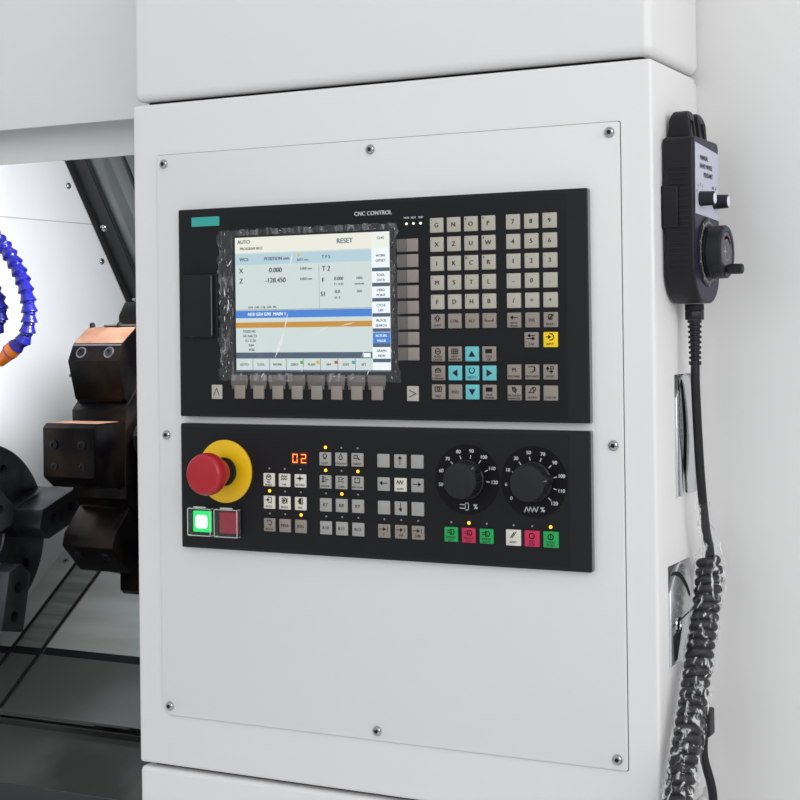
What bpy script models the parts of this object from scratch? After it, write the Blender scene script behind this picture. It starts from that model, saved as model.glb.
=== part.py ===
"""CNC turning lathe: slant bed, turret, power chuck, sliding door and an operator's column."""
import math

import bmesh
import bpy
from mathutils import Matrix, Vector

# Whole machine, in metres; X runs along the spindle, Y goes into the machine, Z is up
BODY_LENGTH = 2.250
BODY_DEPTH = 1.450
BODY_HEIGHT = 1.776
SPINDLE_HEIGHT = 1.050
SPINDLE_SETBACK = 0.250
BED_SLOPE = math.radians(35.0)
GAP = 0.0003
SHEET = 0.003
OVERRUN = 0.010

# Base, levelling feet and slant bed
FOOT_COUNT = 3
FOOT_RADIUS = 0.050
FOOT_HEIGHT = 0.022
FOOT_STEM_RADIUS = 0.016
FOOT_CLEARANCE = 0.080
BASE_TOP = 0.300
BASE_SETBACK = 0.060
BASE_INSET = 0.040
COVER_TO_SPINDLE = 0.230
BED_TOP_DROP = 0.075
BED_LOW_S = -0.100
BED_HIGH_S = 0.600
BED_END_INSET = 0.110
RAIL_LOW_S = -0.045
RAIL_HIGH_S = 0.480
RAIL_WIDTH = 0.045
RAIL_HEIGHT = 0.022

# Headstock, spindle drive and chuck
WALL_FROM_LEFT = 0.660
WALL_HOLE_RADIUS = 0.118
HEAD_LENGTH = 0.420
HEAD_WIDTH_S = 0.360
HEAD_HEIGHT = 0.440
HEAD_ROUND = 0.030
SPINDLE_RADIUS = 0.075
SPINDLE_STEPS = 32
NOSE_RADIUS = 0.112
NOSE_LENGTH = 0.030
RUNNING_GAP = 0.0001
BELT_GAP = 0.001
PULLEY_WIDTH = 0.070
PULLEY_GAP = 0.020
SPINDLE_PULLEY_RADIUS = 0.110
MOTOR_PULLEY_RADIUS = 0.090
PULLEY_LIP = 0.006
CYLINDER_RADIUS = 0.060
CYLINDER_LENGTH = 0.040
BELT_THICKNESS = 0.008
BELT_WIDTH = 0.056
MOTOR_RADIUS = 0.095
MOTOR_LENGTH = 0.340
MOTOR_DROP = 0.590
MOTOR_FORWARD = 0.062
MOTOR_SHAFT_RADIUS = 0.024
MOTOR_FOOT_WIDTH = 0.150
MOTOR_FOOT_HEIGHT = 0.060
CHUCK_RADIUS = 0.127
CHUCK_LENGTH = 0.1117
CHUCK_CHAMFER = 0.004
CHUCK_BORE = 0.038
CHUCK_BORE_DEPTH = 0.060
JAW_COUNT = 3
JAW_ANGLE = math.radians(18.0)
JAW_SLOT_WIDTH = 0.026
JAW_SLOT_DEPTH = 0.022
JAW_INNER = 0.034
JAW_OUTER = 0.124
JAW_WIDTH = 0.044
JAW_HEIGHT = 0.070
JAW_TAPER = 0.012
JAW_HOLE_RADIUS = 0.0075
JAW_HOLE_DEPTH = 0.030
JAW_STROKE = 0.0045

# Saddle, cross slide, turret and telescopic covers; S runs up the slope, T stands off it
COVER_LOW_S = -0.106
COVER_HIGH_S = 0.600
COVER_STEP = 0.0033
COVER_SKIN = 0.003
FIXED_COVER_TOP = -0.009
WEB_INSET = 0.012
LEFT_COVER_STEP = 0.044
LEFT_COVER_LENGTH = 0.272
LEFT_SLIDE_LENGTH = 0.286
SADDLE_COVER_LEFT = 0.102
SADDLE_COVER_LENGTH = 0.788
SADDLE_WEB_LEFT = 0.335
SADDLE_WEB_LENGTH = 0.215
SADDLE_TRAVEL = 0.400
RIGHT_COVER_LENGTH = 0.360
RIGHT_SLIDE_LEFT = 0.840
WAY_LENGTH_S = 0.560
WAY_LOW_S = 0.020
WAY_TOP = 0.050
CROSS_LOW_S = 0.070
CROSS_LENGTH_S = 0.330
CROSS_THICKNESS = 0.040
CROSS_SIDE = 0.005
CROSS_TRAVEL_DOWN = 0.020
CROSS_TRAVEL_UP = 0.140
TURRET_FROM_WALL = 0.2597
TURRET_TO_SPINDLE = 0.202
DISC_THICKNESS = 0.090
DISC_FLAT_RADIUS = 0.142
STATIONS = 8
HOLDER_OUTER = 0.205
HOLDER_SINK = 0.012
HOLDER_WIDTH = 0.088
HOLDER_TAPER = 0.020
HOLDER_LENGTH = 0.084
HOLDER_CAP_RADIUS = 0.0065
HOLDER_CAP_HEIGHT = 0.003
BORING_BAR_RADIUS = 0.012
BORING_BAR_LENGTH = 0.045
HOUSING_HALF = 0.112
HOUSING_LENGTH = 0.300
HOUSING_ROUND = 0.025
INDEX_MOTOR_RADIUS = 0.060
INDEX_MOTOR_LENGTH = 0.110

# Coolant hoses
HOSE_RADIUS = 0.011
HOSE_FITTING_RADIUS = 0.017
HOSE_FITTING_LENGTH = 0.018
HOSE_NOZZLE_RADIUS = 0.007
HOSE_NOZZLE_LENGTH = 0.026

# Sheet-metal enclosure and sliding door
SKIRT_HEIGHT = 0.100
POST_WIDTH = 0.050
CORNER_RETURN = 0.060
CORNER_ROUND = 0.010
CORNER_STEPS = 3
DOOR_RECESS = 0.045
DOOR_OPENING_WIDTH = 0.639
OPENING_DROP = 0.246
FASCIA_DROP = 0.212
APRON_TOP = 0.766
SILL_TOP = 0.791
LIP_RISE = 0.036
GUARD_SETBACK = 0.605
GUARD_FOLD = 0.012
GUARD_STRIP = 0.110
GUARD_FLANK = 0.010
DOOR_THICKNESS = 0.040
DOOR_WIDTH = 0.660
DOOR_TOP_CLEARANCE = 0.004
DOOR_FRAME = 0.095
DOOR_CLOSE_GAP = 0.002
DOOR_FRONT_GAP = 0.0025
DOOR_CORNER = 0.030
HANGER_WIDTH = 0.060
HANGER_THICKNESS = 0.016
HANGER_RISE = 0.024
WINDOW_THICKNESS = 0.008
HANDLE_RADIUS = 0.009
HANDLE_LENGTH = 0.280
HANDLE_REACH = 0.042
HANDLE_BEND = 0.022
CHUTE_STEP = 0.015
CHUTE_TREAD = 0.094
CHUTE_TAIL_LENGTH = 0.130
LOUVRE_COUNT = 9
LOUVRE_LENGTH = 0.320
LOUVRE_SLOT = 0.010
LOUVRE_PITCH = 0.026
LOUVRE_TOP = 0.420
CABINET_WIDTH = 0.800
CABINET_TOP_DROP = 0.176
CABINET_FOOT = 0.500
CABINET_SHIFT = 0.100
CABINET_DOOR_THICKNESS = 0.018
CABINET_DOOR_GAP = 0.002

# Operator's column
COLUMN_WIDTH = 0.536
COLUMN_DEPTH = 0.127
COLUMN_HEIGHT = 0.651
COLUMN_TOP_DROP = 0.223
COLUMN_FROM_RIGHT = 0.375
COLUMN_JOINT = 0.013
COLUMN_WALL = 0.0025
COLUMN_ROUND = 0.007
COLUMN_ROUND_STEPS = 3
CAP_GAP = 0.008
PLINTH_GAP = 0.006
JOINT_INSET = 0.005
PLATE_WIDTH = 0.478
PLATE_HEIGHT = 0.549
PLATE_THICKNESS = 0.002
PLATE_LEFT_MARGIN = 0.030
PLATE_TOP_MARGIN = 0.0515
PLATE_CHAMFER = 0.008
WINDOW_MARGIN = 0.020
PLATE_SCREW_INSET = 0.0088
PLATE_SCREW_RADIUS = 0.0048
PLATE_SCREW_HEIGHT = 0.0026

# Display unit
DISPLAY_WIDTH = 0.420
DISPLAY_HEIGHT = 0.200
DISPLAY_LEFT_MARGIN = 0.061
DISPLAY_TOP_MARGIN = 0.107
BEZEL_DEPTH = 0.008
BEZEL_ROUND = 0.0015
UNIT_BACK_DEPTH = 0.048
UNIT_BACK_INSET = 0.010
SCREEN_LEFT = 0.065
SCREEN_TOP = 0.0295
SCREEN_WIDTH = 0.166
SCREEN_HEIGHT = 0.1275
SCREEN_RECESS = 0.003
SCREEN_GLASS = 0.0022
FLAP_LEFT = 0.0065
FLAP_TOP = 0.063
FLAP_WIDTH = 0.0407
FLAP_HEIGHT = 0.061
FLAP_POCKET = 0.002
FLAP_PROUD = 0.002
FLAP_RIB = 0.003
FLAP_RIB_INSET = 0.006

# Keys, measured from the display unit's and the control panel's top-left corners
KEY_SIZE = 0.014
KEY_PROUD = 0.0018
KEY_SINK = 0.0015
KEY_PITCH_X = 0.0168
KEY_PITCH_Z = 0.0171
LETTER_X = 0.2787
NUMBER_X = 0.3525
LETTER_Z = 0.0262
LETTER_ROW_COUNT = 6
LETTER_COLUMN_COUNT = 4
NUMBER_COLUMN_COUNT = 3
LAST_KEY_COUNT = 2
CURSOR_Z = 0.1406
CURSOR_ROW_COUNT = 3
PAGE_Z = 0.1566
PAGE_ROW_COUNT = 2
SOFT_KEY_X = 0.0694
SOFT_KEY_Z = 0.1760
SOFT_KEY_PITCH = 0.0211
SOFT_KEY_COUNT = 8
SIDE_KEY_X = 0.2496
SIDE_KEY_Z = 0.0429
SIDE_KEY_PITCH = 0.01394
SIDE_KEY_WIDTH = 0.021
SIDE_KEY_HEIGHT = 0.0104
RECALL_X = 0.0435
RECALL_Z = 0.1755
EXTEND_X = 0.2533

# Control panel below the display unit
CONTROL_HEIGHT = 0.120
UNIT_SPACING = 0.0067
ESTOP_X = 0.052
ESTOP_Z = 0.0450
ESTOP_RING_RADIUS = 0.0300
ESTOP_RING_THICKNESS = 0.002
ESTOP_HOLE_RADIUS = 0.0115
ESTOP_STEM_RADIUS = 0.0105
ESTOP_STEM_LENGTH = 0.014
ESTOP_HEAD_RADIUS = 0.0200
ESTOP_HEAD_LENGTH = 0.024
ESTOP_TRAVEL = 0.005
ESTOP_STEPS = 32
PUSH_X = 0.0263
PUSH_PITCH = 0.0304
PUSH_Z = 0.0938
PUSH_SIZE = 0.0180
PUSH_FRAME = 0.0250
PUSH_FRAME_PROUD = 0.0025
PUSH_PROUD = 0.0045
PUSH_LENGTH = 0.0090
PUSH_TRAVEL = 0.0025
HOOD_SIZE = 0.0270
HOOD_DEPTH = 0.0085
HOOD_WALL = 0.0012
KEYPAD_A_X = 0.0987
KEYPAD_B_X = 0.1600
KEYPAD_C_X = 0.2215
KEYPAD_A_PITCH = 0.0177
KEYPAD_PITCH = 0.0170
KEYPAD_Z = 0.0305
KEYPAD_PITCH_Z = 0.0212
KEYPAD_ROW_COUNT = 4
KEYPAD_COLUMN_COUNT = 3
MOTION_KEY_X = 0.2879
MOTION_KEY_GAP = 0.0614
MOTION_KEY_PITCH = 0.0174
MOTION_KEY_Z = 0.0934
TRAVEL_KEY_TRAVEL = 0.0012
TRAVEL_KEY_LENGTH = 0.0050
KNOB_Z = 0.0443
SPINDLE_KNOB_X = 0.3055
FEED_KNOB_X = 0.3688
KNOB_RADIUS = 0.0172
KNOB_LENGTH = 0.018
KNOB_TAPER = 0.0020
KNOB_SHAFT_RADIUS = 0.0030
KNOB_SHAFT_LENGTH = 0.0060
KNOB_STEPS = 24
KNOB_POINTER = 0.0030

# Hand wheel pendant on the column's right side
PENDANT_SETBACK = 0.023
PENDANT_WIDTH = 0.0775
PENDANT_THICKNESS = 0.028
PENDANT_TOP_DROP = 0.064
PENDANT_HEIGHT = 0.142
PENDANT_TOP_ROUND = 0.008
PENDANT_BOTTOM_ROUND = 0.030
LOOP_WIDTH = 0.052
LOOP_RISE = 0.024
LOOP_WALL = 0.0085
LOOP_THICKNESS = 0.018
HOOK_RADIUS = 0.005
HOOK_HEAD = 0.003
ARC_STEPS = 5
WHEEL_DROP = 0.098
WHEEL_RING_RADIUS = 0.030
WHEEL_RING_PROUD = 0.0015
WHEEL_RADIUS = 0.023
WHEEL_LENGTH = 0.016
WHEEL_GRIP_RADIUS = 0.0045
WHEEL_GRIP_LENGTH = 0.016
WHEEL_GRIP_OFFSET = 0.016
WHEEL_GRIP_ANGLE = math.radians(340.0)
SELECTOR_DROP = 0.053
SELECTOR_INSET = 0.0175
SELECTOR_RADIUS = 0.0065
SELECTOR_LENGTH = 0.0135
GLAND_RADIUS = 0.0085
GLAND_OFFSET = 0.006
GLAND_LENGTH = 0.014
RELIEF_RADIUS = 0.0060
RELIEF_TIP_RADIUS = 0.0050
RELIEF_LENGTH = 0.039
RELIEF_RIB_COUNT = 5
RELIEF_GROOVE = 0.0010

# Curly cord: straight lead, coil and straight tail back into the column
CORD_RADIUS = 0.004
COIL_RADIUS = 0.0115
OUTLET_DROP = 0.590
OUTLET_BACK = 0.100
OUTLET_WIDTH = 0.018
OUTLET_DEPTH = 0.016
OUTLET_HEIGHT = 0.024
CORD_STEP = 0.012
CORD_JOIN = 0.002

# Chrome latches on the column's right side
LATCH_FRONT = 0.053
LATCH_DROP = 0.267
LATCH_WIDTH = 0.056
LATCH_HEIGHT = 0.107
SWING_LATCH_FRONT = 0.028
SWING_LATCH_DROP = 0.430
SWING_LATCH_WIDTH = 0.064
SWING_LATCH_HEIGHT = 0.086
LATCH_THICKNESS = 0.006
LATCH_PROUD = 0.002
LATCH_ARCH_SHARE = 0.35
LATCH_STEPS = 5

# Planes that follow from the sizes above
LEFT = -BODY_LENGTH / 2
RIGHT = BODY_LENGTH / 2
FRONT = -BODY_DEPTH / 2
REAR = BODY_DEPTH / 2
ESTOP_REACH = (PLATE_THICKNESS + BEZEL_DEPTH + ESTOP_RING_THICKNESS + 4 * GAP
               + ESTOP_STEM_LENGTH + ESTOP_HEAD_LENGTH)
COLUMN_FRONT = FRONT + ESTOP_REACH
BODY_FRONT = COLUMN_FRONT + COLUMN_DEPTH + COLUMN_JOINT
RECESS_FACE = BODY_FRONT + DOOR_RECESS
COLUMN_RIGHT = RIGHT - COLUMN_FROM_RIGHT
COLUMN_LEFT = COLUMN_RIGHT - COLUMN_WIDTH
COLUMN_TOP = BODY_HEIGHT - COLUMN_TOP_DROP
COLUMN_FOOT = COLUMN_TOP - COLUMN_HEIGHT
OPENING_LEFT = COLUMN_LEFT - DOOR_OPENING_WIDTH
SPINDLE_Y = BODY_FRONT + SPINDLE_SETBACK
WALL_X = LEFT + WALL_FROM_LEFT
WORK_LEFT = WALL_X + SHEET + GAP
PLATE_FRONT = COLUMN_FRONT - GAP - PLATE_THICKNESS
BEZEL_BACK = PLATE_FRONT - GAP
BEZEL_FRONT = BEZEL_BACK - BEZEL_DEPTH
DISPLAY_LEFT = COLUMN_LEFT + DISPLAY_LEFT_MARGIN
DISPLAY_TOP = COLUMN_TOP - DISPLAY_TOP_MARGIN
CONTROL_TOP = DISPLAY_TOP - DISPLAY_HEIGHT - UNIT_SPACING
ROOF_LOW = BODY_HEIGHT - SHEET
FASCIA_LOW = BODY_HEIGHT - FASCIA_DROP
OPENING_TOP = BODY_HEIGHT - OPENING_DROP
CABINET_TOP = BODY_HEIGHT - CABINET_TOP_DROP
HEADROOM = ROOF_LOW - SPINDLE_HEIGHT
SHELL_TOP = ROOF_LOW - GAP
RAIL_TOP = RAIL_HEIGHT - BED_TOP_DROP
HEAD_LEFT = WALL_X - GAP - HEAD_LENGTH
BED_RIGHT = RIGHT - BED_END_INSET

SLOPE = (Matrix.Translation((0.0, SPINDLE_Y + COVER_TO_SPINDLE * math.sin(BED_SLOPE),
                             SPINDLE_HEIGHT - COVER_TO_SPINDLE * math.cos(BED_SLOPE)))
         @ Matrix.Rotation(BED_SLOPE, 4, "X"))
ALONG_X = Matrix.Rotation(math.radians(90.0), 4, "Y")
TOWARDS_FRONT = Matrix.Rotation(math.radians(90.0), 4, "X")
SIDE_PLANE = Matrix(((0, 0, 1, 0), (1, 0, 0, 0), (0, 1, 0, 0), (0, 0, 0, 1)))
FRONT_PLANE = Matrix(((1, 0, 0, 0), (0, 0, -1, 0), (0, 1, 0, 0), (0, 0, 0, 1)))

# Finishes: colour, roughness, metallic, alpha
WHITE_PAINT = ((0.83, 0.84, 0.85), 0.35, 0.0, 1.0)
DARK_PAINT = ((0.05, 0.05, 0.055), 0.45, 0.0, 1.0)
GREY_PAINT = ((0.20, 0.21, 0.22), 0.50, 0.0, 1.0)
STEEL = ((0.55, 0.56, 0.57), 0.35, 1.0, 1.0)
DARK_STEEL = ((0.06, 0.06, 0.065), 0.30, 0.9, 1.0)
CHROME = ((0.85, 0.86, 0.88), 0.08, 1.0, 1.0)
CAST_IRON = ((0.12, 0.13, 0.13), 0.60, 0.6, 1.0)
RUBBER = ((0.02, 0.02, 0.02), 0.70, 0.0, 1.0)
BLACK_PLASTIC = ((0.03, 0.03, 0.032), 0.45, 0.0, 1.0)
SCREEN_GLOW = ((0.55, 0.70, 0.80), 0.15, 0.0, 1.0)
GLASS = ((0.75, 0.85, 0.85), 0.05, 0.0, 0.3)
RED_PLASTIC = ((0.65, 0.02, 0.04), 0.35, 0.0, 1.0)
GREEN_PLASTIC = ((0.02, 0.55, 0.18), 0.35, 0.0, 1.0)
YELLOW_PLASTIC = ((0.85, 0.62, 0.03), 0.40, 0.0, 1.0)
LIGHT_PLASTIC = ((0.60, 0.59, 0.56), 0.45, 0.0, 1.0)
BLUE_PLASTIC = ((0.01, 0.03, 0.45), 0.40, 0.0, 1.0)


def new_collection(name):
    """Return a new collection linked to the scene."""
    collection = bpy.data.collections.new(name)
    bpy.context.scene.collection.children.link(collection)
    return collection


def clear_scene():
    """Take the start-up objects out."""
    for obj in list(bpy.data.objects):
        bpy.data.objects.remove(obj, do_unlink=True)


clear_scene()
PARTS = new_collection("cnc_turning_lathe")
CUTTERS = new_collection("cutters")


def finish(obj, look):
    """Give an object its own Principled material."""
    colour, roughness, metallic, alpha = look
    mat = bpy.data.materials.new(obj.name + "_finish")
    mat.use_nodes = True
    shader = mat.node_tree.nodes["Principled BSDF"]
    shader.inputs["Base Color"].default_value = (*colour, 1.0)
    shader.inputs["Roughness"].default_value = roughness
    shader.inputs["Metallic"].default_value = metallic
    shader.inputs["Alpha"].default_value = alpha
    obj.data.materials.clear()
    obj.data.materials.append(mat)
    return obj


def add_object(name, mesh):
    """Link a mesh or curve to the parts collection."""
    obj = bpy.data.objects.new(name, mesh)
    PARTS.objects.link(obj)
    return obj


def from_bmesh(name, bm):
    """Turn a bmesh into an object."""
    mesh = bpy.data.meshes.new(name)
    bm.to_mesh(mesh)
    bm.free()
    return add_object(name, mesh)


def box(name, low, high, space=Matrix()):
    """Rectangular block between two corners, in a space such as the slope's."""
    bm = bmesh.new()
    bmesh.ops.create_cube(bm, size=1.0)
    low, high = Vector(low), Vector(high)
    size = high - low
    bm.transform(space @ Matrix.Translation((low + high) / 2) @ Matrix.Diagonal((*size, 1.0)))
    return from_bmesh(name, bm)


def boxes(name, places, size, space=Matrix()):
    """Equal blocks at several centres, as one mesh."""
    bm = bmesh.new()
    for place in places:
        matrix = space @ Matrix.Translation(place) @ Matrix.Diagonal((*size, 1.0))
        bmesh.ops.create_cube(bm, size=1.0, matrix=matrix)
    return from_bmesh(name, bm)


def cylinders(name, places, radius, length, space=Matrix(), sides=12, top_radius=None):
    """Equal round bars or tapered studs whose axes are the space's Z, as one mesh."""
    bm = bmesh.new()
    for place in places:
        bmesh.ops.create_cone(bm, cap_ends=True, segments=sides, radius1=radius,
                              radius2=radius if top_radius is None else top_radius,
                              depth=length, matrix=space @ Matrix.Translation(place))
    return from_bmesh(name, bm)


def turned(name, profile, space, steps=24, closed=False):
    """Turn a profile of radius and height pairs, listed down the outer side."""
    mesh = bpy.data.meshes.new(name)
    edges = [(i, i + 1) for i in range(len(profile) - 1)]
    if closed:
        edges.append((len(profile) - 1, 0))
    mesh.from_pydata([(radius, 0.0, height) for radius, height in profile], edges, [])
    obj = add_object(name, mesh)
    obj.matrix_world = space
    screw = obj.modifiers.new("turn", "SCREW")
    screw.angle = 2 * math.pi
    screw.steps = steps
    screw.render_steps = steps
    screw.use_merge_vertices = True
    screw.merge_threshold = GAP / 10
    return obj


def slab(name, outline, low, high, plane=Matrix(), holes=()):
    """Flat outline with holes, from low to high along its plane's own axis."""
    curve = bpy.data.curves.new(name, "CURVE")
    curve.dimensions = "2D"
    curve.fill_mode = "BOTH"
    curve.extrude = (high - low) / 2
    for points in (outline, *holes):
        spline = curve.splines.new("POLY")
        spline.points.add(len(points) - 1)
        for point, (x, y) in zip(spline.points, points):
            point.co = (x, y, 0.0, 1.0)
        spline.use_cyclic_u = True
    obj = add_object(name, curve)
    obj.matrix_world = plane @ Matrix.Translation((0.0, 0.0, (low + high) / 2))
    return as_mesh(obj)


def as_mesh(obj):
    """Replace a curve by a welded mesh of the same name, in world space."""
    bpy.context.view_layer.update()
    name = obj.name
    evaluated = obj.evaluated_get(bpy.context.evaluated_depsgraph_get())
    mesh = bpy.data.meshes.new_from_object(evaluated)
    mesh.transform(obj.matrix_world)
    curve = obj.data
    bpy.data.objects.remove(obj)
    bpy.data.curves.remove(curve)
    bm = bmesh.new()
    bm.from_mesh(mesh)
    bmesh.ops.remove_doubles(bm, verts=bm.verts, dist=GAP / 10)
    bmesh.ops.recalc_face_normals(bm, faces=bm.faces)
    bm.to_mesh(mesh)
    bm.free()
    mesh.name = name
    return add_object(name, mesh)


def sheet(name, path, low, high, thickness=SHEET, space=Matrix(), side=1.0):
    """Folded sheet: a path in the XY plane raised from low to high, then given its wall."""
    bm = bmesh.new()
    lower = [bm.verts.new((x, y, low)) for x, y in path]
    upper = [bm.verts.new((x, y, high)) for x, y in path]
    for i in range(len(path) - 1):
        bm.faces.new((lower[i], lower[i + 1], upper[i + 1], upper[i]))
    bm.transform(space)
    obj = from_bmesh(name, bm)
    wall = obj.modifiers.new("wall", "SOLIDIFY")
    wall.thickness = thickness
    wall.offset = side
    wall.use_even_offset = True
    return obj


def rounded(path, radius, steps):
    """Round the inner corners of an open path by arcs."""
    result = [path[0]]
    for before, corner, after in zip(path, path[1:], path[2:]):
        corner, before, after = Vector(corner), Vector(before), Vector(after)
        start = corner + (before - corner).normalized() * radius
        end = corner + (after - corner).normalized() * radius
        for i in range(steps + 1):
            share = i / steps
            result.append(start * (1 - share) ** 2 + corner * 2 * share * (1 - share) + end * share ** 2)
    result.append(path[-1])
    return [tuple(point) for point in result]


def arc(centre, radius, start, end, steps):
    """Points along a circular arc, both ends included."""
    angles = [start + (end - start) * i / steps for i in range(steps + 1)]
    return [(centre[0] + radius * math.cos(a), centre[1] + radius * math.sin(a)) for a in angles]


def rectangle(x0, y0, x1, y1):
    """Corners of a rectangle."""
    return [(x0, y0), (x1, y0), (x1, y1), (x0, y1)]


def circle(centre, radius, steps):
    """Points round a circle."""
    return arc(centre, radius, 0.0, 2 * math.pi * (steps - 1) / steps, steps - 1)


def bore_radius(shaft_radius, steps):
    """Radius of a polygon bore whose flats clear a shaft by the running gap."""
    return (shaft_radius + RUNNING_GAP) / math.cos(math.pi / steps)


def slope_point(s, t):
    """Y and Z of a point given along and off the bed's slope."""
    point = SLOPE @ Vector((0.0, s, t))
    return (point.y, point.z)


def hide_tool(tool):
    """Put a cutter or a joined shape in the cutters' collection."""
    PARTS.objects.unlink(tool)
    CUTTERS.objects.link(tool)
    tool.hide_render = True
    tool.display_type = "WIRE"


def combine(target, operation, tools):
    """Add one exact Boolean for each tool."""
    for tool in tools:
        modifier = target.modifiers.new(tool.name, "BOOLEAN")
        modifier.operation = operation
        modifier.solver = "EXACT"
        modifier.object = tool
        hide_tool(tool)
    return target


def cut(target, *tools):
    """Take the tools' shapes out of the target."""
    return combine(target, "DIFFERENCE", tools)


def join(target, *tools):
    """Weld the tools' shapes to the target."""
    return combine(target, "UNION", tools)


def round_edges(obj, width, segments=2, angle=math.radians(40.0)):
    """Round an object's sharp edges."""
    bevel = obj.modifiers.new("round", "BEVEL")
    bevel.width = width
    bevel.segments = segments
    bevel.limit_method = "ANGLE"
    bevel.angle_limit = angle
    return obj


def set_pivot(obj, point):
    """Move an object's origin to its joint without moving its shape."""
    shift = obj.matrix_world.inverted() @ Vector(point)
    obj.data.transform(Matrix.Translation(-shift))
    obj.matrix_world = obj.matrix_world @ Matrix.Translation(shift)
    return obj


def open_box(name, low, high, open_side, wall, radius, steps):
    """Sheet box with rounded edges and no rear or other side."""
    bm = bmesh.new()
    bmesh.ops.create_cube(bm, size=1.0)
    low, high = Vector(low), Vector(high)
    bm.transform(Matrix.Translation((low + high) / 2) @ Matrix.Diagonal((*(high - low), 1.0)))
    side = Vector(open_side)
    lids = [face for face in bm.faces if face.normal.dot(side) > 0.5]
    bmesh.ops.delete(bm, geom=lids, context="FACES_ONLY")
    obj = from_bmesh(name, bm)
    round_edges(obj, radius, steps)
    shell = obj.modifiers.new("wall", "SOLIDIFY")
    shell.thickness = wall
    shell.offset = -1.0
    shell.use_even_offset = True
    return obj


def smooth_route(points, step):
    """Read evenly spaced points off a smooth curve through a route's own points."""
    route = [Vector(point) for point in points]
    ends = [route[0] * 2 - route[1], *route, route[-1] * 2 - route[-2]]
    fine = []
    for p0, p1, p2, p3 in zip(ends, ends[1:], ends[2:], ends[3:]):
        count = max(2, round((p2 - p1).length / step))
        for i in range(count):
            u = i / count
            fine.append(0.5 * (2 * p1 + (p2 - p0) * u + (2 * p0 - 5 * p1 + 4 * p2 - p3) * u ** 2
                               + (3 * p1 - p0 - 3 * p2 + p3) * u ** 3))
    fine.append(route[-1])
    return fine


def tube(name, points, radius, resolution=2):
    """Round tube with filled caps along a poly line."""
    curve = bpy.data.curves.new(name, "CURVE")
    curve.dimensions = "3D"
    curve.bevel_depth = radius
    curve.bevel_resolution = resolution
    curve.use_fill_caps = True
    spline = curve.splines.new("POLY")
    spline.points.add(len(points) - 1)
    for point, place in zip(spline.points, points):
        point.co = (*place, 1.0)
    return add_object(name, curve)


# Base and bed


def base_frame():
    """Welded base on levelling feet."""
    low = (LEFT + BASE_INSET, BODY_FRONT + BASE_SETBACK, FOOT_CLEARANCE)
    high = (RIGHT - BASE_INSET, REAR - BASE_SETBACK, BASE_TOP)
    base = box("base_frame", low, high)
    span = high[0] - low[0] - 4 * FOOT_RADIUS
    places = [(low[0] + 2 * FOOT_RADIUS + span * i / (FOOT_COUNT - 1), y)
              for i in range(FOOT_COUNT)
              for y in (low[1] + 2 * FOOT_RADIUS, high[1] - 2 * FOOT_RADIUS)]
    stem_length = FOOT_CLEARANCE + OVERRUN - FOOT_HEIGHT / 2
    stems = cylinders("foot_stems", [(x, y, FOOT_HEIGHT / 2 + stem_length / 2) for x, y in places],
                      FOOT_STEM_RADIUS, stem_length)
    pads = cylinders("foot_pads", [(x, y, FOOT_HEIGHT / 2) for x, y in places],
                     FOOT_RADIUS, FOOT_HEIGHT, top_radius=2 * FOOT_STEM_RADIUS)
    join(base, stems, pads)
    return finish(base, GREY_PAINT)


def slant_bed():
    """Cast bed with two linear rails and the seated fixed ends of the way covers."""
    top_low = slope_point(BED_LOW_S, -BED_TOP_DROP)
    top_high = slope_point(BED_HIGH_S, -BED_TOP_DROP)
    foot = BASE_TOP + GAP
    outline = [top_low, top_high, (top_high[0], foot), (top_low[0], foot)]
    bed = slab("slant_bed", outline, HEAD_LEFT, BED_RIGHT, SIDE_PLANE)
    rails = [box(name, (WORK_LEFT, s - RAIL_WIDTH / 2, -BED_TOP_DROP - OVERRUN),
                 (BED_RIGHT, s + RAIL_WIDTH / 2, RAIL_TOP), SLOPE)
             for name, s in (("rail_low", RAIL_LOW_S), ("rail_high", RAIL_HIGH_S))]
    seat_top = FIXED_COVER_TOP - COVER_SKIN / 2
    ends = []
    for name, start, length in (("left_end", WORK_LEFT, LEFT_COVER_LENGTH),
                                ("right_end", BED_RIGHT - RIGHT_COVER_LENGTH, RIGHT_COVER_LENGTH)):
        ends.append(box(name + "_seat", (start + WEB_INSET, BED_LOW_S + WEB_INSET, -BED_TOP_DROP - OVERRUN),
                        (start + length - WEB_INSET, BED_HIGH_S - WEB_INSET, seat_top), SLOPE))
        ends.append(box(name + "_cover", (start, COVER_LOW_S, FIXED_COVER_TOP - COVER_SKIN),
                        (start + length, COVER_HIGH_S, FIXED_COVER_TOP), SLOPE))
    join(bed, *rails, *ends)
    return finish(bed, CAST_IRON)


# Headstock and drive

HEAD_RIGHT = WALL_X - GAP
SPINDLE_AXIS = Matrix.Translation((0.0, SPINDLE_Y, SPINDLE_HEIGHT)) @ ALONG_X
CHUCK_BACK = WORK_LEFT + NOSE_LENGTH / 2
CHUCK_FACE = CHUCK_BACK + CHUCK_LENGTH
PULLEY_RIGHT = HEAD_LEFT - PULLEY_GAP
PULLEY_LEFT = PULLEY_RIGHT - PULLEY_WIDTH
MOTOR_Y = SPINDLE_Y - MOTOR_FORWARD
MOTOR_Z = SPINDLE_HEIGHT - MOTOR_DROP
MOTOR_AXIS = Matrix.Translation((0.0, MOTOR_Y, MOTOR_Z)) @ ALONG_X


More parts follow.
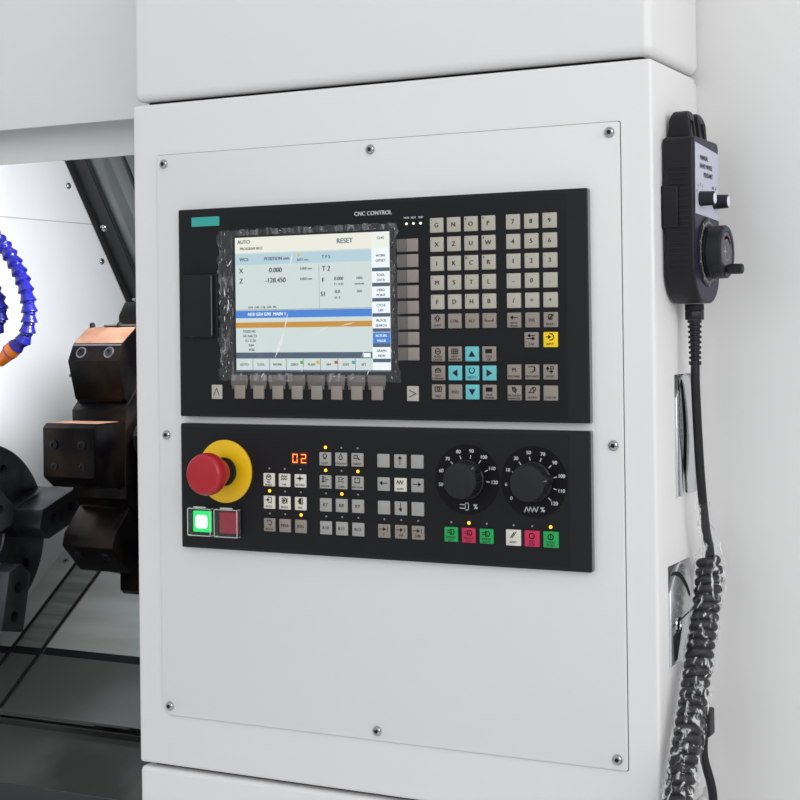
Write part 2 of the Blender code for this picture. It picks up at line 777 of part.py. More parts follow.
def headstock():
    """Cast headstock standing on the slanted bed, bored for the spindle."""
    half = HEAD_WIDTH_S / 2
    seat = -BED_TOP_DROP + GAP
    low_s = max(BED_LOW_S, -half)
    outline = [slope_point(low_s, seat), slope_point(half, seat),
               slope_point(half - HEAD_ROUND, seat + HEAD_HEIGHT),
               slope_point(-half + HEAD_ROUND, seat + HEAD_HEIGHT),
               slope_point(-half, seat + HEAD_HEIGHT / 2)]
    head = slab("headstock", outline, HEAD_LEFT, HEAD_RIGHT - NOSE_LENGTH, SIDE_PLANE)
    radius = bore_radius(SPINDLE_RADIUS, SPINDLE_STEPS)
    bore = turned("spindle_bore", [(0.0, HEAD_RIGHT + OVERRUN), (radius, HEAD_RIGHT + OVERRUN),
                                   (radius, HEAD_LEFT - OVERRUN), (0.0, HEAD_LEFT - OVERRUN)],
                  SPINDLE_AXIS, SPINDLE_STEPS)
    cut(head, bore)
    return finish(head, CAST_IRON)


def spindle():
    """Spindle with its nose flange, rear pulley and chuck cylinder."""
    nose_back = HEAD_RIGHT - NOSE_LENGTH + GAP
    cylinder_left = PULLEY_LEFT - CYLINDER_LENGTH
    profile = [(0.0, CHUCK_BACK - GAP), (NOSE_RADIUS, CHUCK_BACK - GAP),
               (NOSE_RADIUS, nose_back), (SPINDLE_RADIUS, nose_back),
               (SPINDLE_RADIUS, PULLEY_RIGHT),
               (SPINDLE_PULLEY_RADIUS + PULLEY_LIP, PULLEY_RIGHT),
               (SPINDLE_PULLEY_RADIUS + PULLEY_LIP, PULLEY_RIGHT - PULLEY_LIP),
               (SPINDLE_PULLEY_RADIUS, PULLEY_RIGHT - PULLEY_LIP),
               (SPINDLE_PULLEY_RADIUS, PULLEY_LEFT + PULLEY_LIP),
               (SPINDLE_PULLEY_RADIUS + PULLEY_LIP, PULLEY_LEFT + PULLEY_LIP),
               (SPINDLE_PULLEY_RADIUS + PULLEY_LIP, PULLEY_LEFT),
               (CYLINDER_RADIUS, PULLEY_LEFT), (CYLINDER_RADIUS, cylinder_left),
               (0.0, cylinder_left)]
    return finish(turned("spindle", profile, SPINDLE_AXIS, SPINDLE_STEPS), STEEL)


def radial(angle):
    """Space whose X points outwards at an angle in the chuck's or turret's plane."""
    return (Matrix.Translation((0.0, SPINDLE_Y, SPINDLE_HEIGHT))
            @ Matrix(((0, 0, 1, 0), (1, 0, 0, 0), (0, 1, 0, 0), (0, 0, 0, 1)))
            @ Matrix.Rotation(angle, 4, "Z"))


def jaw_angles():
    """Angles of the jaws round the spindle."""
    return [JAW_ANGLE + 2 * math.pi * i / JAW_COUNT for i in range(JAW_COUNT)]


def chuck():
    """Chuck body with a bore and one slot for each jaw."""
    profile = [(0.0, CHUCK_FACE - CHUCK_BORE_DEPTH), (CHUCK_BORE, CHUCK_FACE - CHUCK_BORE_DEPTH),
               (CHUCK_BORE, CHUCK_FACE), (CHUCK_RADIUS - CHUCK_CHAMFER, CHUCK_FACE),
               (CHUCK_RADIUS, CHUCK_FACE - CHUCK_CHAMFER),
               (CHUCK_RADIUS, CHUCK_BACK + CHUCK_CHAMFER),
               (CHUCK_RADIUS - CHUCK_CHAMFER, CHUCK_BACK), (0.0, CHUCK_BACK)]
    body = turned("chuck_body", profile, SPINDLE_AXIS, SPINDLE_STEPS)
    slots = [box(f"jaw_slot_{i + 1}",
                 (0.0, -JAW_SLOT_WIDTH / 2, CHUCK_FACE - JAW_SLOT_DEPTH),
                 (CHUCK_RADIUS + OVERRUN, JAW_SLOT_WIDTH / 2, CHUCK_FACE + OVERRUN), radial(angle))
             for i, angle in enumerate(jaw_angles())]
    cut(body, *slots)
    return finish(body, DARK_STEEL)


def chuck_jaw(index, angle):
    """Top jaw with its tongue in the slot and two counterbored screws."""
    space = radial(angle)
    name = f"chuck_jaw_{index}"
    outline = [(JAW_INNER, 0.0), (JAW_INNER + JAW_TAPER, -JAW_WIDTH / 2), (JAW_OUTER, -JAW_WIDTH / 2),
               (JAW_OUTER, JAW_WIDTH / 2), (JAW_INNER + JAW_TAPER, JAW_WIDTH / 2)]
    jaw = slab(name, outline, CHUCK_FACE + GAP, CHUCK_FACE + JAW_HEIGHT, space)
    tongue = box(name + "_tongue",
                 (JAW_INNER + JAW_TAPER, -JAW_SLOT_WIDTH / 2 + GAP, CHUCK_FACE - JAW_SLOT_DEPTH + GAP),
                 (JAW_OUTER - JAW_TAPER / 2, JAW_SLOT_WIDTH / 2 - GAP, CHUCK_FACE + JAW_TAPER), space)
    spread = (JAW_OUTER - JAW_INNER - JAW_TAPER) / 4
    middle = (JAW_OUTER + JAW_INNER + JAW_TAPER) / 2
    places = [(middle + side * spread, 0.0, CHUCK_FACE + JAW_HEIGHT) for side in (-1, 1)]
    holes = cylinders(name + "_holes", places, JAW_HOLE_RADIUS, 2 * JAW_HOLE_DEPTH, space, 12)
    join(jaw, tongue)
    cut(jaw, holes)
    return finish(set_pivot(jaw, (CHUCK_FACE, SPINDLE_Y, SPINDLE_HEIGHT)), DARK_STEEL)


def spindle_motor():
    """Foot-mounted spindle motor with its shaft."""
    left = PULLEY_RIGHT + PULLEY_GAP
    right = left + MOTOR_LENGTH
    rim = MOTOR_RADIUS - CHUCK_CHAMFER
    profile = [(0.0, right), (rim, right), (MOTOR_RADIUS, right - CHUCK_CHAMFER),
               (MOTOR_RADIUS, left + CHUCK_CHAMFER), (rim, left), (0.0, left)]
    motor = turned("spindle_motor", profile, MOTOR_AXIS, SPINDLE_STEPS)
    shaft_end = PULLEY_RIGHT + PULLEY_GAP / 2
    shaft = turned("motor_shaft", [(0.0, right - OVERRUN), (MOTOR_SHAFT_RADIUS, right - OVERRUN),
                                   (MOTOR_SHAFT_RADIUS, shaft_end), (0.0, shaft_end)], MOTOR_AXIS)
    foot = box("motor_foot", (left + OVERRUN, MOTOR_Y - MOTOR_FOOT_WIDTH / 2, BASE_TOP + GAP),
               (right - OVERRUN, MOTOR_Y + MOTOR_FOOT_WIDTH / 2, MOTOR_Z - MOTOR_RADIUS + MOTOR_FOOT_HEIGHT))
    join(motor, shaft, foot)
    return finish(motor, DARK_PAINT)


def motor_pulley():
    """Toothed belt pulley on the motor, with two lips."""
    outer = MOTOR_PULLEY_RADIUS + PULLEY_LIP
    hub_right = PULLEY_RIGHT + PULLEY_GAP / 2 - GAP
    profile = [(0.0, hub_right), (MOTOR_SHAFT_RADIUS, hub_right), (MOTOR_SHAFT_RADIUS, PULLEY_RIGHT),
               (outer, PULLEY_RIGHT), (outer, PULLEY_RIGHT - PULLEY_LIP),
               (MOTOR_PULLEY_RADIUS, PULLEY_RIGHT - PULLEY_LIP),
               (MOTOR_PULLEY_RADIUS, PULLEY_LEFT + PULLEY_LIP), (outer, PULLEY_LEFT + PULLEY_LIP),
               (outer, PULLEY_LEFT), (0.0, PULLEY_LEFT)]
    return finish(turned("motor_pulley", profile, MOTOR_AXIS, SPINDLE_STEPS), STEEL)


def belt_loop(extra):
    """Outline round both pulleys, a stated distance off them."""
    top, low = Vector((SPINDLE_Y, SPINDLE_HEIGHT)), Vector((MOTOR_Y, MOTOR_Z))
    big, small = SPINDLE_PULLEY_RADIUS + extra, MOTOR_PULLEY_RADIUS + extra
    axis = math.atan2(top.y - low.y, top.x - low.x)
    lean = math.acos((big - small) / (top - low).length)
    steps = SPINDLE_STEPS // 2
    return (arc(top, big, axis - math.pi + lean - 2 * math.pi, axis + math.pi - lean - 2 * math.pi, steps)
            + arc(low, small, axis + math.pi - lean, axis + math.pi + lean, steps))


def drive_belt():
    """Belt round the spindle's and the motor's pulleys."""
    clear = BELT_GAP
    middle = (PULLEY_LEFT + PULLEY_RIGHT) / 2
    belt = slab("drive_belt", belt_loop(clear + BELT_THICKNESS), middle - BELT_WIDTH / 2,
                middle + BELT_WIDTH / 2, SIDE_PLANE, [belt_loop(clear)])
    return finish(belt, RUBBER)


# Saddle, cross slide and turret

SADDLE_LEFT = WORK_LEFT + SADDLE_WEB_LEFT
SADDLE_RIGHT = SADDLE_LEFT + SADDLE_WEB_LENGTH
SLIDE_COVER_TOP = FIXED_COVER_TOP + COVER_STEP
SADDLE_COVER_TOP = SLIDE_COVER_TOP + COVER_STEP
DISC_LEFT = WORK_LEFT + TURRET_FROM_WALL
DISC_RIGHT = DISC_LEFT + DISC_THICKNESS
TURRET_SPACE = SLOPE @ Matrix.Translation((0.0, TURRET_TO_SPINDLE, COVER_TO_SPINDLE))
TURRET_CENTRE = TURRET_SPACE.translation
WAY_LEFT = DISC_RIGHT + CROSS_SIDE


def z_saddle():
    """Saddle on the rails, with its way cover and the cross slide's inclined way."""
    carriage = box("z_saddle", (SADDLE_LEFT, BED_LOW_S + WEB_INSET, RAIL_TOP + GAP),
                   (SADDLE_RIGHT, BED_HIGH_S - WEB_INSET, SADDLE_COVER_TOP - COVER_SKIN / 2), SLOPE)
    cover_left = WORK_LEFT + SADDLE_COVER_LEFT
    cover = box("saddle_cover", (cover_left, COVER_LOW_S, SADDLE_COVER_TOP - COVER_SKIN),
                (cover_left + SADDLE_COVER_LENGTH, COVER_HIGH_S, SADDLE_COVER_TOP), SLOPE)
    inner = SADDLE_RIGHT - WEB_INSET
    way = box("cross_way", (WAY_LEFT, WAY_LOW_S, SADDLE_COVER_TOP - COVER_SKIN / 2),
              (inner, WAY_LOW_S + WAY_LENGTH_S, WAY_TOP), SLOPE)
    shoes = [box(name, (SADDLE_LEFT + WEB_INSET, low, RAIL_TOP - RAIL_HEIGHT / 2),
                 (inner, low + RAIL_WIDTH, RAIL_TOP + RAIL_HEIGHT), SLOPE)
             for name, low in (("shoe_low", RAIL_LOW_S + RAIL_WIDTH / 2 + GAP),
                               ("shoe_high", RAIL_HIGH_S - RAIL_WIDTH * 3 / 2 - GAP))]
    join(carriage, cover, way, *shoes)
    return finish(carriage, GREY_PAINT)


def way_cover(name, left, length):
    """Moving middle segment of a telescopic way cover."""
    cover = box(name, (left, COVER_LOW_S, SLIDE_COVER_TOP - COVER_SKIN),
                (left + length, COVER_HIGH_S, SLIDE_COVER_TOP), SLOPE)
    return finish(cover, STEEL)


def x_slide():
    """Cross slide with the turret housing and its indexing motor."""
    right = SADDLE_RIGHT - WEB_INSET - CROSS_SIDE
    base = box("x_slide", (WAY_LEFT + CROSS_SIDE, CROSS_LOW_S, WAY_TOP + GAP),
               (right, CROSS_LOW_S + CROSS_LENGTH_S, WAY_TOP + CROSS_THICKNESS), SLOPE)
    housing = box("turret_housing", (DISC_RIGHT + GAP, -HOUSING_HALF, WAY_TOP + CROSS_THICKNESS / 2
                                     - COVER_TO_SPINDLE),
                  (DISC_RIGHT + HOUSING_LENGTH, HOUSING_HALF, HOUSING_HALF), TURRET_SPACE)
    round_edges(housing, HOUSING_ROUND)
    motor = cylinders("index_motor", [(0.0, 0.0, DISC_RIGHT + HOUSING_LENGTH + INDEX_MOTOR_LENGTH / 2
                                       - OVERRUN / 2)],
                      INDEX_MOTOR_RADIUS, INDEX_MOTOR_LENGTH + OVERRUN, TURRET_SPACE @ ALONG_X, 24)
    join(base, housing, motor)
    return finish(base, DARK_PAINT)


def station(index):
    """Space of one turret station: X outwards, Y along the rim, Z along the machine."""
    return (Matrix.Translation((0.0, TURRET_CENTRE.y, TURRET_CENTRE.z))
            @ Matrix(((0, 0, 1, 0), (1, 0, 0, 0), (0, 1, 0, 0), (0, 0, 0, 1)))
            @ Matrix.Rotation(math.pi + 2 * math.pi * index / STATIONS, 4, "Z"))


def turret_disc():
    """Indexing disc with a tool holder on each flat."""
    corner = DISC_FLAT_RADIUS / math.cos(math.pi / STATIONS)
    outline = [(corner * math.cos(a), corner * math.sin(a))
               for a in (2 * math.pi * (i + 0.5) / STATIONS for i in range(STATIONS))]
    disc = slab("turret_disc", outline, DISC_LEFT, DISC_RIGHT, station(0))
    inner = DISC_FLAT_RADIUS - HOLDER_SINK
    for i in range(STATIONS):
        half = HOLDER_WIDTH / 2
        block = [(inner, -half), (inner, half), (HOLDER_OUTER, half - HOLDER_TAPER),
                 (HOLDER_OUTER, -half)]
        margin = (DISC_THICKNESS - HOLDER_LENGTH) / 2
        holder = slab(f"tool_holder_{i + 1}", block, DISC_LEFT + margin, DISC_RIGHT - margin, station(i))
        join(disc, holder)
        seat = HOLDER_OUTER + HOLDER_CAP_HEIGHT / 2 - OVERRUN / 2
        places = [(z, -half / 3, seat) for z in (-DISC_LEFT - DISC_THICKNESS / 4,
                                                 -DISC_RIGHT + DISC_THICKNESS / 4)]
        caps = cylinders(f"holder_caps_{i + 1}", places, HOLDER_CAP_RADIUS,
                         HOLDER_CAP_HEIGHT + OVERRUN, station(i) @ ALONG_X, 10)
        join(disc, caps)
    bar = cylinders("boring_bar", [((DISC_FLAT_RADIUS + HOLDER_OUTER) / 2, 0.0, DISC_LEFT
                                    - BORING_BAR_LENGTH / 2 + OVERRUN)],
                    BORING_BAR_RADIUS, BORING_BAR_LENGTH + 2 * OVERRUN, station(0), 12)
    join(disc, bar)
    return finish(set_pivot(disc, (DISC_LEFT, TURRET_CENTRE.y, TURRET_CENTRE.z)), DARK_STEEL)


# Coolant hoses, in the work space at the headstock wall

# How far from the wall, behind the spindle and above it the hose runs, in shares of the headroom
UPPER_HOSE_SHARES = [(0.0124, 0.0277, 0.6224), (0.0484, 0.0277, 0.6266), (0.1245, 0.0138, 0.6155),
                     (0.2185, 0.0000, 0.5588), (0.2669, 0.0000, 0.4979), (0.2877, 0.0000, 0.4357),
                     (0.2808, 0.0000, 0.3831), (0.2434, 0.0000, 0.3513)]
LOWER_HOSE_SHARES = [(0.0124, 0.0000, 0.5602), (0.0415, 0.0000, 0.5643), (0.0968, 0.0000, 0.5505),
                     (0.1591, 0.0000, 0.5145), (0.2006, 0.0000, 0.4703), (0.2185, 0.0000, 0.4288),
                     (0.2075, 0.0000, 0.3942), (0.1770, 0.0000, 0.3762)]


def coolant_hose(name, shares):
    """Segmented hose from its fitting on the headstock wall to a nozzle above the chuck."""
    route = [(WORK_LEFT + out * HEADROOM, SPINDLE_Y + back * HEADROOM, SPINDLE_HEIGHT + rise * HEADROOM)
             for out, back, rise in shares]
    points = smooth_route(route, 2 * HOSE_RADIUS)
    hose = as_mesh(tube(name, points, HOSE_RADIUS))
    seat = WORK_LEFT + GAP + HOSE_FITTING_LENGTH / 2
    fitting = cylinders(name + "_fitting", [(-route[0][2], route[0][1], seat)],
                        HOSE_FITTING_RADIUS, HOSE_FITTING_LENGTH, ALONG_X, 12)
    end, before = Vector(route[-1]), Vector(route[-2])
    aim = (end - before).to_track_quat("Z", "Y").to_matrix().to_4x4()
    nozzle = cylinders(name + "_nozzle", [(0.0, 0.0, HOSE_NOZZLE_LENGTH / 2 - HOSE_RADIUS)],
                       HOSE_RADIUS + GAP, HOSE_NOZZLE_LENGTH + HOSE_RADIUS,
                       Matrix.Translation(end) @ aim, 12, HOSE_NOZZLE_RADIUS)
    join(hose, fitting, nozzle)
    return finish(hose, BLUE_PLASTIC)


# Enclosure


def headstock_wall():
    """White wall between the headstock and the work space, with the spindle's hole."""
    front = RECESS_FACE + SHEET + GAP
    seat = -BED_TOP_DROP + GAP
    back_low = slope_point(GUARD_SETBACK - GAP, seat)
    top_t = (SHELL_TOP - slope_point(GUARD_SETBACK, 0.0)[1]) / math.cos(BED_SLOPE)
    back_high = slope_point(GUARD_SETBACK - GAP, top_t)
    bed_front = slope_point(BED_LOW_S, seat)
    outline = [(front, APRON_TOP), (bed_front[0] - GAP, APRON_TOP), (bed_front[0] - GAP, bed_front[1]),
               back_low, (back_high[0], SHELL_TOP), (front, SHELL_TOP)]
    hole = circle((SPINDLE_Y, SPINDLE_HEIGHT), WALL_HOLE_RADIUS, SPINDLE_STEPS)
    wall = slab("headstock_wall", outline, WALL_X, WALL_X + SHEET, SIDE_PLANE, [hole])
    return finish(wall, WHITE_PAINT)


def left_cover():
    """Left end cover, with the front post and the recessed panel behind the open door."""
    post = LEFT + POST_WIDTH
    outside = [(post, RECESS_FACE), (post, BODY_FRONT), (LEFT, BODY_FRONT), (LEFT, REAR),
               (LEFT + CORNER_RETURN, REAR)]
    path = [(OPENING_LEFT, RECESS_FACE)] + rounded(outside, CORNER_ROUND, CORNER_STEPS)
    cover = sheet("left_cover", path, SKIRT_HEIGHT, SHELL_TOP)
    return finish(cover, WHITE_PAINT)


def right_cover():
    """Right end cover with the front post."""
    path = [(RIGHT - CORNER_RETURN, REAR), (RIGHT, REAR), (RIGHT, BODY_FRONT),
            (RIGHT - POST_WIDTH, BODY_FRONT)]
    cover = sheet("right_cover", rounded(path, CORNER_ROUND, CORNER_STEPS), SKIRT_HEIGHT, SHELL_TOP)
    return finish(cover, WHITE_PAINT)


def front_fascia():
    """Front panel over the door and right of it, with the door's top track."""
    left, right = LEFT + POST_WIDTH + GAP, RIGHT - POST_WIDTH - GAP
    inner = COLUMN_LEFT + CORNER_ROUND
    outline = [(inner, APRON_TOP + GAP), (right, APRON_TOP + GAP), (right, SHELL_TOP),
               (left, SHELL_TOP), (left, FASCIA_LOW), (inner, FASCIA_LOW)]
    fascia = slab("front_fascia", outline, -BODY_FRONT - SHEET, -BODY_FRONT, FRONT_PLANE)
    roof = FASCIA_LOW + LIP_RISE
    web = box("track_web", (left, BODY_FRONT + SHEET / 2, roof - SHEET), (inner, RECESS_FACE - GAP, roof))
    lip_left = OPENING_LEFT + GAP
    lip_top = box("track_top", (lip_left, BODY_FRONT + DOOR_RECESS - SHEET, roof - SHEET),
                  (inner, RECESS_FACE + SHEET, roof))
    lip = box("track_lip", (lip_left, RECESS_FACE, OPENING_TOP),
              (inner, RECESS_FACE + SHEET, roof - SHEET / 2))
    join(fascia, web, lip_top, lip)
    return finish(fascia, WHITE_PAINT)


def lower_apron():
    """Front panel below the door, folded in as the door's sill."""
    left, right = LEFT + POST_WIDTH + GAP, RIGHT - POST_WIDTH - GAP
    panel = box("lower_apron", (left, BODY_FRONT, SKIRT_HEIGHT), (right, BODY_FRONT + SHEET, APRON_TOP))
    flange = box("sill_flange", (left, BODY_FRONT + SHEET / 2, APRON_TOP - SHEET),
                 (right, RECESS_FACE - GAP, APRON_TOP))
    inner = COLUMN_LEFT + CORNER_ROUND
    bridge = box("sill_bridge", (OPENING_LEFT + GAP, RECESS_FACE - SHEET, APRON_TOP - SHEET),
                 (inner, RECESS_FACE + SHEET, APRON_TOP))
    sill = box("sill", (OPENING_LEFT + GAP, RECESS_FACE, APRON_TOP - SHEET / 2),
               (inner, RECESS_FACE + SHEET, SILL_TOP))
    join(panel, flange, bridge, sill)
    return finish(panel, WHITE_PAINT)


def chip_chute():
    """Stepped sheet that leads chips and coolant off the bed, down to the front."""
    top = FIXED_COVER_TOP - COVER_SKIN - COVER_STEP
    middle = top - CHUTE_STEP
    low = middle - CHUTE_STEP
    path = [slope_point(COVER_LOW_S - GAP, top), slope_point(COVER_LOW_S - GAP, middle),
            slope_point(COVER_LOW_S - CHUTE_TREAD, middle), slope_point(COVER_LOW_S - CHUTE_TREAD, low)]
    front = RECESS_FACE + SHEET + CORNER_ROUND
    last = path[-1]
    path.append((front, last[1] - (last[0] - front) * math.tan(BED_SLOPE)))
    path.append((front, path[-1][1] - CHUTE_TAIL_LENGTH))
    right = RIGHT - SHEET - GAP
    chute = sheet("chip_chute", path, WORK_LEFT, right, COVER_SKIN, SIDE_PLANE)
    return finish(chute, GREY_PAINT)


def rear_guard():
    """Dark folded guard at the back of the work space, square to the slope."""
    right = RIGHT - SHEET - GAP
    top = (ROOF_LOW - slope_point(GUARD_SETBACK + GUARD_FOLD, 0.0)[1]) / math.cos(BED_SLOPE) - OVERRUN
    path = [(WORK_LEFT, GUARD_SETBACK)]
    depth = 0.0
    x = WORK_LEFT + GUARD_STRIP / 2
    while x < right - GUARD_STRIP:
        path.append((x, GUARD_SETBACK + depth))
        depth = GUARD_FOLD - depth
        path.append((x + GUARD_FLANK, GUARD_SETBACK + depth))
        x += GUARD_STRIP
    path.append((right, GUARD_SETBACK + depth))
    guard = sheet("rear_guard", path, SADDLE_COVER_TOP + GAP, top, SHEET, SLOPE, -1.0)
    return finish(guard, DARK_PAINT)


def roof_cover():
    """Flat roof plate."""
    roof = box("roof_cover", (LEFT, BODY_FRONT, ROOF_LOW), (RIGHT, REAR, BODY_HEIGHT))
    return finish(roof, WHITE_PAINT)


def rear_cover():
    """Rear panel with cooling slots and the electrical cabinet's opening."""
    left, right = LEFT + CORNER_RETURN + GAP, RIGHT - CORNER_RETURN - GAP
    middle = -CABINET_SHIFT
    opening = rectangle(middle - CABINET_WIDTH / 2, CABINET_FOOT, middle + CABINET_WIDTH / 2, CABINET_TOP)
    holes = [opening]
    for i in range(LOUVRE_COUNT):
        z = LOUVRE_TOP - i * LOUVRE_PITCH
        holes.append(rectangle(middle - LOUVRE_LENGTH / 2, z, middle + LOUVRE_LENGTH / 2, z + LOUVRE_SLOT))
    outline = rectangle(left, SKIRT_HEIGHT, right, SHELL_TOP)
    cover = slab("rear_cover", outline, -REAR, -REAR + SHEET, FRONT_PLANE, holes)
    return finish(cover, WHITE_PAINT)


def cabinet_door():
    """Hinged door of the electrical cabinet."""
    left = -CABINET_SHIFT - CABINET_WIDTH / 2 + GAP
    right = -CABINET_SHIFT + CABINET_WIDTH / 2 - CABINET_DOOR_GAP
    door = box("cabinet_door", (left, REAR - CABINET_DOOR_THICKNESS, CABINET_FOOT + CABINET_DOOR_GAP),
               (right, REAR, CABINET_TOP - CABINET_DOOR_GAP))
    return finish(set_pivot(door, (left, REAR, CABINET_FOOT)), WHITE_PAINT)


# Sliding door

DOOR_RIGHT = OPENING_LEFT + DOOR_RECESS / 2
DOOR_LEFT = DOOR_RIGHT - DOOR_WIDTH
DOOR_FACE = BODY_FRONT + DOOR_FRONT_GAP
DOOR_LOW = APRON_TOP + GAP
DOOR_HIGH = FASCIA_LOW - DOOR_TOP_CLEARANCE


def sliding_door():
    """Door frame with a window cut-out and two hangers in the top track."""
    hole = rectangle(DOOR_LEFT + DOOR_FRAME, DOOR_LOW + 2 * DOOR_FRAME, DOOR_RIGHT - DOOR_FRAME,
                     DOOR_HIGH - DOOR_FRAME)
    outline = rectangle(DOOR_LEFT, DOOR_LOW, DOOR_RIGHT, DOOR_HIGH)
    door = slab("sliding_door", outline, -DOOR_FACE - DOOR_THICKNESS, -DOOR_FACE, FRONT_PLANE, [hole])
    middle = DOOR_FACE + DOOR_THICKNESS / 2
    places = [(x, middle, DOOR_HIGH + HANGER_RISE / 2 - OVERRUN / 2)
              for x in (DOOR_LEFT + HANGER_WIDTH, DOOR_RIGHT - HANGER_WIDTH)]
    hangers = boxes("door_hangers", places, (HANGER_WIDTH, HANGER_THICKNESS, HANGER_RISE + OVERRUN))
    join(door, hangers)
    return finish(door, WHITE_PAINT)


def door_window():
    """Pane in the door's cut-out."""
    middle = DOOR_FACE + DOOR_THICKNESS / 2
    pane = box("door_window", (DOOR_LEFT + DOOR_FRAME + GAP, middle - WINDOW_THICKNESS / 2,
                               DOOR_LOW + 2 * DOOR_FRAME + GAP),
               (DOOR_RIGHT - DOOR_FRAME - GAP, middle + WINDOW_THICKNESS / 2, DOOR_HIGH - DOOR_FRAME - GAP))
    return finish(pane, GLASS)


def door_handle():
    """Bow handle on the door's closing edge."""
    x = DOOR_RIGHT - DOOR_FRAME / 2
    z = (DOOR_LOW + DOOR_HIGH) / 2
    out = DOOR_FACE - HANDLE_REACH
    half = HANDLE_LENGTH / 2
    path = [(DOOR_FACE - GAP, z - half), (out, z - half), (out, z + half), (DOOR_FACE - GAP, z + half)]
    points = [(x, y, height) for y, height in rounded(path, HANDLE_BEND, CORNER_STEPS)]
    return finish(as_mesh(tube("door_handle", points, HANDLE_RADIUS)), CHROME)


# Operator's column

OUTLET_Y = COLUMN_FRONT + OUTLET_BACK
OUTLET_LOW = COLUMN_TOP - OUTLET_DROP


def column_shell():
    """Rounded sheet box behind the panels, with its gland, pendant hook and latch openings."""
    back = COLUMN_FRONT + COLUMN_DEPTH
    shell = open_box("column_shell", (COLUMN_LEFT, COLUMN_FRONT, COLUMN_FOOT),
                     (COLUMN_RIGHT, back, COLUMN_TOP), (0.0, 1.0, 0.0), COLUMN_WALL, COLUMN_ROUND,
                     COLUMN_ROUND_STEPS)
    left = COLUMN_LEFT + PLATE_LEFT_MARGIN
    top = COLUMN_TOP - PLATE_TOP_MARGIN
    window = box("panel_window", (left + WINDOW_MARGIN, COLUMN_FRONT - OVERRUN, top - PLATE_HEIGHT
                                  + WINDOW_MARGIN),
                 (left + PLATE_WIDTH - WINDOW_MARGIN, COLUMN_FRONT + OVERRUN, top - WINDOW_MARGIN))
    cut(shell, window)
    for name, outline in (("latch_hole", latch_outline(LATCH_FRONT, LATCH_DROP, LATCH_WIDTH, LATCH_HEIGHT,
                                                       GAP)),
                          ("swing_latch_hole", latch_outline(SWING_LATCH_FRONT, SWING_LATCH_DROP,
                                                             SWING_LATCH_WIDTH, SWING_LATCH_HEIGHT, GAP))):
        cut(shell, slab(name, outline, COLUMN_RIGHT - OVERRUN, COLUMN_RIGHT + OVERRUN, SIDE_PLANE))
    bars = [box("joint_left", (COLUMN_LEFT + COLUMN_WALL / 2, back - OVERRUN, COLUMN_FOOT + JOINT_INSET),
                (COLUMN_LEFT + COLUMN_WALL / 2 + JOINT_INSET, BODY_FRONT - GAP, COLUMN_TOP - JOINT_INSET)),
            box("joint_right", (COLUMN_RIGHT - COLUMN_WALL / 2 - JOINT_INSET, back - OVERRUN,
                                COLUMN_FOOT + JOINT_INSET),
                (COLUMN_RIGHT - COLUMN_WALL / 2, BODY_FRONT - GAP, COLUMN_TOP - JOINT_INSET))]
    outlet = box("cord_outlet", (COLUMN_RIGHT - COLUMN_WALL / 2, OUTLET_Y - OUTLET_WIDTH / 2, OUTLET_LOW),
                 (COLUMN_RIGHT + OUTLET_DEPTH, OUTLET_Y + OUTLET_WIDTH / 2, OUTLET_LOW + OUTLET_HEIGHT))
    hook_y = COLUMN_FRONT + PENDANT_SETBACK + PENDANT_WIDTH / 2
    hook_z = COLUMN_TOP - PENDANT_TOP_DROP + LOOP_RISE - LOOP_WALL - HOOK_RADIUS - GAP
    reach = LOOP_THICKNESS + 2 * GAP + HOOK_HEAD
    hook = cylinders("pendant_hook", [(-hook_z, hook_y, COLUMN_RIGHT + reach / 2 - COLUMN_WALL / 4)],
                     HOOK_RADIUS, reach + COLUMN_WALL / 2, ALONG_X, 12)
    join(shell, *bars, outlet, hook)
    return finish(shell, WHITE_PAINT)


def column_cap():
    """Upper box of the column, above a shadow gap."""
    back = BODY_FRONT - GAP
    cap = open_box("column_cap", (COLUMN_LEFT, COLUMN_FRONT, COLUMN_TOP + CAP_GAP),
                   (COLUMN_RIGHT, back, BODY_HEIGHT), (0.0, 1.0, 0.0), COLUMN_WALL, COLUMN_ROUND,
                   COLUMN_ROUND_STEPS)
    return finish(cap, WHITE_PAINT)


def column_plinth():
    """Lower box of the column, down to the skirt."""
    back = BODY_FRONT - GAP
    plinth = open_box("column_plinth", (COLUMN_LEFT, COLUMN_FRONT, SKIRT_HEIGHT),
                      (COLUMN_RIGHT, back, COLUMN_FOOT - PLINTH_GAP), (0.0, 1.0, 0.0), COLUMN_WALL,
                      COLUMN_ROUND, COLUMN_ROUND_STEPS)
    return finish(plinth, WHITE_PAINT)


def unit_back(top, height, clearance=0.0):
    """X and Z limits of a unit's rear body, for the body and its cut-out in the plate."""
    return (DISPLAY_LEFT + UNIT_BACK_INSET - clearance, top - height + UNIT_BACK_INSET - clearance,
            DISPLAY_LEFT + DISPLAY_WIDTH - UNIT_BACK_INSET + clearance, top - UNIT_BACK_INSET + clearance)


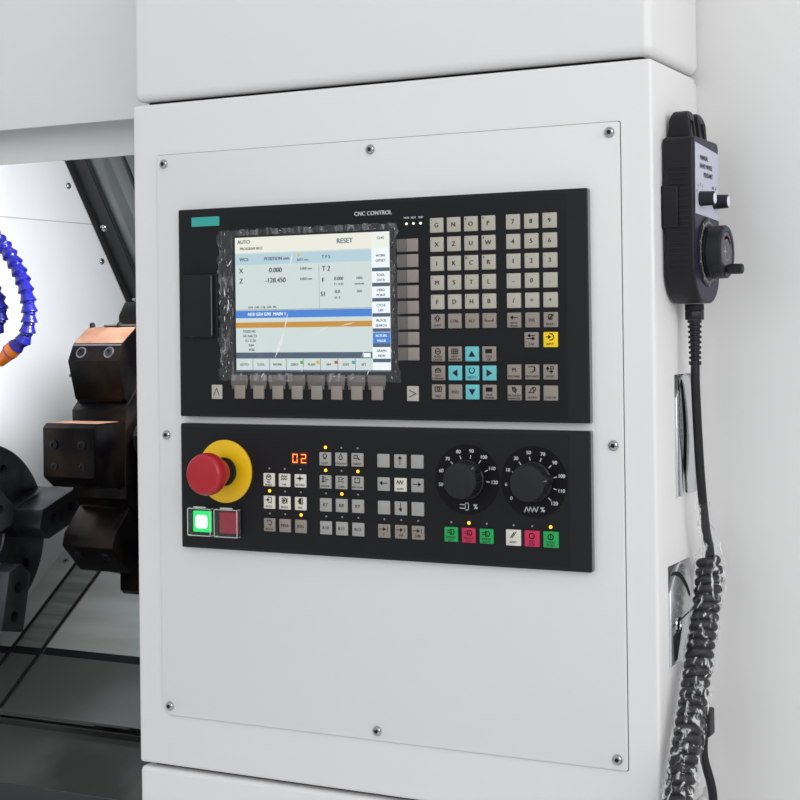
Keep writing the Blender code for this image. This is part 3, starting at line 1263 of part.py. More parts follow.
def panel_plate():
    """Thin plate that carries the display unit and the control panel, with its dome screws."""
    left = COLUMN_LEFT + PLATE_LEFT_MARGIN
    right = left + PLATE_WIDTH
    top = COLUMN_TOP - PLATE_TOP_MARGIN
    low = top - PLATE_HEIGHT
    outline = [(left, low + PLATE_CHAMFER), (left + PLATE_CHAMFER, low), (right, low), (right, top),
               (left, top)]
    holes = [rectangle(*unit_back(DISPLAY_TOP, DISPLAY_HEIGHT, GAP)),
             rectangle(*unit_back(CONTROL_TOP, CONTROL_HEIGHT, GAP))]
    plate = slab("panel_plate", outline, -PLATE_FRONT - PLATE_THICKNESS, -PLATE_FRONT, FRONT_PLANE, holes)
    inset = PLATE_SCREW_INSET
    columns = (left + inset, (left + right) / 2, right - inset)
    rows = (low + inset, (low + top) / 2, top - inset)
    places = [(x, z, -PLATE_FRONT + PLATE_SCREW_HEIGHT / 2 - PLATE_THICKNESS / 4)
              for i, x in enumerate(columns) for j, z in enumerate(rows) if (i, j) != (1, 1)]
    screws = cylinders("plate_screws", places, PLATE_SCREW_RADIUS, PLATE_SCREW_HEIGHT + PLATE_THICKNESS / 2,
                       FRONT_PLANE, 10, PLATE_SCREW_RADIUS / 2)
    join(plate, screws)
    return finish(plate, WHITE_PAINT)


def unit_housing(name, top, height):
    """Bezel plate with the unit's rear body behind it."""
    bezel = box(name, (DISPLAY_LEFT, BEZEL_FRONT, top - height),
                (DISPLAY_LEFT + DISPLAY_WIDTH, BEZEL_BACK, top))
    x0, z0, x1, z1 = unit_back(top, height)
    rear = box(name + "_rear", (x0, BEZEL_BACK - BEZEL_DEPTH / 4, z0), (x1, BEZEL_BACK + UNIT_BACK_DEPTH, z1))
    round_edges(bezel, BEZEL_ROUND)
    return join(bezel, rear)


def key_block(name, xs, zs, top, width=KEY_SIZE, height=KEY_SIZE):
    """Rectangular keys standing proud of a bezel."""
    middle = BEZEL_FRONT - KEY_PROUD / 2 + KEY_SINK / 2
    places = [(DISPLAY_LEFT + x, middle, top - z) for x in xs for z in zs]
    return boxes(name, places, (width, KEY_PROUD + KEY_SINK, height))


def series(start, pitch, count):
    """Evenly spaced values."""
    return [start + pitch * i for i in range(count)]


def display_housing():
    """Display unit with its screen pocket, cover pocket and keys."""
    unit = unit_housing("display_housing", DISPLAY_TOP, DISPLAY_HEIGHT)
    screen = box("screen_pocket", (DISPLAY_LEFT + SCREEN_LEFT - GAP, BEZEL_FRONT - OVERRUN,
                                   DISPLAY_TOP - SCREEN_TOP - SCREEN_HEIGHT - GAP),
                 (DISPLAY_LEFT + SCREEN_LEFT + SCREEN_WIDTH + GAP, BEZEL_FRONT + SCREEN_RECESS,
                  DISPLAY_TOP - SCREEN_TOP + GAP))
    flap = box("flap_pocket", (DISPLAY_LEFT + FLAP_LEFT - GAP, BEZEL_FRONT - OVERRUN,
                               DISPLAY_TOP - FLAP_TOP - FLAP_HEIGHT - GAP),
               (DISPLAY_LEFT + FLAP_LEFT + FLAP_WIDTH + GAP, BEZEL_FRONT + FLAP_POCKET,
                DISPLAY_TOP - FLAP_TOP + GAP))
    cut(unit, screen, flap)
    letters = series(LETTER_X, KEY_PITCH_X, LETTER_COLUMN_COUNT)
    numbers = series(NUMBER_X, KEY_PITCH_X, NUMBER_COLUMN_COUNT)
    rows = series(LETTER_Z, KEY_PITCH_Z, LETTER_ROW_COUNT)
    last_row = LETTER_Z + KEY_PITCH_Z * LETTER_ROW_COUNT
    small = KEY_SIZE * 4 / 5
    join(unit,
         key_block("letter_keys", letters, rows, DISPLAY_TOP),
         key_block("number_keys", numbers, rows, DISPLAY_TOP),
         key_block("last_keys", numbers[-LAST_KEY_COUNT:], [last_row], DISPLAY_TOP),
         key_block("cursor_keys", letters, series(CURSOR_Z, KEY_PITCH_X, CURSOR_ROW_COUNT), DISPLAY_TOP),
         key_block("page_keys", numbers, series(PAGE_Z, KEY_PITCH_Z, PAGE_ROW_COUNT), DISPLAY_TOP),
         key_block("soft_keys", series(SOFT_KEY_X, SOFT_KEY_PITCH, SOFT_KEY_COUNT), [SOFT_KEY_Z],
                   DISPLAY_TOP, small, small),
         key_block("side_keys", [SIDE_KEY_X], series(SIDE_KEY_Z, SIDE_KEY_PITCH, SOFT_KEY_COUNT),
                   DISPLAY_TOP, SIDE_KEY_WIDTH, SIDE_KEY_HEIGHT),
         key_block("recall_keys", [RECALL_X, EXTEND_X], [RECALL_Z], DISPLAY_TOP, small, KEY_SIZE))
    return finish(unit, BLACK_PLASTIC)


def display_screen():
    """Screen glass in its pocket."""
    back = BEZEL_FRONT + SCREEN_RECESS - GAP
    glass = box("display_screen", (DISPLAY_LEFT + SCREEN_LEFT, back - SCREEN_GLASS,
                                   DISPLAY_TOP - SCREEN_TOP - SCREEN_HEIGHT),
                (DISPLAY_LEFT + SCREEN_LEFT + SCREEN_WIDTH, back, DISPLAY_TOP - SCREEN_TOP))
    return finish(glass, SCREEN_GLOW)


def display_flap():
    """Hinged cover over the card slot, with its grip rib."""
    left = DISPLAY_LEFT + FLAP_LEFT
    top = DISPLAY_TOP - FLAP_TOP
    proud = BEZEL_FRONT - FLAP_PROUD
    flap = box("display_flap", (left, proud, top - FLAP_HEIGHT),
               (left + FLAP_WIDTH, BEZEL_FRONT + FLAP_POCKET - GAP, top))
    rib_right = left + FLAP_WIDTH - FLAP_RIB_INSET
    rib = box("flap_rib", (rib_right - FLAP_RIB, proud - FLAP_RIB, top - FLAP_HEIGHT),
              (rib_right, proud + FLAP_PROUD / 2, top))
    join(flap, rib)
    return finish(set_pivot(flap, (left, proud, top - FLAP_HEIGHT)), BLACK_PLASTIC)


# Control panel


def facing(x, z):
    """Space at a point of the bezel's front whose Z points at the operator."""
    return Matrix.Translation((DISPLAY_LEFT + x, BEZEL_FRONT, CONTROL_TOP - z)) @ TOWARDS_FRONT


def push_centres():
    """Centres of the two lit push buttons."""
    return [(PUSH_X, PUSH_Z), (PUSH_X + PUSH_PITCH, PUSH_Z)]


def motion_keys():
    """Centres of the six keys under the knobs; the last three travel."""
    first = series(MOTION_KEY_X, MOTION_KEY_PITCH, KEYPAD_COLUMN_COUNT)
    second = series(MOTION_KEY_X + MOTION_KEY_GAP, MOTION_KEY_PITCH, KEYPAD_COLUMN_COUNT)
    return first, second


def control_housing():
    """Control panel with its fixed keys, button frames and bores."""
    unit = unit_housing("control_housing", CONTROL_TOP, CONTROL_HEIGHT)
    rows = series(KEYPAD_Z, KEYPAD_PITCH_Z, KEYPAD_ROW_COUNT)
    first, second = motion_keys()
    frames = boxes("button_frames", [(DISPLAY_LEFT + x, BEZEL_FRONT - PUSH_FRAME_PROUD / 2 + KEY_SINK / 2,
                                      CONTROL_TOP - z) for x, z in push_centres()],
                   (PUSH_FRAME, PUSH_FRAME_PROUD + KEY_SINK, PUSH_FRAME))
    join(unit,
         key_block("keypad_a", series(KEYPAD_A_X, KEYPAD_A_PITCH, KEYPAD_COLUMN_COUNT), rows[1:],
                   CONTROL_TOP),
         key_block("keypad_b", series(KEYPAD_B_X, KEYPAD_PITCH, KEYPAD_COLUMN_COUNT), rows, CONTROL_TOP),
         key_block("keypad_c", series(KEYPAD_C_X, KEYPAD_PITCH, KEYPAD_COLUMN_COUNT), rows, CONTROL_TOP),
         key_block("spindle_keys", first, [MOTION_KEY_Z], CONTROL_TOP), frames)
    depth = 2 * (BEZEL_DEPTH + PUSH_LENGTH)
    cut(unit,
        boxes("button_pockets", [(DISPLAY_LEFT + x, BEZEL_FRONT, CONTROL_TOP - z) for x, z in push_centres()],
              (PUSH_SIZE + 2 * GAP, depth, PUSH_SIZE + 2 * GAP)),
        boxes("key_pockets", [(DISPLAY_LEFT + x, BEZEL_FRONT, CONTROL_TOP - MOTION_KEY_Z) for x in second],
              (KEY_SIZE + 2 * GAP, 2 * (TRAVEL_KEY_LENGTH + TRAVEL_KEY_TRAVEL), KEY_SIZE + 2 * GAP)),
        cylinders("estop_bore", [(0.0, 0.0, 0.0)], ESTOP_HOLE_RADIUS, depth, facing(ESTOP_X, ESTOP_Z),
                  ESTOP_STEPS),
        cylinders("spindle_knob_bore", [(0.0, 0.0, 0.0)], bore_radius(KNOB_SHAFT_RADIUS, KNOB_STEPS), depth,
                  facing(SPINDLE_KNOB_X, KNOB_Z), KNOB_STEPS),
        cylinders("feed_knob_bore", [(0.0, 0.0, 0.0)], bore_radius(KNOB_SHAFT_RADIUS, KNOB_STEPS), depth,
                  facing(FEED_KNOB_X, KNOB_Z), KNOB_STEPS))
    return finish(unit, BLACK_PLASTIC)


def estop_ring():
    """Yellow disc under the emergency stop."""
    outline = circle((0.0, 0.0), ESTOP_RING_RADIUS, ESTOP_STEPS)
    ring = slab("estop_ring", outline, GAP, GAP + ESTOP_RING_THICKNESS, facing(ESTOP_X, ESTOP_Z),
                [circle((0.0, 0.0), ESTOP_HOLE_RADIUS, ESTOP_STEPS)])
    return finish(ring, YELLOW_PLASTIC)


def estop_button():
    """Red mushroom head on its stem."""
    seat = ESTOP_RING_THICKNESS + 2 * GAP
    head = seat + ESTOP_STEM_LENGTH
    tip = head + ESTOP_HEAD_LENGTH
    radius = ESTOP_HEAD_RADIUS
    rim = ESTOP_HEAD_LENGTH / 4
    profile = [(0.0, tip), (radius * 3 / 4, tip), (radius - GAP * 4, tip - rim / 2), (radius, tip - rim),
               (radius, head + rim), (radius * 3 / 4, head), (ESTOP_STEM_RADIUS, head),
               (ESTOP_STEM_RADIUS, -BEZEL_DEPTH), (0.0, -BEZEL_DEPTH)]
    return finish(turned("estop_button", profile, facing(ESTOP_X, ESTOP_Z), ESTOP_STEPS), RED_PLASTIC)


def push_button(name, centre, look):
    """Lit square button in its frame."""
    x, z = DISPLAY_LEFT + centre[0], CONTROL_TOP - centre[1]
    front = BEZEL_FRONT - PUSH_PROUD
    half = PUSH_SIZE / 2
    button = box(name, (x - half, front, z - half), (x + half, front + PUSH_LENGTH, z + half))
    return finish(set_pivot(button, (x, front, z)), look)


def push_guard(name, centre):
    """Clear hood over a push button, hinged along its top."""
    x, z = DISPLAY_LEFT + centre[0], CONTROL_TOP - centre[1]
    back = BEZEL_FRONT - PUSH_FRAME_PROUD - GAP
    half = HOOD_SIZE / 2
    hood = box(name, (x - half, back - HOOD_DEPTH, z - half), (x + half, back, z + half))
    inner = half - HOOD_WALL
    hollow = box(name + "_hollow", (x - inner, back - HOOD_DEPTH + HOOD_WALL, z - inner),
                 (x + inner, back + OVERRUN, z + inner))
    cut(hood, hollow)
    return finish(set_pivot(hood, (x, back, z + half)), GLASS)


def travel_key(name, x, look):
    """Coloured key that travels in its pocket."""
    half = KEY_SIZE / 2
    middle = DISPLAY_LEFT + x
    z = CONTROL_TOP - MOTION_KEY_Z
    front = BEZEL_FRONT - KEY_PROUD
    key = box(name, (middle - half, front, z - half), (middle + half, front + TRAVEL_KEY_LENGTH, z + half))
    return finish(set_pivot(key, (middle, front, z)), look)


def override_knob(name, x):
    """Rotary knob with a pointer ridge and its shaft in the panel."""
    space = facing(x, KNOB_Z)
    tip = KNOB_LENGTH
    profile = [(0.0, tip), (KNOB_RADIUS - 2 * KNOB_TAPER, tip), (KNOB_RADIUS - KNOB_TAPER, tip - KNOB_TAPER),
               (KNOB_RADIUS, GAP), (KNOB_SHAFT_RADIUS, GAP),
               (KNOB_SHAFT_RADIUS, -KNOB_SHAFT_LENGTH), (0.0, -KNOB_SHAFT_LENGTH)]
    knob = turned(name, profile, space, KNOB_STEPS)
    ridge = box(name + "_pointer", (-KNOB_POINTER / 2, 0.0, tip - KNOB_TAPER),
                (KNOB_POINTER / 2, KNOB_RADIUS - 2 * KNOB_TAPER, tip + KNOB_POINTER / 2), space)
    join(knob, ridge)
    return finish(knob, BLACK_PLASTIC)


# Pendant

PENDANT_FRONT_Y = COLUMN_FRONT + PENDANT_SETBACK
PENDANT_MIDDLE_Y = PENDANT_FRONT_Y + PENDANT_WIDTH / 2
PENDANT_TOP = COLUMN_TOP - PENDANT_TOP_DROP
PENDANT_LOW = PENDANT_TOP - PENDANT_HEIGHT
PENDANT_BACK = COLUMN_RIGHT + GAP
PENDANT_FACE = PENDANT_BACK + PENDANT_THICKNESS


def round_rectangle(y0, z0, y1, z1, low_radius, top_radius):
    """Rectangle with one radius at the bottom corners and another at the top."""
    quarter = math.pi / 2
    return (arc((y0 + low_radius, z0 + low_radius), low_radius, 2 * quarter, 3 * quarter, ARC_STEPS)
            + arc((y1 - low_radius, z0 + low_radius), low_radius, 3 * quarter, 4 * quarter, ARC_STEPS)
            + arc((y1 - top_radius, z1 - top_radius), top_radius, 0.0, quarter, ARC_STEPS)
            + arc((y0 + top_radius, z1 - top_radius), top_radius, quarter, 2 * quarter, ARC_STEPS))


def pendant_case():
    """Pendant body with its hanging loop and the wheel's scale ring."""
    outline = round_rectangle(PENDANT_FRONT_Y, PENDANT_LOW, PENDANT_FRONT_Y + PENDANT_WIDTH, PENDANT_TOP,
                              PENDANT_BOTTOM_ROUND, PENDANT_TOP_ROUND)
    case = slab("pendant_case", outline, PENDANT_BACK, PENDANT_FACE, SIDE_PLANE)
    half = LOOP_WIDTH / 2
    top = PENDANT_TOP + LOOP_RISE
    loop = slab("pendant_loop", round_rectangle(PENDANT_MIDDLE_Y - half, PENDANT_TOP - LOOP_WALL,
                                                PENDANT_MIDDLE_Y + half, top, GAP * 10, half / 2),
                PENDANT_BACK, PENDANT_BACK + LOOP_THICKNESS, SIDE_PLANE,
                [round_rectangle(PENDANT_MIDDLE_Y - half + LOOP_WALL, PENDANT_TOP,
                                 PENDANT_MIDDLE_Y + half - LOOP_WALL, top - LOOP_WALL, GAP * 10,
                                 half / 4)])
    ring = cylinders("wheel_scale_ring", [(-PENDANT_TOP + WHEEL_DROP, PENDANT_MIDDLE_Y,
                                           PENDANT_FACE + WHEEL_RING_PROUD / 2 - OVERRUN / 2)],
                     WHEEL_RING_RADIUS, WHEEL_RING_PROUD + OVERRUN, ALONG_X, 32)
    join(case, loop, ring)
    return finish(case, BLACK_PLASTIC)


def pendant_handwheel():
    """Pulse wheel with its turning grip."""
    centre = Vector((PENDANT_FACE + WHEEL_RING_PROUD + GAP, PENDANT_MIDDLE_Y, PENDANT_TOP - WHEEL_DROP))
    space = Matrix.Translation(centre) @ ALONG_X
    rim = WHEEL_RADIUS / 10
    wheel = turned("pendant_handwheel", [(0.0, WHEEL_LENGTH), (WHEEL_RADIUS - rim, WHEEL_LENGTH),
                                         (WHEEL_RADIUS, WHEEL_LENGTH - rim), (WHEEL_RADIUS, 0.0), (0.0, 0.0)],
                   space, KNOB_STEPS)
    place = (WHEEL_GRIP_OFFSET * math.cos(WHEEL_GRIP_ANGLE), WHEEL_GRIP_OFFSET * math.sin(WHEEL_GRIP_ANGLE),
             WHEEL_LENGTH + WHEEL_GRIP_LENGTH / 2 - rim)
    grip = cylinders("wheel_grip", [place], WHEEL_GRIP_RADIUS, WHEEL_GRIP_LENGTH + rim, space, 12)
    join(wheel, grip)
    return finish(wheel, BLACK_PLASTIC)


def pendant_selector(name, y):
    """Small rotary selector on the pendant's face."""
    space = Matrix.Translation((PENDANT_FACE + GAP, y, PENDANT_TOP - SELECTOR_DROP)) @ ALONG_X
    rim = SELECTOR_RADIUS / 8
    profile = [(0.0, SELECTOR_LENGTH), (SELECTOR_RADIUS - rim, SELECTOR_LENGTH),
               (SELECTOR_RADIUS, SELECTOR_LENGTH - rim), (SELECTOR_RADIUS, 0.0), (0.0, 0.0)]
    knob = turned(name, profile, space, KNOB_STEPS)
    ridge = box(name + "_ridge", (-SELECTOR_RADIUS / 4, 0.0, SELECTOR_LENGTH / 2),
                (SELECTOR_RADIUS / 4, SELECTOR_RADIUS + rim, SELECTOR_LENGTH - rim), space)
    join(knob, ridge)
    return finish(knob, BLACK_PLASTIC)


CORD_X = PENDANT_BACK + PENDANT_THICKNESS / 2
GLAND_TOP = PENDANT_LOW - GAP
RELIEF_TIP = GLAND_TOP - GLAND_LENGTH - RELIEF_LENGTH
GLAND_Y = PENDANT_MIDDLE_Y + GLAND_OFFSET


def pendant_gland():
    """Cable gland and ribbed strain relief under the pendant."""
    profile = [(0.0, GLAND_TOP), (GLAND_RADIUS, GLAND_TOP), (GLAND_RADIUS, GLAND_TOP - GLAND_LENGTH)]
    pitch = RELIEF_LENGTH / RELIEF_RIB_COUNT
    for i in range(RELIEF_RIB_COUNT):
        radius = RELIEF_RADIUS + (RELIEF_TIP_RADIUS - RELIEF_RADIUS) * i / RELIEF_RIB_COUNT
        z = GLAND_TOP - GLAND_LENGTH - pitch * i
        profile += [(radius, z), (radius, z - pitch / 2), (radius - RELIEF_GROOVE, z - pitch / 2),
                    (radius - RELIEF_GROOVE, z - pitch)]
    profile.append((0.0, RELIEF_TIP))
    space = Matrix.Translation((CORD_X, GLAND_Y, 0.0))
    return finish(turned("pendant_gland", profile, space, 12), RUBBER)


# How far outside the column, behind its front and below its top the cord runs, in shares of its height
CORD_SHARES = [(0.0220, 0.1045, 0.3983), (0.0220, 0.1045, 0.4301), (0.0230, 0.1114, 0.5100),
               (0.0246, 0.1175, 0.5668), (0.0269, 0.1275, 0.6221), (0.0281, 0.1413, 0.6559),
               (0.0281, 0.1290, 0.7035), (0.0281, 0.1029, 0.7527), (0.0281, 0.0461, 0.8479),
               (0.0276, -0.0077, 0.9339), (0.0269, -0.0353, 1.0138), (0.0261, -0.0399, 1.0906),
               (0.0253, -0.0200, 1.1598), (0.0253, 0.0246, 1.2058), (0.0253, 0.0799, 1.2104),
               (0.0253, 0.1275, 1.1736), (0.0253, 0.1521, 1.1137), (0.0246, 0.1567, 1.0445),
               (0.0230, 0.1551, 0.9831), (0.0123, 0.1536, 0.9370), (0.0123, 0.1536, 0.9068)]
COIL_FIRST = 5
COIL_LAST = 14


def cord_routes():
    """Points of the lead, the coil and the tail, parted by a small gap."""
    route = [Vector((COLUMN_RIGHT + out * COLUMN_HEIGHT, COLUMN_FRONT + back * COLUMN_HEIGHT,
                     COLUMN_TOP - drop * COLUMN_HEIGHT)) for out, back, drop in CORD_SHARES]
    route[0] = Vector((CORD_X, GLAND_Y, RELIEF_TIP - GAP))
    route[-1] = Vector((COLUMN_RIGHT + OUTLET_DEPTH / 2, OUTLET_Y, OUTLET_LOW - GAP))
    fine = smooth_route(route, CORD_STEP)
    pieces = []
    start = []
    done = 0
    for split in (COIL_FIRST, COIL_LAST):
        i = min(range(len(fine)), key=lambda index: (fine[index] - route[split]).length)
        ahead = (fine[i + 1] - fine[i - 1]).normalized()
        pieces.append(start + fine[done:i] + [fine[i] - ahead * CORD_JOIN, fine[i] - ahead * GAP / 2])
        start = [fine[i] + ahead * GAP / 2, fine[i] + ahead * CORD_JOIN]
        done = i + 1
    pieces.append(start + fine[done:])
    return pieces


def cord_piece(name, points, radius):
    """One stretch of the pendant's cord."""
    return finish(as_mesh(tube(name, points, radius)), RUBBER)


# Latches


def latch_outline(front, drop, width, height, clearance=0.0):
    """Latch outline in the side face: straight sides under an arched top."""
    y0 = COLUMN_FRONT + front - clearance
    y1 = COLUMN_FRONT + front + width + clearance
    z1 = COLUMN_TOP - drop + clearance
    z0 = COLUMN_TOP - drop - height - clearance
    rise = width * LATCH_ARCH_SHARE
    top = [(y1 + (y0 - y1) * i / LATCH_STEPS, z1 - rise * (1 - math.sin(math.pi * i / LATCH_STEPS)))
           for i in range(LATCH_STEPS + 1)]
    return [(y0, z0), (y1, z0)] + top


def latch(name, front, drop, width, height):
    """Chrome latch paddle; it is pushed in and turns about the top of its inner face."""
    outer = COLUMN_RIGHT + LATCH_PROUD
    inner = outer - LATCH_THICKNESS
    paddle = slab(name, latch_outline(front, drop, width, height), inner, outer, SIDE_PLANE)
    pivot = (inner, COLUMN_FRONT + front + width / 2, COLUMN_TOP - drop)
    return finish(set_pivot(paddle, pivot), CHROME)


def build():
    """Make every piece of the lathe."""
    base_frame()
    slant_bed()
    headstock()
    spindle()
    chuck()
    for i, angle in enumerate(jaw_angles()):
        chuck_jaw(i + 1, angle)
    spindle_motor()
    motor_pulley()
    drive_belt()
    z_saddle()
    way_cover("way_cover_left", WORK_LEFT + LEFT_COVER_STEP, LEFT_SLIDE_LENGTH)
    way_cover("way_cover_right", WORK_LEFT + RIGHT_SLIDE_LEFT, RIGHT_COVER_LENGTH)
    x_slide()
    turret_disc()
    coolant_hose("coolant_hose_upper", UPPER_HOSE_SHARES)
    coolant_hose("coolant_hose_lower", LOWER_HOSE_SHARES)
    headstock_wall()
    left_cover()
    right_cover()
    front_fascia()
    lower_apron()
    chip_chute()
    rear_guard()
    roof_cover()
    rear_cover()
    cabinet_door()
    sliding_door()
    door_window()
    door_handle()
    column_shell()
    column_cap()
    column_plinth()
    panel_plate()
    display_housing()
    display_screen()
    display_flap()
    control_housing()
    estop_ring()
    estop_button()
    start, stop = push_centres()
    push_button("start_button", start, GREEN_PLASTIC)
    push_button("stop_button", stop, RED_PLASTIC)
    push_guard("start_guard", start)
    push_guard("stop_guard", stop)
    override_knob("spindle_override_knob", SPINDLE_KNOB_X)
    override_knob("feed_override_knob", FEED_KNOB_X)
    keys = motion_keys()[1]
    for name, x, look in zip(("reset_key", "feed_stop_key", "cycle_start_key"), keys,
                             (LIGHT_PLASTIC, RED_PLASTIC, GREEN_PLASTIC)):
        travel_key(name, x, look)
    pendant_case()
    pendant_handwheel()
    pendant_selector("pendant_axis_knob", PENDANT_FRONT_Y + SELECTOR_INSET)
    pendant_selector("pendant_step_knob", PENDANT_FRONT_Y + PENDANT_WIDTH - SELECTOR_INSET)
    pendant_gland()
    lead, coil, tail = cord_routes()
    cord_piece("cord_lead", lead, CORD_RADIUS)
    cord_piece("cord_coil", coil, COIL_RADIUS)
    cord_piece("cord_tail", tail, CORD_RADIUS)
    latch("latch_upper", LATCH_FRONT, LATCH_DROP, LATCH_WIDTH, LATCH_HEIGHT)
    latch("latch_lower", SWING_LATCH_FRONT, SWING_LATCH_DROP, SWING_LATCH_WIDTH, SWING_LATCH_HEIGHT)


build()
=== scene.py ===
# %% [markdown]
# # CNC turning lathe
# The looks of a slant-bed lathe with an operator's column, built on its CAD frame.
# Each part of the machine has a function that makes its pieces, called right after it.
# Lengths are in metres; the panel's own parts are measured in millimetres from the display unit's
# top-left corner, X to the right and Z down.

# %%
import math
import random

import bmesh
import bpy
from mathutils import Matrix, Vector, noise


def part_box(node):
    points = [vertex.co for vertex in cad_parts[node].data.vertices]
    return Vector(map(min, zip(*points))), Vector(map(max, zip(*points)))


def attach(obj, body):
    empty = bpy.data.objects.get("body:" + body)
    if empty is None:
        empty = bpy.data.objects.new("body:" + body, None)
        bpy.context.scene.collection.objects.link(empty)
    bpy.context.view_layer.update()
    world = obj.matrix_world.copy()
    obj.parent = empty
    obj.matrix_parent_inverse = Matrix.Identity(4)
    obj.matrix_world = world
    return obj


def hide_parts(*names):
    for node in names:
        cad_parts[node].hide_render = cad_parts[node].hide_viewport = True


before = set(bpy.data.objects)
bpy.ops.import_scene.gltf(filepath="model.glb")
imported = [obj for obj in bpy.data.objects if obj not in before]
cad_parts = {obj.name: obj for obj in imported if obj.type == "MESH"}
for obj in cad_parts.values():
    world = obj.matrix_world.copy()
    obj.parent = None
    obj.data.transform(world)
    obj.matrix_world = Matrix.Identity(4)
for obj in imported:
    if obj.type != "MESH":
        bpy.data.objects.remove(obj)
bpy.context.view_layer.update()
SCENE = bpy.context.scene
MM = 0.001
MACHINE = "machine"

# %% [markdown]
# ## Camera
# Seen from the operator's place, looking a little to the left at the column.

# %%
CAMERA_PLACE = Vector((1.15985, -1.93994, 1.32837))
CAMERA_TURN = math.radians(27.16)
CAMERA_TILT = math.radians(0.315)
CAMERA_ROLL = math.radians(0.699)


def add_camera():
    """Camera that looks along its turned Y axis, with a slightly lowered view."""
    lens = bpy.data.cameras.new("camera")
    lens.lens = 70.545
    lens.sensor_width = 36.0
    lens.shift_y = -0.1
    lens.clip_start = 0.02
    camera = bpy.data.objects.new("camera", lens)
    SCENE.collection.objects.link(camera)
    turned = (Matrix.Rotation(CAMERA_TURN, 4, "Z") @ Matrix.Rotation(CAMERA_TILT, 4, "X")
              @ Matrix.Rotation(CAMERA_ROLL, 4, "Y") @ Matrix.Rotation(math.pi / 2, 4, "X"))
    camera.matrix_world = Matrix.Translation(CAMERA_PLACE) @ turned
    SCENE.camera = camera


add_camera()
SCENE.view_settings.view_transform = "Standard"

# %% [markdown]
# ## Materials
# Colours are sRGB codes. `add` puts one node in a material and links or sets its inputs.

# %%


def srgb(code):
    """Linear colour of an sRGB code such as #d8d8d6."""
    parts = [int(code[i:i + 2], 16) / 255 for i in (1, 3, 5)]
    return [p / 12.92 if p <= 0.04045 else ((p + 0.055) / 1.055) ** 2.4 for p in parts] + [1.0]


def add(mat, kind, **inputs):
    """Add a node; an input is a value or another node's output, and a setting starts with set_."""
    made = mat.node_tree.nodes.new(kind)
    for name, value in inputs.items():
        if name.startswith("set_"):
            setattr(made, name[4:], value)
            continue
        socket = made.inputs[name.replace("_", " ")]
        if isinstance(value, bpy.types.NodeSocket):
            mat.node_tree.links.new(value, socket)
        else:
            socket.default_value = value
    return made


def material(name, colour, roughness=0.5, metallic=0.0, **more):
    """Principled material; more inputs are given by name with underscores."""
    mat = bpy.data.materials.new(name)
    mat.use_nodes = True
    shader = mat.node_tree.nodes["Principled BSDF"]
    values = {"Base Color": srgb(colour), "Roughness": roughness, "Metallic": metallic}
    values.update({key.replace("_", " "): value for key, value in more.items()})
    for key, value in values.items():
        shader.inputs[key].default_value = value
    mat.diffuse_color = srgb(colour)
    return mat


def object_coordinates(mat):
    """The piece's own coordinates."""
    return add(mat, "ShaderNodeTexCoord").outputs["Object"]


def bumpy(mat, scale, strength, distance=0.0004, detail=3.0):
    """Fine noise bump, such as powder coat or cast plastic."""
    grain = add(mat, "ShaderNodeTexNoise", Vector=object_coordinates(mat), Scale=scale, Detail=detail)
    bump = add(mat, "ShaderNodeBump", Height=grain.outputs["Fac"], Strength=strength, Distance=distance)
    shader = mat.node_tree.nodes["Principled BSDF"]
    mat.node_tree.links.new(bump.outputs["Normal"], shader.inputs["Normal"])
    return mat


def mottled(mat, dark, light, scale, low=0.4, high=0.6, stretch=(1, 1, 1)):
    """Base colour that wanders between two colours."""
    mapping = add(mat, "ShaderNodeMapping", Vector=object_coordinates(mat), Scale=stretch)
    cloud = add(mat, "ShaderNodeTexNoise", Vector=mapping.outputs["Vector"], Scale=scale, Detail=4.0)
    ramp = add(mat, "ShaderNodeValToRGB", Fac=cloud.outputs["Fac"])
    ramp.color_ramp.elements[0].position = low
    ramp.color_ramp.elements[0].color = srgb(dark)
    ramp.color_ramp.elements[1].position = high
    ramp.color_ramp.elements[1].color = srgb(light)
    shader = mat.node_tree.nodes["Principled BSDF"]
    mat.node_tree.links.new(ramp.outputs["Color"], shader.inputs["Base Color"])
    return mat


def glowing(name, colour, strength):
    """Material that gives its own light."""
    return material(name, "#000000", 0.4, Emission_Color=srgb(colour), Emission_Strength=strength)


def streaked_film(name, scale, stretch, low, high, clear, milky):
    """Thin clear film: nearly open, with milky streaks from noise that are painted sheen of its folds."""
    mat = material(name, "#f6f8fa", 0.14, IOR=1.5, Coat_Weight=0.6, Coat_Roughness=0.05)
    mapping = add(mat, "ShaderNodeMapping", Vector=object_coordinates(mat), Scale=stretch,
                  Rotation=(0.0, math.radians(38.0), 0.0))
    cloud = add(mat, "ShaderNodeTexNoise", Vector=mapping.outputs["Vector"], Scale=scale, Detail=3.0,
                Distortion=0.6)
    spread = add(mat, "ShaderNodeMapRange", Value=cloud.outputs["Fac"], From_Min=low, From_Max=high,
                 To_Min=clear, To_Max=milky)
    shader = mat.node_tree.nodes["Principled BSDF"]
    mat.node_tree.links.new(spread.outputs["Result"], shader.inputs["Alpha"])
    return mat


def zoned(mat, direction, level, colour):
    """Another colour beyond a level along a direction of the piece's own space."""
    along = add(mat, "ShaderNodeVectorMath", set_operation="DOT_PRODUCT", Vector=object_coordinates(mat))
    along.inputs[1].default_value = direction
    beyond = add(mat, "ShaderNodeMath", set_operation="GREATER_THAN")
    mat.node_tree.links.new(along.outputs["Value"], beyond.inputs[0])
    beyond.inputs[1].default_value = level
    mixed = add(mat, "ShaderNodeMixRGB", Fac=beyond.outputs["Value"], Color2=srgb(colour))
    base = mat.node_tree.nodes["Principled BSDF"].inputs["Base Color"]
    if base.is_linked:
        mat.node_tree.links.new(base.links[0].from_socket, mixed.inputs["Color1"])
    else:
        mixed.inputs["Color1"].default_value = base.default_value
    mat.node_tree.links.new(mixed.outputs["Color"], base)
    return mat
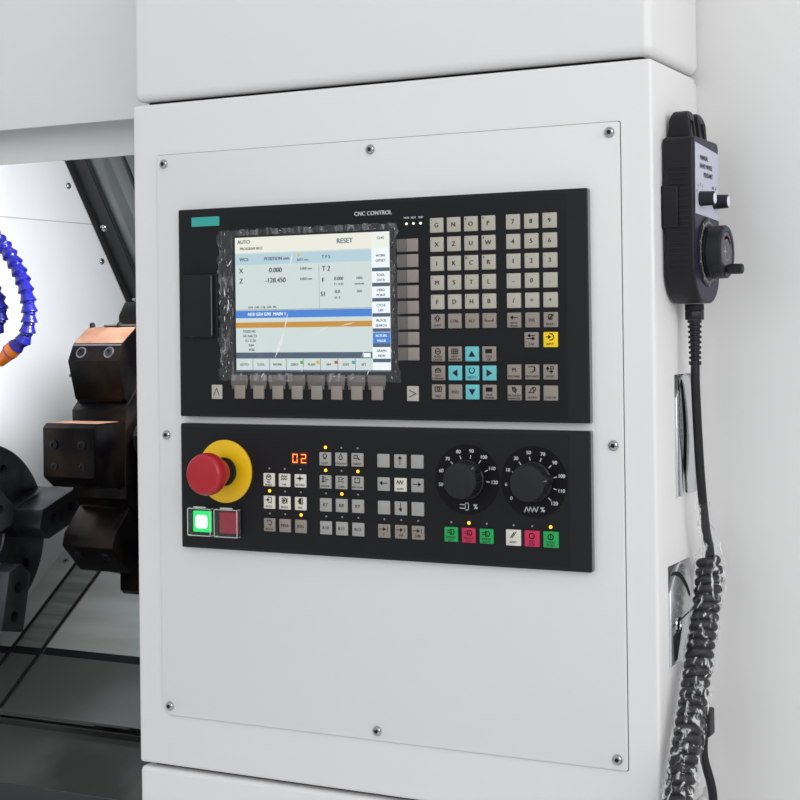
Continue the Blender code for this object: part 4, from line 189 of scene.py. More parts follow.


# The milky streaks of these films are painted sheen; the film itself is clear.
WRAP_FILM = streaked_film("wrap_film", 210.0, (1.0, 1.0, 0.4), 0.56, 0.66, 0.02, 0.50)
SCREEN_FILM = streaked_film("screen_film", 30.0, (1.0, 1.0, 0.30), 0.62, 0.80, 0.02, 0.12)
RIM_FILM = streaked_film("rim_film", 170.0, (1.0, 1.0, 0.30), 0.52, 0.74, 0.04, 0.26)
# White slivers on the films are painted glints: they stand in for the highlights of creases.
GLINT_WHITE = material("film_glint", "#f4f6f8", 0.18, Alpha=0.85, Coat_Weight=0.8)
WHITE = bumpy(material("white_powder_coat", "#d9d9d8", 0.42), 900.0, 0.10)
WHITE_INNER = bumpy(material("white_inner_paint", "#e4e4e3", 0.5), 700.0, 0.10)
# Black of black parts, and painted shade in sockets, grooves and gaps.
SHADOW_BLACK = material("black_and_painted_shade", "#0b0b0c", 0.8)
BEZEL = bumpy(material("bezel_black", "#17181b", 0.58, Specular_IOR_Level=0.28), 2600.0, 0.16, 0.0002)
TRAY_GREY = material("housing_side", "#6f7174", 0.5)
FIELD = bumpy(material("keypad_foil", "#131417", 0.52, Specular_IOR_Level=0.25), 2600.0, 0.10, 0.0002)
KEY_LIGHT = material("key_light", "#aaa69b", 0.42)
KEY_TAUPE = material("key_taupe", "#887f77", 0.42)
KEY_SHADE = material("key_shade", "#605c59", 0.45)
KEY_GREY = material("key_grey", "#989793", 0.42)
KEY_PALE = material("key_pale", "#cfcbc1", 0.42)
KEY_CYAN = material("key_cyan", "#62b5bc", 0.4)
KEY_YELLOW = material("key_yellow", "#ecc80c", 0.4)
KEY_GREEN = material("key_green", "#159a4c", 0.4)
KEY_CRIMSON = material("key_crimson", "#bb2350", 0.4)
INK = material("ink_black", "#141417", 0.6)
INK_WHITE = material("ink_white", "#b9bbbd", 0.6)
AMBER = glowing("amber_lamp", "#ffa81a", 3.4)
LAMP_OFF = material("lamp_off", "#8a8c8e", 0.4)
LAMP_WHITE = glowing("white_lamp", "#f4fbe4", 1.6)
DIGIT_RED = glowing("digit_red", "#ff2a12", 2.2)
DIGIT_CORE = glowing("digit_core", "#ffb040", 2.6)
DIGIT_BED = material("digit_bed", "#2a0c0c", 0.2)
CHROME = material("chrome", "#b4b5b9", 0.09, 1.0)
SATIN = material("satin_chrome", "#dcdee3", 0.24, 0.85)
STEEL = bumpy(material("steel", "#a3a4a6", 0.32, 1.0), 600.0, 0.05)
RED = material("signal_red", "#a41726", 0.38, Coat_Weight=0.1)
YELLOW = material("signal_yellow", "#e0b40c", 0.4)
GUARD_CLEAR = material("clear_guard", "#c4cccb", 0.05, Alpha=0.025, IOR=1.45)
GUARD_EDGE = material("clear_edge", "#cdd3d1", 0.2)
GLASS = material("window_glass", "#b9c6c4", 0.03, Alpha=0.38, IOR=1.5)
KNOB_BLACK = bumpy(material("knob_black", "#1b1c1e", 0.45, Specular_IOR_Level=0.35), 2000.0, 0.08, 0.0002)
PLASTIC = bumpy(material("pendant_plastic", "#100f14", 0.42, Specular_IOR_Level=0.35), 1800.0, 0.14, 0.0002)
# Violet tint on the pendant's front face and the wheel's rim: a painted reflection.
PENDANT_SHEEN = material("pendant_front_sheen", "#221e38", 0.42, Specular_IOR_Level=0.4)
CAP_PALE = material("cap_pale", "#dcdcf0", 0.25)
SCALE_BLACK = material("scale_black", "#09090b", 0.5, Specular_IOR_Level=0.2)
LABEL = material("pendant_label", "#b9bacb", 0.35)
RUBBER = material("cord_rubber", "#101014", 0.42, Specular_IOR_Level=0.4)
OXIDE = mottled(bumpy(material("black_oxide", "#17171a", 0.34, 0.8), 500.0, 0.08), "#0d0d0f", "#2a211c",
                18.0)
CHUCK_STEEL = mottled(bumpy(material("chuck_steel", "#3a3b3e", 0.34, 0.85), 400.0, 0.05), "#26272a",
                      "#4c4d51", 9.0)
JAW_STEEL = mottled(bumpy(material("jaw_steel", "#4a4d50", 0.36, 0.8), 400.0, 0.05), "#3a3c40", "#5c5f63",
                    7.0)
COPPER = mottled(material("ground_bronze", "#a87a60", 0.5, 0.3), "#93674f", "#b0846c", 40.0, 0.35, 0.65)
BRASS = material("brass", "#b08a3e", 0.3, 1.0)
DOWN_SLOPE = (0.0, -math.cos(math.radians(35.0)), -math.sin(math.radians(35.0)))


def cover_steel(name, dark, light, scale, stretch):
    """Brushed cover sheet with a black strip and a dark grey zone below it, towards its lower edge."""
    mat = mottled(bumpy(material(name, light, 0.40, 0.35), 300.0, 0.04), dark, light, scale, 0.3, 0.7,
                  stretch)
    return zoned(zoned(mat, DOWN_SLOPE, -0.386, "#17181a"), DOWN_SLOPE, -0.372, "#6a6d6a")


COVER_STEEL = cover_steel("cover_steel", "#b4bbb5", "#d2d8d2", 4.0, (1.0, 6.0, 6.0))
COVER_FOLDS = cover_steel("cover_folds", "#697069", "#a0a7a0", 9.0, (0.4, 9.0, 9.0))
GUARD_GREY = bumpy(material("guard_grey", "#2a2c2b", 0.42, 0.3), 500.0, 0.06)
GUARD_SHEET = mottled(bumpy(material("guard_sheet", "#6d726f", 0.32, 0.5), 500.0, 0.05), "#565b58", "#8b908d",
                      3.0, 0.3, 0.7, (1.0, 1.0, 0.5))
CHUTE_GREY = mottled(bumpy(material("chute_grey", "#4b4e4c", 0.42, 0.4), 400.0, 0.08), "#3a3c3a", "#565a56",
                     5.0)
IRON = bumpy(material("painted_iron", "#3c4044", 0.55), 220.0, 0.3, 0.0008)
MACHINE_GREY = bumpy(material("machine_grey", "#4a4e52", 0.5), 500.0, 0.12)
HOSE_BLUE = material("hose_blue", "#191a86", 0.32, Coat_Weight=0.25)
NOZZLE_ORANGE = material("nozzle_orange", "#e0761c", 0.35)
BELT = bumpy(material("belt_rubber", "#161617", 0.8), 900.0, 0.3)

# %% [markdown]
# ## Shapes
# A `Shape` gathers simple solids in one mesh; `put` makes it a piece that rides on a CAD body.

# %%
LATHE = bpy.data.collections.new("lathe")
SCENE.collection.children.link(LATHE)
# Turns of a shape's own space. FRONT, SIDE and REAR stand it up with its Z towards the operator, to the
# machine's right and to the rear; UPRIGHT only swaps Y and Z; LYING lays its Z along the machine's X.
FRONT = Matrix(((1, 0, 0, 0), (0, 0, -1, 0), (0, 1, 0, 0), (0, 0, 0, 1)))
SIDE = Matrix(((0, 0, 1, 0), (1, 0, 0, 0), (0, 1, 0, 0), (0, 0, 0, 1)))
REAR = Matrix(((-1, 0, 0, 0), (0, 0, 1, 0), (0, 1, 0, 0), (0, 0, 0, 1)))
UPRIGHT = Matrix(((1, 0, 0, 0), (0, 0, 1, 0), (0, 1, 0, 0), (0, 0, 0, 1)))
LYING = Matrix.Rotation(math.pi / 2, 4, "Y")
BACKWARDS = Matrix.Rotation(math.pi, 4, "Y")
# Letters are stamped twice, this share of their height apart.
BOLDNESS = 0.075
TEXT_CACHE = {}


def at(x, y, z):
    """Move to a place."""
    return Matrix.Translation((x, y, z))


def spun(angle):
    """Turn about Z, in degrees."""
    return Matrix.Rotation(math.radians(angle), 4, "Z")


def arc(centre, radius, start, end, steps):
    """Points along an arc, in degrees, both ends included."""
    angles = [math.radians(start + (end - start) * i / steps) for i in range(steps + 1)]
    return [(centre[0] + radius * math.cos(a), centre[1] + radius * math.sin(a)) for a in angles]


def circle(radius, steps=32, centre=(0.0, 0.0)):
    """Points round a circle."""
    return arc(centre, radius, 0, 360 * (steps - 1) / steps, steps - 1)


def spoke(angle, inner, outer):
    """Line from one radius to another, at an angle in radians."""
    return [(radius * math.cos(angle), radius * math.sin(angle)) for radius in (inner, outer)]


def rectangle(x0, y0, x1, y1, radius=0.0, steps=4):
    """Rectangle, its corners rounded if a radius is given."""
    if radius == 0.0:
        return [(x0, y0), (x1, y0), (x1, y1), (x0, y1)]
    return (arc((x0 + radius, y0 + radius), radius, 180, 270, steps)
            + arc((x1 - radius, y0 + radius), radius, 270, 360, steps)
            + arc((x1 - radius, y1 - radius), radius, 0, 90, steps)
            + arc((x0 + radius, y1 - radius), radius, 90, 180, steps))


def bevel_sharp(bm, width, segments, angle=35.0):
    """Round every edge that is sharper than the angle."""
    edges = [e for e in bm.edges if len(e.link_faces) == 2
             and e.calc_face_angle(0.0) > math.radians(angle)]
    if edges and width > 0:
        bmesh.ops.bevel(bm, geom=edges, offset=width, segments=segments, profile=0.5, affect="EDGES",
                        clamp_overlap=True)


def mesh_of(curve):
    """Mesh of a curve, which is dropped."""
    holder = bpy.data.objects.new(curve.name, curve)
    SCENE.collection.objects.link(holder)
    bpy.context.view_layer.update()
    mesh = bpy.data.meshes.new_from_object(holder)
    bpy.data.objects.remove(holder)
    bpy.data.curves.remove(curve)
    return mesh


def bridge(bm, rings):
    """Faces between each ring of corners and the next; a ring may be a single point."""
    sides = max(len(ring) for ring in rings)
    for ring, after in zip(rings, rings[1:]):
        for i in range(sides):
            j = (i + 1) % sides
            corners = [ring[i % len(ring)], ring[j % len(ring)], after[j % len(after)], after[i % len(after)]]
            corners = list(dict.fromkeys(corners))
            if len(corners) > 2:
                bm.faces.new(corners)


def text_mesh(words, height):
    """Flat letters of a stated height, centred on the origin, as a mesh."""
    curve = bpy.data.curves.new("words", "FONT")
    curve.body = words
    curve.size = height
    curve.align_x = "CENTER"
    curve.align_y = "CENTER"
    curve.resolution_u = 3
    return mesh_of(curve)


def plane_mesh(outline, holes):
    """Filled flat outline with holes, as a mesh."""
    curve = bpy.data.curves.new("outline", "CURVE")
    curve.dimensions = "2D"
    curve.fill_mode = "BOTH"
    for points in (outline, *holes):
        spline = curve.splines.new("POLY")
        spline.points.add(len(points) - 1)
        for point, (x, y) in zip(spline.points, points):
            point.co = (x, y, 0.0, 1.0)
        spline.use_cyclic_u = True
    return mesh_of(curve)


class Shape:
    """A mesh put together from simple solids, in a space of its own."""

    def __init__(self, space=Matrix()):
        self.bm = bmesh.new()
        self.space = space

    def merge(self, other, place=Matrix()):
        """Copy another bmesh into this one."""
        mesh = bpy.data.meshes.new("solid")
        other.to_mesh(mesh)
        other.free()
        return self.stamp(mesh, place, True)

    def stamp(self, mesh, place=Matrix(), last=False):
        """Copy a mesh into this one at a place."""
        copy = mesh.copy()
        copy.transform(self.space @ place)
        self.bm.from_mesh(copy)
        bpy.data.meshes.remove(copy)
        if last:
            bpy.data.meshes.remove(mesh)
        return self

    def block(self, low, high, round_by=0.0, segments=2, place=Matrix()):
        """Rectangular block with rounded edges."""
        bm = bmesh.new()
        bmesh.ops.create_cube(bm, size=1.0)
        low, high = Vector(low), Vector(high)
        bm.transform(Matrix.Translation((low + high) / 2) @ Matrix.Diagonal((*(high - low), 1.0)))
        bevel_sharp(bm, round_by, segments)
        return self.merge(bm, place)

    def cylinder(self, centre, radius, height, sides=24, top=None, round_by=0.0, place=Matrix()):
        """Round bar along Z, or a cone frustum where top is another radius."""
        bm = bmesh.new()
        bmesh.ops.create_cone(bm, cap_ends=True, segments=sides, radius1=radius,
                              radius2=radius if top is None else top, depth=height,
                              matrix=Matrix.Translation(centre))
        bevel_sharp(bm, round_by, 2, 50.0)
        return self.merge(bm, place)

    def slab(self, outline, low, high, holes=(), round_by=0.0, segments=2, place=Matrix()):
        """Flat outline raised from low to high."""
        mesh = plane_mesh(outline, holes)
        bm = bmesh.new()
        bm.from_mesh(mesh)
        bpy.data.meshes.remove(mesh)
        bmesh.ops.remove_doubles(bm, verts=bm.verts, dist=1e-7)
        bmesh.ops.recalc_face_normals(bm, faces=bm.faces)
        if bm.faces and bm.faces[0].normal.z > 0:
            bmesh.ops.reverse_faces(bm, faces=bm.faces)
        bmesh.ops.translate(bm, verts=bm.verts, vec=(0, 0, low))
        raised = bmesh.ops.extrude_face_region(bm, geom=bm.faces[:], use_keep_orig=True)
        top = [v for v in raised["geom"] if isinstance(v, bmesh.types.BMVert)]
        bmesh.ops.translate(bm, verts=top, vec=(0, 0, high - low))
        bmesh.ops.recalc_face_normals(bm, faces=bm.faces)
        if round_by > 0:
            bmesh.ops.dissolve_limit(bm, angle_limit=math.radians(1.0), verts=bm.verts, edges=bm.edges)
            bevel_sharp(bm, round_by, segments, 50.0)
        return self.merge(bm, place)

    def turned(self, profile, sides=32, place=Matrix()):
        """Profile of radius and height pairs turned about Z."""
        bm = bmesh.new()
        rings = []
        for radius, height in profile:
            if radius == 0.0:
                rings.append([bm.verts.new((0.0, 0.0, height))])
                continue
            rings.append([bm.verts.new((*p, height)) for p in circle(radius, sides)])
        bridge(bm, rings)
        bmesh.ops.recalc_face_normals(bm, faces=bm.faces)
        return self.merge(bm, place)

    def tube(self, points, radius, sides=12, place=Matrix()):
        """Tube along points; the radius may be a list, one for each point."""
        points = [Vector(p) for p in points]
        radii = radius if isinstance(radius, list) else [radius] * len(points)
        bm = bmesh.new()
        across = None
        rings = []
        for i, point in enumerate(points):
            ahead = (points[min(i + 1, len(points) - 1)] - points[max(i - 1, 0)]).normalized()
            if across is None:
                across = ahead.orthogonal().normalized()
            across = (across - ahead * across.dot(ahead)).normalized()
            up = ahead.cross(across)
            rings.append([bm.verts.new(point + (across * x + up * y) * radii[i])
                          for x, y in circle(1.0, sides)])
        bridge(bm, rings)
        bm.faces.new(reversed(rings[0]))
        bm.faces.new(rings[-1])
        bmesh.ops.recalc_face_normals(bm, faces=bm.faces)
        return self.merge(bm, place)

    def words(self, text, x, y, height, z=0.0, place=Matrix()):
        """Flat letters at a place."""
        key = (text, height)
        if key not in TEXT_CACHE:
            TEXT_CACHE[key] = text_mesh(text, height)
        for side, lift in ((-0.5, 0.0), (0.5, 0.00001)):
            shift = (x + side * BOLDNESS * height, y + side * BOLDNESS * height / 3, z + lift)
            self.stamp(TEXT_CACHE[key], place @ Matrix.Translation(shift))

    def strokes(self, lines, width, z=0.0, place=Matrix()):
        """Flat strokes, each a list of points."""
        bm = bmesh.new()
        for line in lines:
            for a, b in zip(line, line[1:]):
                a, b = Vector((*a, z)), Vector((*b, z))
                side = (b - a).normalized().cross(Vector((0, 0, 1))) * width / 2
                stretch = (b - a).normalized() * width / 2
                corners = (a - stretch + side, b + stretch + side, b + stretch - side, a - stretch - side)
                bm.faces.new([bm.verts.new(v) for v in corners])
        bmesh.ops.recalc_face_normals(bm, faces=bm.faces)
        for face in bm.faces:
            if face.normal.z < 0:
                face.normal_flip()
        return self.merge(bm, place)

    def put(self, name, mat, body=MACHINE, replaces=(), smooth=35.0, slot=None):
        """Make the shape a piece of the lathe."""
        mesh = bpy.data.meshes.new(name)
        self.bm.to_mesh(mesh)
        self.bm.free()
        mesh.materials.append(mat)
        mesh.polygons.foreach_set("use_smooth", [True] * len(mesh.polygons))
        mesh.set_sharp_from_angle(angle=math.radians(smooth))
        obj = bpy.data.objects.new(name, mesh)
        LATHE.objects.link(obj)
        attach(obj, body)
        if replaces:
            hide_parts(*replaces)
        return obj


def subtract(obj, tool):
    """Cut a shape out of a piece and drop the tool."""
    mesh = bpy.data.meshes.new("tool")
    tool.bm.to_mesh(mesh)
    tool.bm.free()
    holder = bpy.data.objects.new("tool", mesh)
    SCENE.collection.objects.link(holder)
    cut = obj.modifiers.new("cut", "BOOLEAN")
    cut.operation = "DIFFERENCE"
    cut.solver = "EXACT"
    cut.object = holder
    bpy.context.view_layer.update()
    made = bpy.data.meshes.new_from_object(obj.evaluated_get(bpy.context.evaluated_depsgraph_get()))
    obj.modifiers.clear()
    old = obj.data
    obj.data = made
    made.name = old.name
    bpy.data.meshes.remove(old)
    bpy.data.objects.remove(holder)
    made.set_sharp_from_angle(angle=math.radians(35.0))
    return obj


def dressed(node, mat, body, round_by=0.001, segments=2, slot=None):
    """A CAD node's own shape with softened edges, standing for that node."""
    shape = Shape()
    shape.bm.from_mesh(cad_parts[node].data)
    bmesh.ops.remove_doubles(shape.bm, verts=shape.bm.verts, dist=1e-5)
    bmesh.ops.dissolve_limit(shape.bm, angle_limit=math.radians(1.0), verts=shape.bm.verts,
                             edges=shape.bm.edges)
    bevel_sharp(shape.bm, round_by, segments, 40.0)
    return shape.put(node + "_look", mat, body, [node], 30.0, slot)


# %% [markdown]
# ## Places taken from the frame
# Corners and faces of CAD nodes, on which the pieces below are placed.

# %%
COLUMN_LOW, COLUMN_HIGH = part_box("column_plinth")
SHELL_LOW, SHELL_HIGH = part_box("column_shell")
COLUMN_FRONT = COLUMN_LOW.y
COLUMN_LEFT, COLUMN_RIGHT = COLUMN_LOW.x, COLUMN_HIGH.x
COLUMN_TOP = SHELL_HIGH.z
DISPLAY_LOW, DISPLAY_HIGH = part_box("display_housing")
PLATE_LOW, PLATE_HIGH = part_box("panel_plate")
PANEL_X, PANEL_Z = DISPLAY_LOW.x, DISPLAY_HIGH.z
BEZEL_FRONT = COLUMN_FRONT - 0.0106


def panel(x, z, proud=0.0):
    """Space at a point of the panel, in millimetres; its Z comes towards the operator."""
    return at(PANEL_X + x * MM, BEZEL_FRONT - proud * MM, PANEL_Z - z * MM) @ FRONT


def over(node, depth=BEZEL_FRONT):
    """Space at the middle of a CAD node at a depth, facing the operator."""
    low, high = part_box(node)
    return at((low.x + high.x) / 2, depth, (low.z + high.z) / 2) @ FRONT


# %% [markdown]
# ## Cord of the pendant
# A straight lead, a coil and a straight tail run as one cord. The coil is a helix about a smooth line.

# %%
CORD_RADIUS = 0.004
HELIX_RADIUS = 0.0085
HELIX_PITCH = 0.0084
TURN_POINTS = 16
CORD_ROUTE = [(0.0143, 0.0680, 0.2593), (0.0143, 0.0680, 0.2800), (0.0150, 0.0725, 0.3320),
              (0.0160, 0.0765, 0.3690), (0.0175, 0.0830, 0.4050), (0.0183, 0.0920, 0.4270),
              (0.0183, 0.0840, 0.4580), (0.0183, 0.0670, 0.4900), (0.0183, 0.0300, 0.5520),
              (0.0180, -0.0050, 0.6080), (0.0175, -0.0230, 0.6600), (0.0170, -0.0260, 0.7100),
              (0.0165, -0.0130, 0.7550), (0.0165, 0.0160, 0.7850), (0.0165, 0.0520, 0.7880),
              (0.0165, 0.0830, 0.7640), (0.0165, 0.0990, 0.7250), (0.0160, 0.1020, 0.6800),
              (0.0150, 0.1010, 0.6400), (0.0080, 0.1000, 0.6100), (0.0080, 0.1000, 0.5903)]
COIL_FIRST = 5
COIL_LAST = 14
ROUTE_STEP = 0.0008
THINNING = 6
NECK_POINTS = 62


def smooth_route(route, step):
    """Evenly spaced points of a smooth curve through a route's points."""
    ends = [route[0] * 2 - route[1], *route, route[-1] * 2 - route[-2]]
    fine = []
    for p0, p1, p2, p3 in zip(ends, ends[1:], ends[2:], ends[3:]):
        count = max(2, round((p2 - p1).length / step))
        for i in range(count):
            u = i / count
            fine.append(0.5 * (2 * p1 + (p2 - p0) * u + (2 * p0 - 5 * p1 + 4 * p2 - p3) * u ** 2
                               + (3 * p1 - p0 - 3 * p2 + p3) * u ** 3))
    return fine + [route[-1]]


def cord_lines():
    """The cord's smooth middle line, and the places along it where the coil starts and ends."""
    route = [Vector((COLUMN_RIGHT + out, COLUMN_FRONT + back, COLUMN_TOP - drop))
             for out, back, drop in CORD_ROUTE]
    low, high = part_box("pendant_gland")
    route[0] = Vector((low.x + 0.0085, (low.y + high.y) / 2, low.z))
    fine = smooth_route(route, ROUTE_STEP)
    splits = [min(range(len(fine)), key=lambda i: (fine[i] - route[k]).length)
              for k in (COIL_FIRST, COIL_LAST)]
    return fine, splits


def helix_points(line):
    """A helix about a line, starting and ending on the line itself."""
    lengths = [0.0]
    for a, b in zip(line, line[1:]):
        lengths.append(lengths[-1] + (b - a).length)
    total = lengths[-1]
    turns = round(total / HELIX_PITCH)
    across = (line[1] - line[0]).orthogonal().normalized()
    made, j = [], 0
    for i in range(turns * TURN_POINTS + 1):
        along = total * i / (turns * TURN_POINTS)
        while j < len(line) - 2 and lengths[j + 1] < along:
            j += 1
        ahead = (line[j + 1] - line[j]).normalized()
        across = (across - ahead * across.dot(ahead)).normalized()
        share = (along - lengths[j]) / max(1e-9, lengths[j + 1] - lengths[j])
        ease = min(1.0, along / HELIX_PITCH, (total - along) / HELIX_PITCH)
        ease = ease * ease * (3 - 2 * ease)
        angle = 2 * math.pi * i / TURN_POINTS
        sway = across * math.cos(angle) + ahead.cross(across) * math.sin(angle)
        made.append(line[j].lerp(line[j + 1], share) + sway * HELIX_RADIUS * ease)
    return made


def pendant_cord():
    """The whole cord as one tube; gives back the coil's line and the stretch of line just before it."""
    fine, (first, last) = cord_lines()
    path = fine[:first:THINNING] + helix_points(fine[first:last + 1]) + fine[last + 1::THINNING]
    if (path[-1] - fine[-1]).length > 1e-6:
        path.append(fine[-1])
    nodes = ["cord_lead", "cord_coil", "cord_tail"]
    cord = Shape().tube(path, CORD_RADIUS, 10).put("pendant_cord", RUBBER, MACHINE, nodes, 60.0, "rubber")
    return fine[first:last + 1], fine[first - NECK_POINTS:first]


COIL_LINE, COIL_NECK = pendant_cord()


def glint_sliver(shape, middle, along, across, out):
    """One painted glint on film: a thin pointed white ridge in place of a crease's highlight."""
    bm = bmesh.new()
    points = [bm.verts.new(middle + v) for v in (along, across, -along, -across, out)]
    for i in range(4):
        bm.faces.new((points[i], points[(i + 1) % 4], points[4]))
    bm.faces.new([points[3 - i] for i in range(4)])
    bmesh.ops.recalc_face_normals(bm, faces=bm.faces)
    shape.merge(bm)


def coil_wrap():
    """Crinkled clear film wound round the coil."""
    line = COIL_NECK[::5] + COIL_LINE[1::5]
    neck = len(COIL_NECK) // 5 + 2
    across = (line[1] - line[0]).orthogonal().normalized()
    bm = bmesh.new()
    rings = []
    sides = 26
    for i, point in enumerate(line):
        ahead = (line[min(i + 1, len(line) - 1)] - line[max(i - 1, 0)]).normalized()
        across = (across - ahead * across.dot(ahead)).normalized()
        up = ahead.cross(across)
        ring = []
        for k in range(sides):
            a = 2 * math.pi * k / sides
            seed = point * 95.0 + Vector((3 * math.cos(a), 3 * math.sin(a), 0.0))
            radius = 0.0141 + 0.0026 * noise.noise(seed) + 0.0018 * noise.noise(seed * 2.9)
            share = min(1.0, i / neck) ** 2.2
            slack = 0.0058 + 0.0016 * noise.noise(seed * 2.0)
            radius = max(0.0129, radius) * share + slack * (1 - share)
            ring.append(bm.verts.new(point + (across * math.cos(a) + up * math.sin(a)) * radius))
        rings.append(ring)
    bridge(bm, rings)
    shape = Shape()
    shape.merge(bm)
    shape.put("coil_film_wrap", WRAP_FILM, MACHINE, (), 25.0)
    # White slivers on the wrap: painted glints of its creases.
    folds = Shape()
    glints = random.Random(5)
    for i in range(neck, len(line) - 6, 3):
        ahead = (line[i + 1] - line[i]).normalized()
        a = glints.uniform(0.0, 2 * math.pi)
        out = Vector((math.cos(a), math.sin(a), 0.0))
        out = (out - ahead * out.dot(ahead)).normalized()
        lean = (ahead + out.cross(ahead) * glints.uniform(-1.4, 1.4)).normalized()
        size = glints.uniform(0.002, 0.006)
        glint_sliver(folds, line[i] + out * 0.0152, lean * size, out.cross(lean) * size * 0.16, out * 0.0004)
    folds.put("coil_film_folds", GLINT_WHITE)


coil_wrap()

# %% [markdown]
# ## Column: shell, upper and lower boxes, panel plate
# Rounded sheet boxes meet in joints filled with painted shade. The latches' holes are cut out of the shell
# with `subtract`.

# %%


def column_boxes():
    """Three rounded sheet boxes, with black blocks of painted shade in the joints above and below the middle
    one.
    """
    back = COLUMN_HIGH.y
    shell = Shape()
    shell.block((COLUMN_LEFT, COLUMN_FRONT, SHELL_LOW.z), (COLUMN_RIGHT, back - 0.0127, COLUMN_TOP), 0.0032,
                4)
    shell = shell.put("column_shell_look", WHITE, MACHINE, ["column_shell"], 40.0, "white_paint")
    pockets = Shape()
    for name in ("latch_upper", "latch_lower"):
        low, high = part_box(name)
        pockets.block((COLUMN_RIGHT - 0.03, low.y - 0.0004, low.z - 0.0004),
                      (COLUMN_RIGHT + 0.01, high.y + 0.0004, high.z + 0.0004))
    subtract(shell, pockets)
    low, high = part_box("column_cap")
    cap = Shape()
    cap.block((low.x, low.y, low.z - 0.0045), (high.x, back, high.z), 0.0085, 6)
    cap.put("column_cap_look", WHITE, MACHINE, ["column_cap"], 40.0, "white_paint")
    plinth = Shape()
    plinth.block((COLUMN_LEFT, COLUMN_FRONT, COLUMN_LOW.z), (COLUMN_RIGHT, back, COLUMN_HIGH.z + 0.002),
                 0.005, 5)
    plinth.put("column_plinth_look", WHITE, MACHINE, ["column_plinth"], 40.0, "white_paint")
    # Black blocks set back in the joints: painted shade of the gaps between the boxes.
    inset = 0.012
    core = Shape()
    core.block((COLUMN_LEFT + inset, COLUMN_FRONT + inset, COLUMN_TOP - 0.002),
               (COLUMN_RIGHT - inset, back, low.z + 0.002))
    core.block((COLUMN_LEFT + inset, COLUMN_FRONT + inset, COLUMN_HIGH.z - 0.002),
               (COLUMN_RIGHT - inset, back, SHELL_LOW.z + 0.002))
    core.put("column_joint_shade", SHADOW_BLACK)
    neck = Shape()
    neck.block((COLUMN_LEFT + 0.002, back - 0.013, SHELL_LOW.z + 0.004),
               (COLUMN_RIGHT - 0.002, back, COLUMN_TOP - 0.004), 0.001)
    neck.put("column_neck", WHITE)


column_boxes()


def button_screw(shape, place, radius=0.0047, height=0.0026):
    """Domed hexagon-socket screw standing on a face."""
    dome = [(radius * 0.42, height * 0.35), (radius * 0.42, height), (radius * 0.55, height * 0.97),
            (radius * 0.8, height * 0.78), (radius * 0.96, height * 0.4), (radius, 0.0)]
    shape.turned([(0.0, height * 0.35)] + dome, 20, place)


def screw_sockets(shape, places, radius=0.0047, height=0.0026):
    """Dark hexagons at the bottom of button screws' sockets: painted shade of the socket's depth."""
    for place in places:
        shape.cylinder((0, 0, height * 0.42), radius * 0.4, height * 0.12, 6, None, 0.0, place)


def panel_plate():
    """Thin plate with a cut corner and eight domed screws."""
    left, right = PLATE_LOW.x, PLATE_HIGH.x
    low, top = PLATE_LOW.z, PLATE_HIGH.z
    face = COLUMN_FRONT - 0.0023
    corner = 0.008
    space = at(0, face + 0.002, 0) @ FRONT
    outline = [(left, low + corner), (left + corner, low),
               *arc((right - 0.002, low + 0.002), 0.002, 270, 360, 4),
               *arc((right - 0.002, top - 0.002), 0.002, 0, 90, 4),
               *arc((left + 0.002, top - 0.002), 0.002, 90, 180, 4)]
    sheet = Shape(space)
    sheet.slab(outline, 0.0, 0.002, (), 0.0004, 2)
    sheet.put("panel_plate_look", WHITE, MACHINE, ["panel_plate"], 30.0, "white_paint")
    screws = Shape(at(0, face, 0) @ FRONT)
    inset = 0.0088
    xs = (left + inset, (left + right) / 2, right - inset)
    zs = (low + inset, (low + top) / 2, top - inset)
    places = [at(x, z, 0.0) for x in xs for z in zs]
    places.pop(4)
    for place in places:
        button_screw(screws, place)
    screws.put("plate_screws", CHROME, MACHINE)
    sockets = Shape(at(0, face, 0) @ FRONT)
    screw_sockets(sockets, places)
    sockets.put("plate_screw_sockets", SHADOW_BLACK)
    # Thin dark grey ring round the plate: the painted shadow of its edge.
    gap = Shape(at(0, COLUMN_FRONT, 0) @ FRONT)
    wide = 0.0006
    middle_x, middle_z = (left + right) / 2, (low + top) / 2
    grown = [(x + math.copysign(wide, x - middle_x), z + math.copysign(wide, z - middle_z))
             for x, z in outline]
    gap.slab(grown, 0.0, 0.0002, [outline])
    gap.put("plate_edge_shadow", material("plate_shadow_grey", "#5d5d5c", 0.7))


panel_plate()

# %% [markdown]
# ## Keys and legends
# One key cap is stamped many times. A line symbol is a list of lines, in millimetres about a key's middle.

# %%
KEY = 13.1
CONTROL_KEY = 12.3
KEY_HEIGHT = 1.8
INK_HEIGHT = KEY_HEIGHT + 0.04
PRINT_HEIGHT = 0.35
SCALE_HEIGHT = 0.6


def key_mesh(width=KEY, height=KEY, proud=KEY_HEIGHT, rounding=0.7):
    """One key cap in millimetres, its foot on the origin's plane."""
    shape = Shape(Matrix.Scale(MM, 4))
    shape.block((-width / 2, -height / 2, -1.0), (width / 2, height / 2, proud), rounding, 3)
    mesh = bpy.data.meshes.new("key")
    shape.bm.to_mesh(mesh)
    shape.bm.free()
    return mesh


def in_metres(lines, scale=1.0, lift=0.0):
    """Lines given in millimetres, scaled and raised."""
    return [[(x * scale * MM, (y * scale + lift) * MM) for x, y in line] for line in lines]


def key_legend(ink, place, icon, captions):
    """Line symbol of a key, with none, one or two small words below it."""
    lift, scale = (2.3, 0.86) if captions else (1.0, 1.0)
    if icon:
        ink.strokes(in_metres(ICONS[icon], scale, lift), 0.85 * MM, 0.0, place)
    for i, word in enumerate(captions):
        drop = 3.9 if len(captions) == 1 else 2.4 + 2.6 * i
        ink.words(word, 0.0, -drop * MM, 2.5 * MM, 0.0, place)


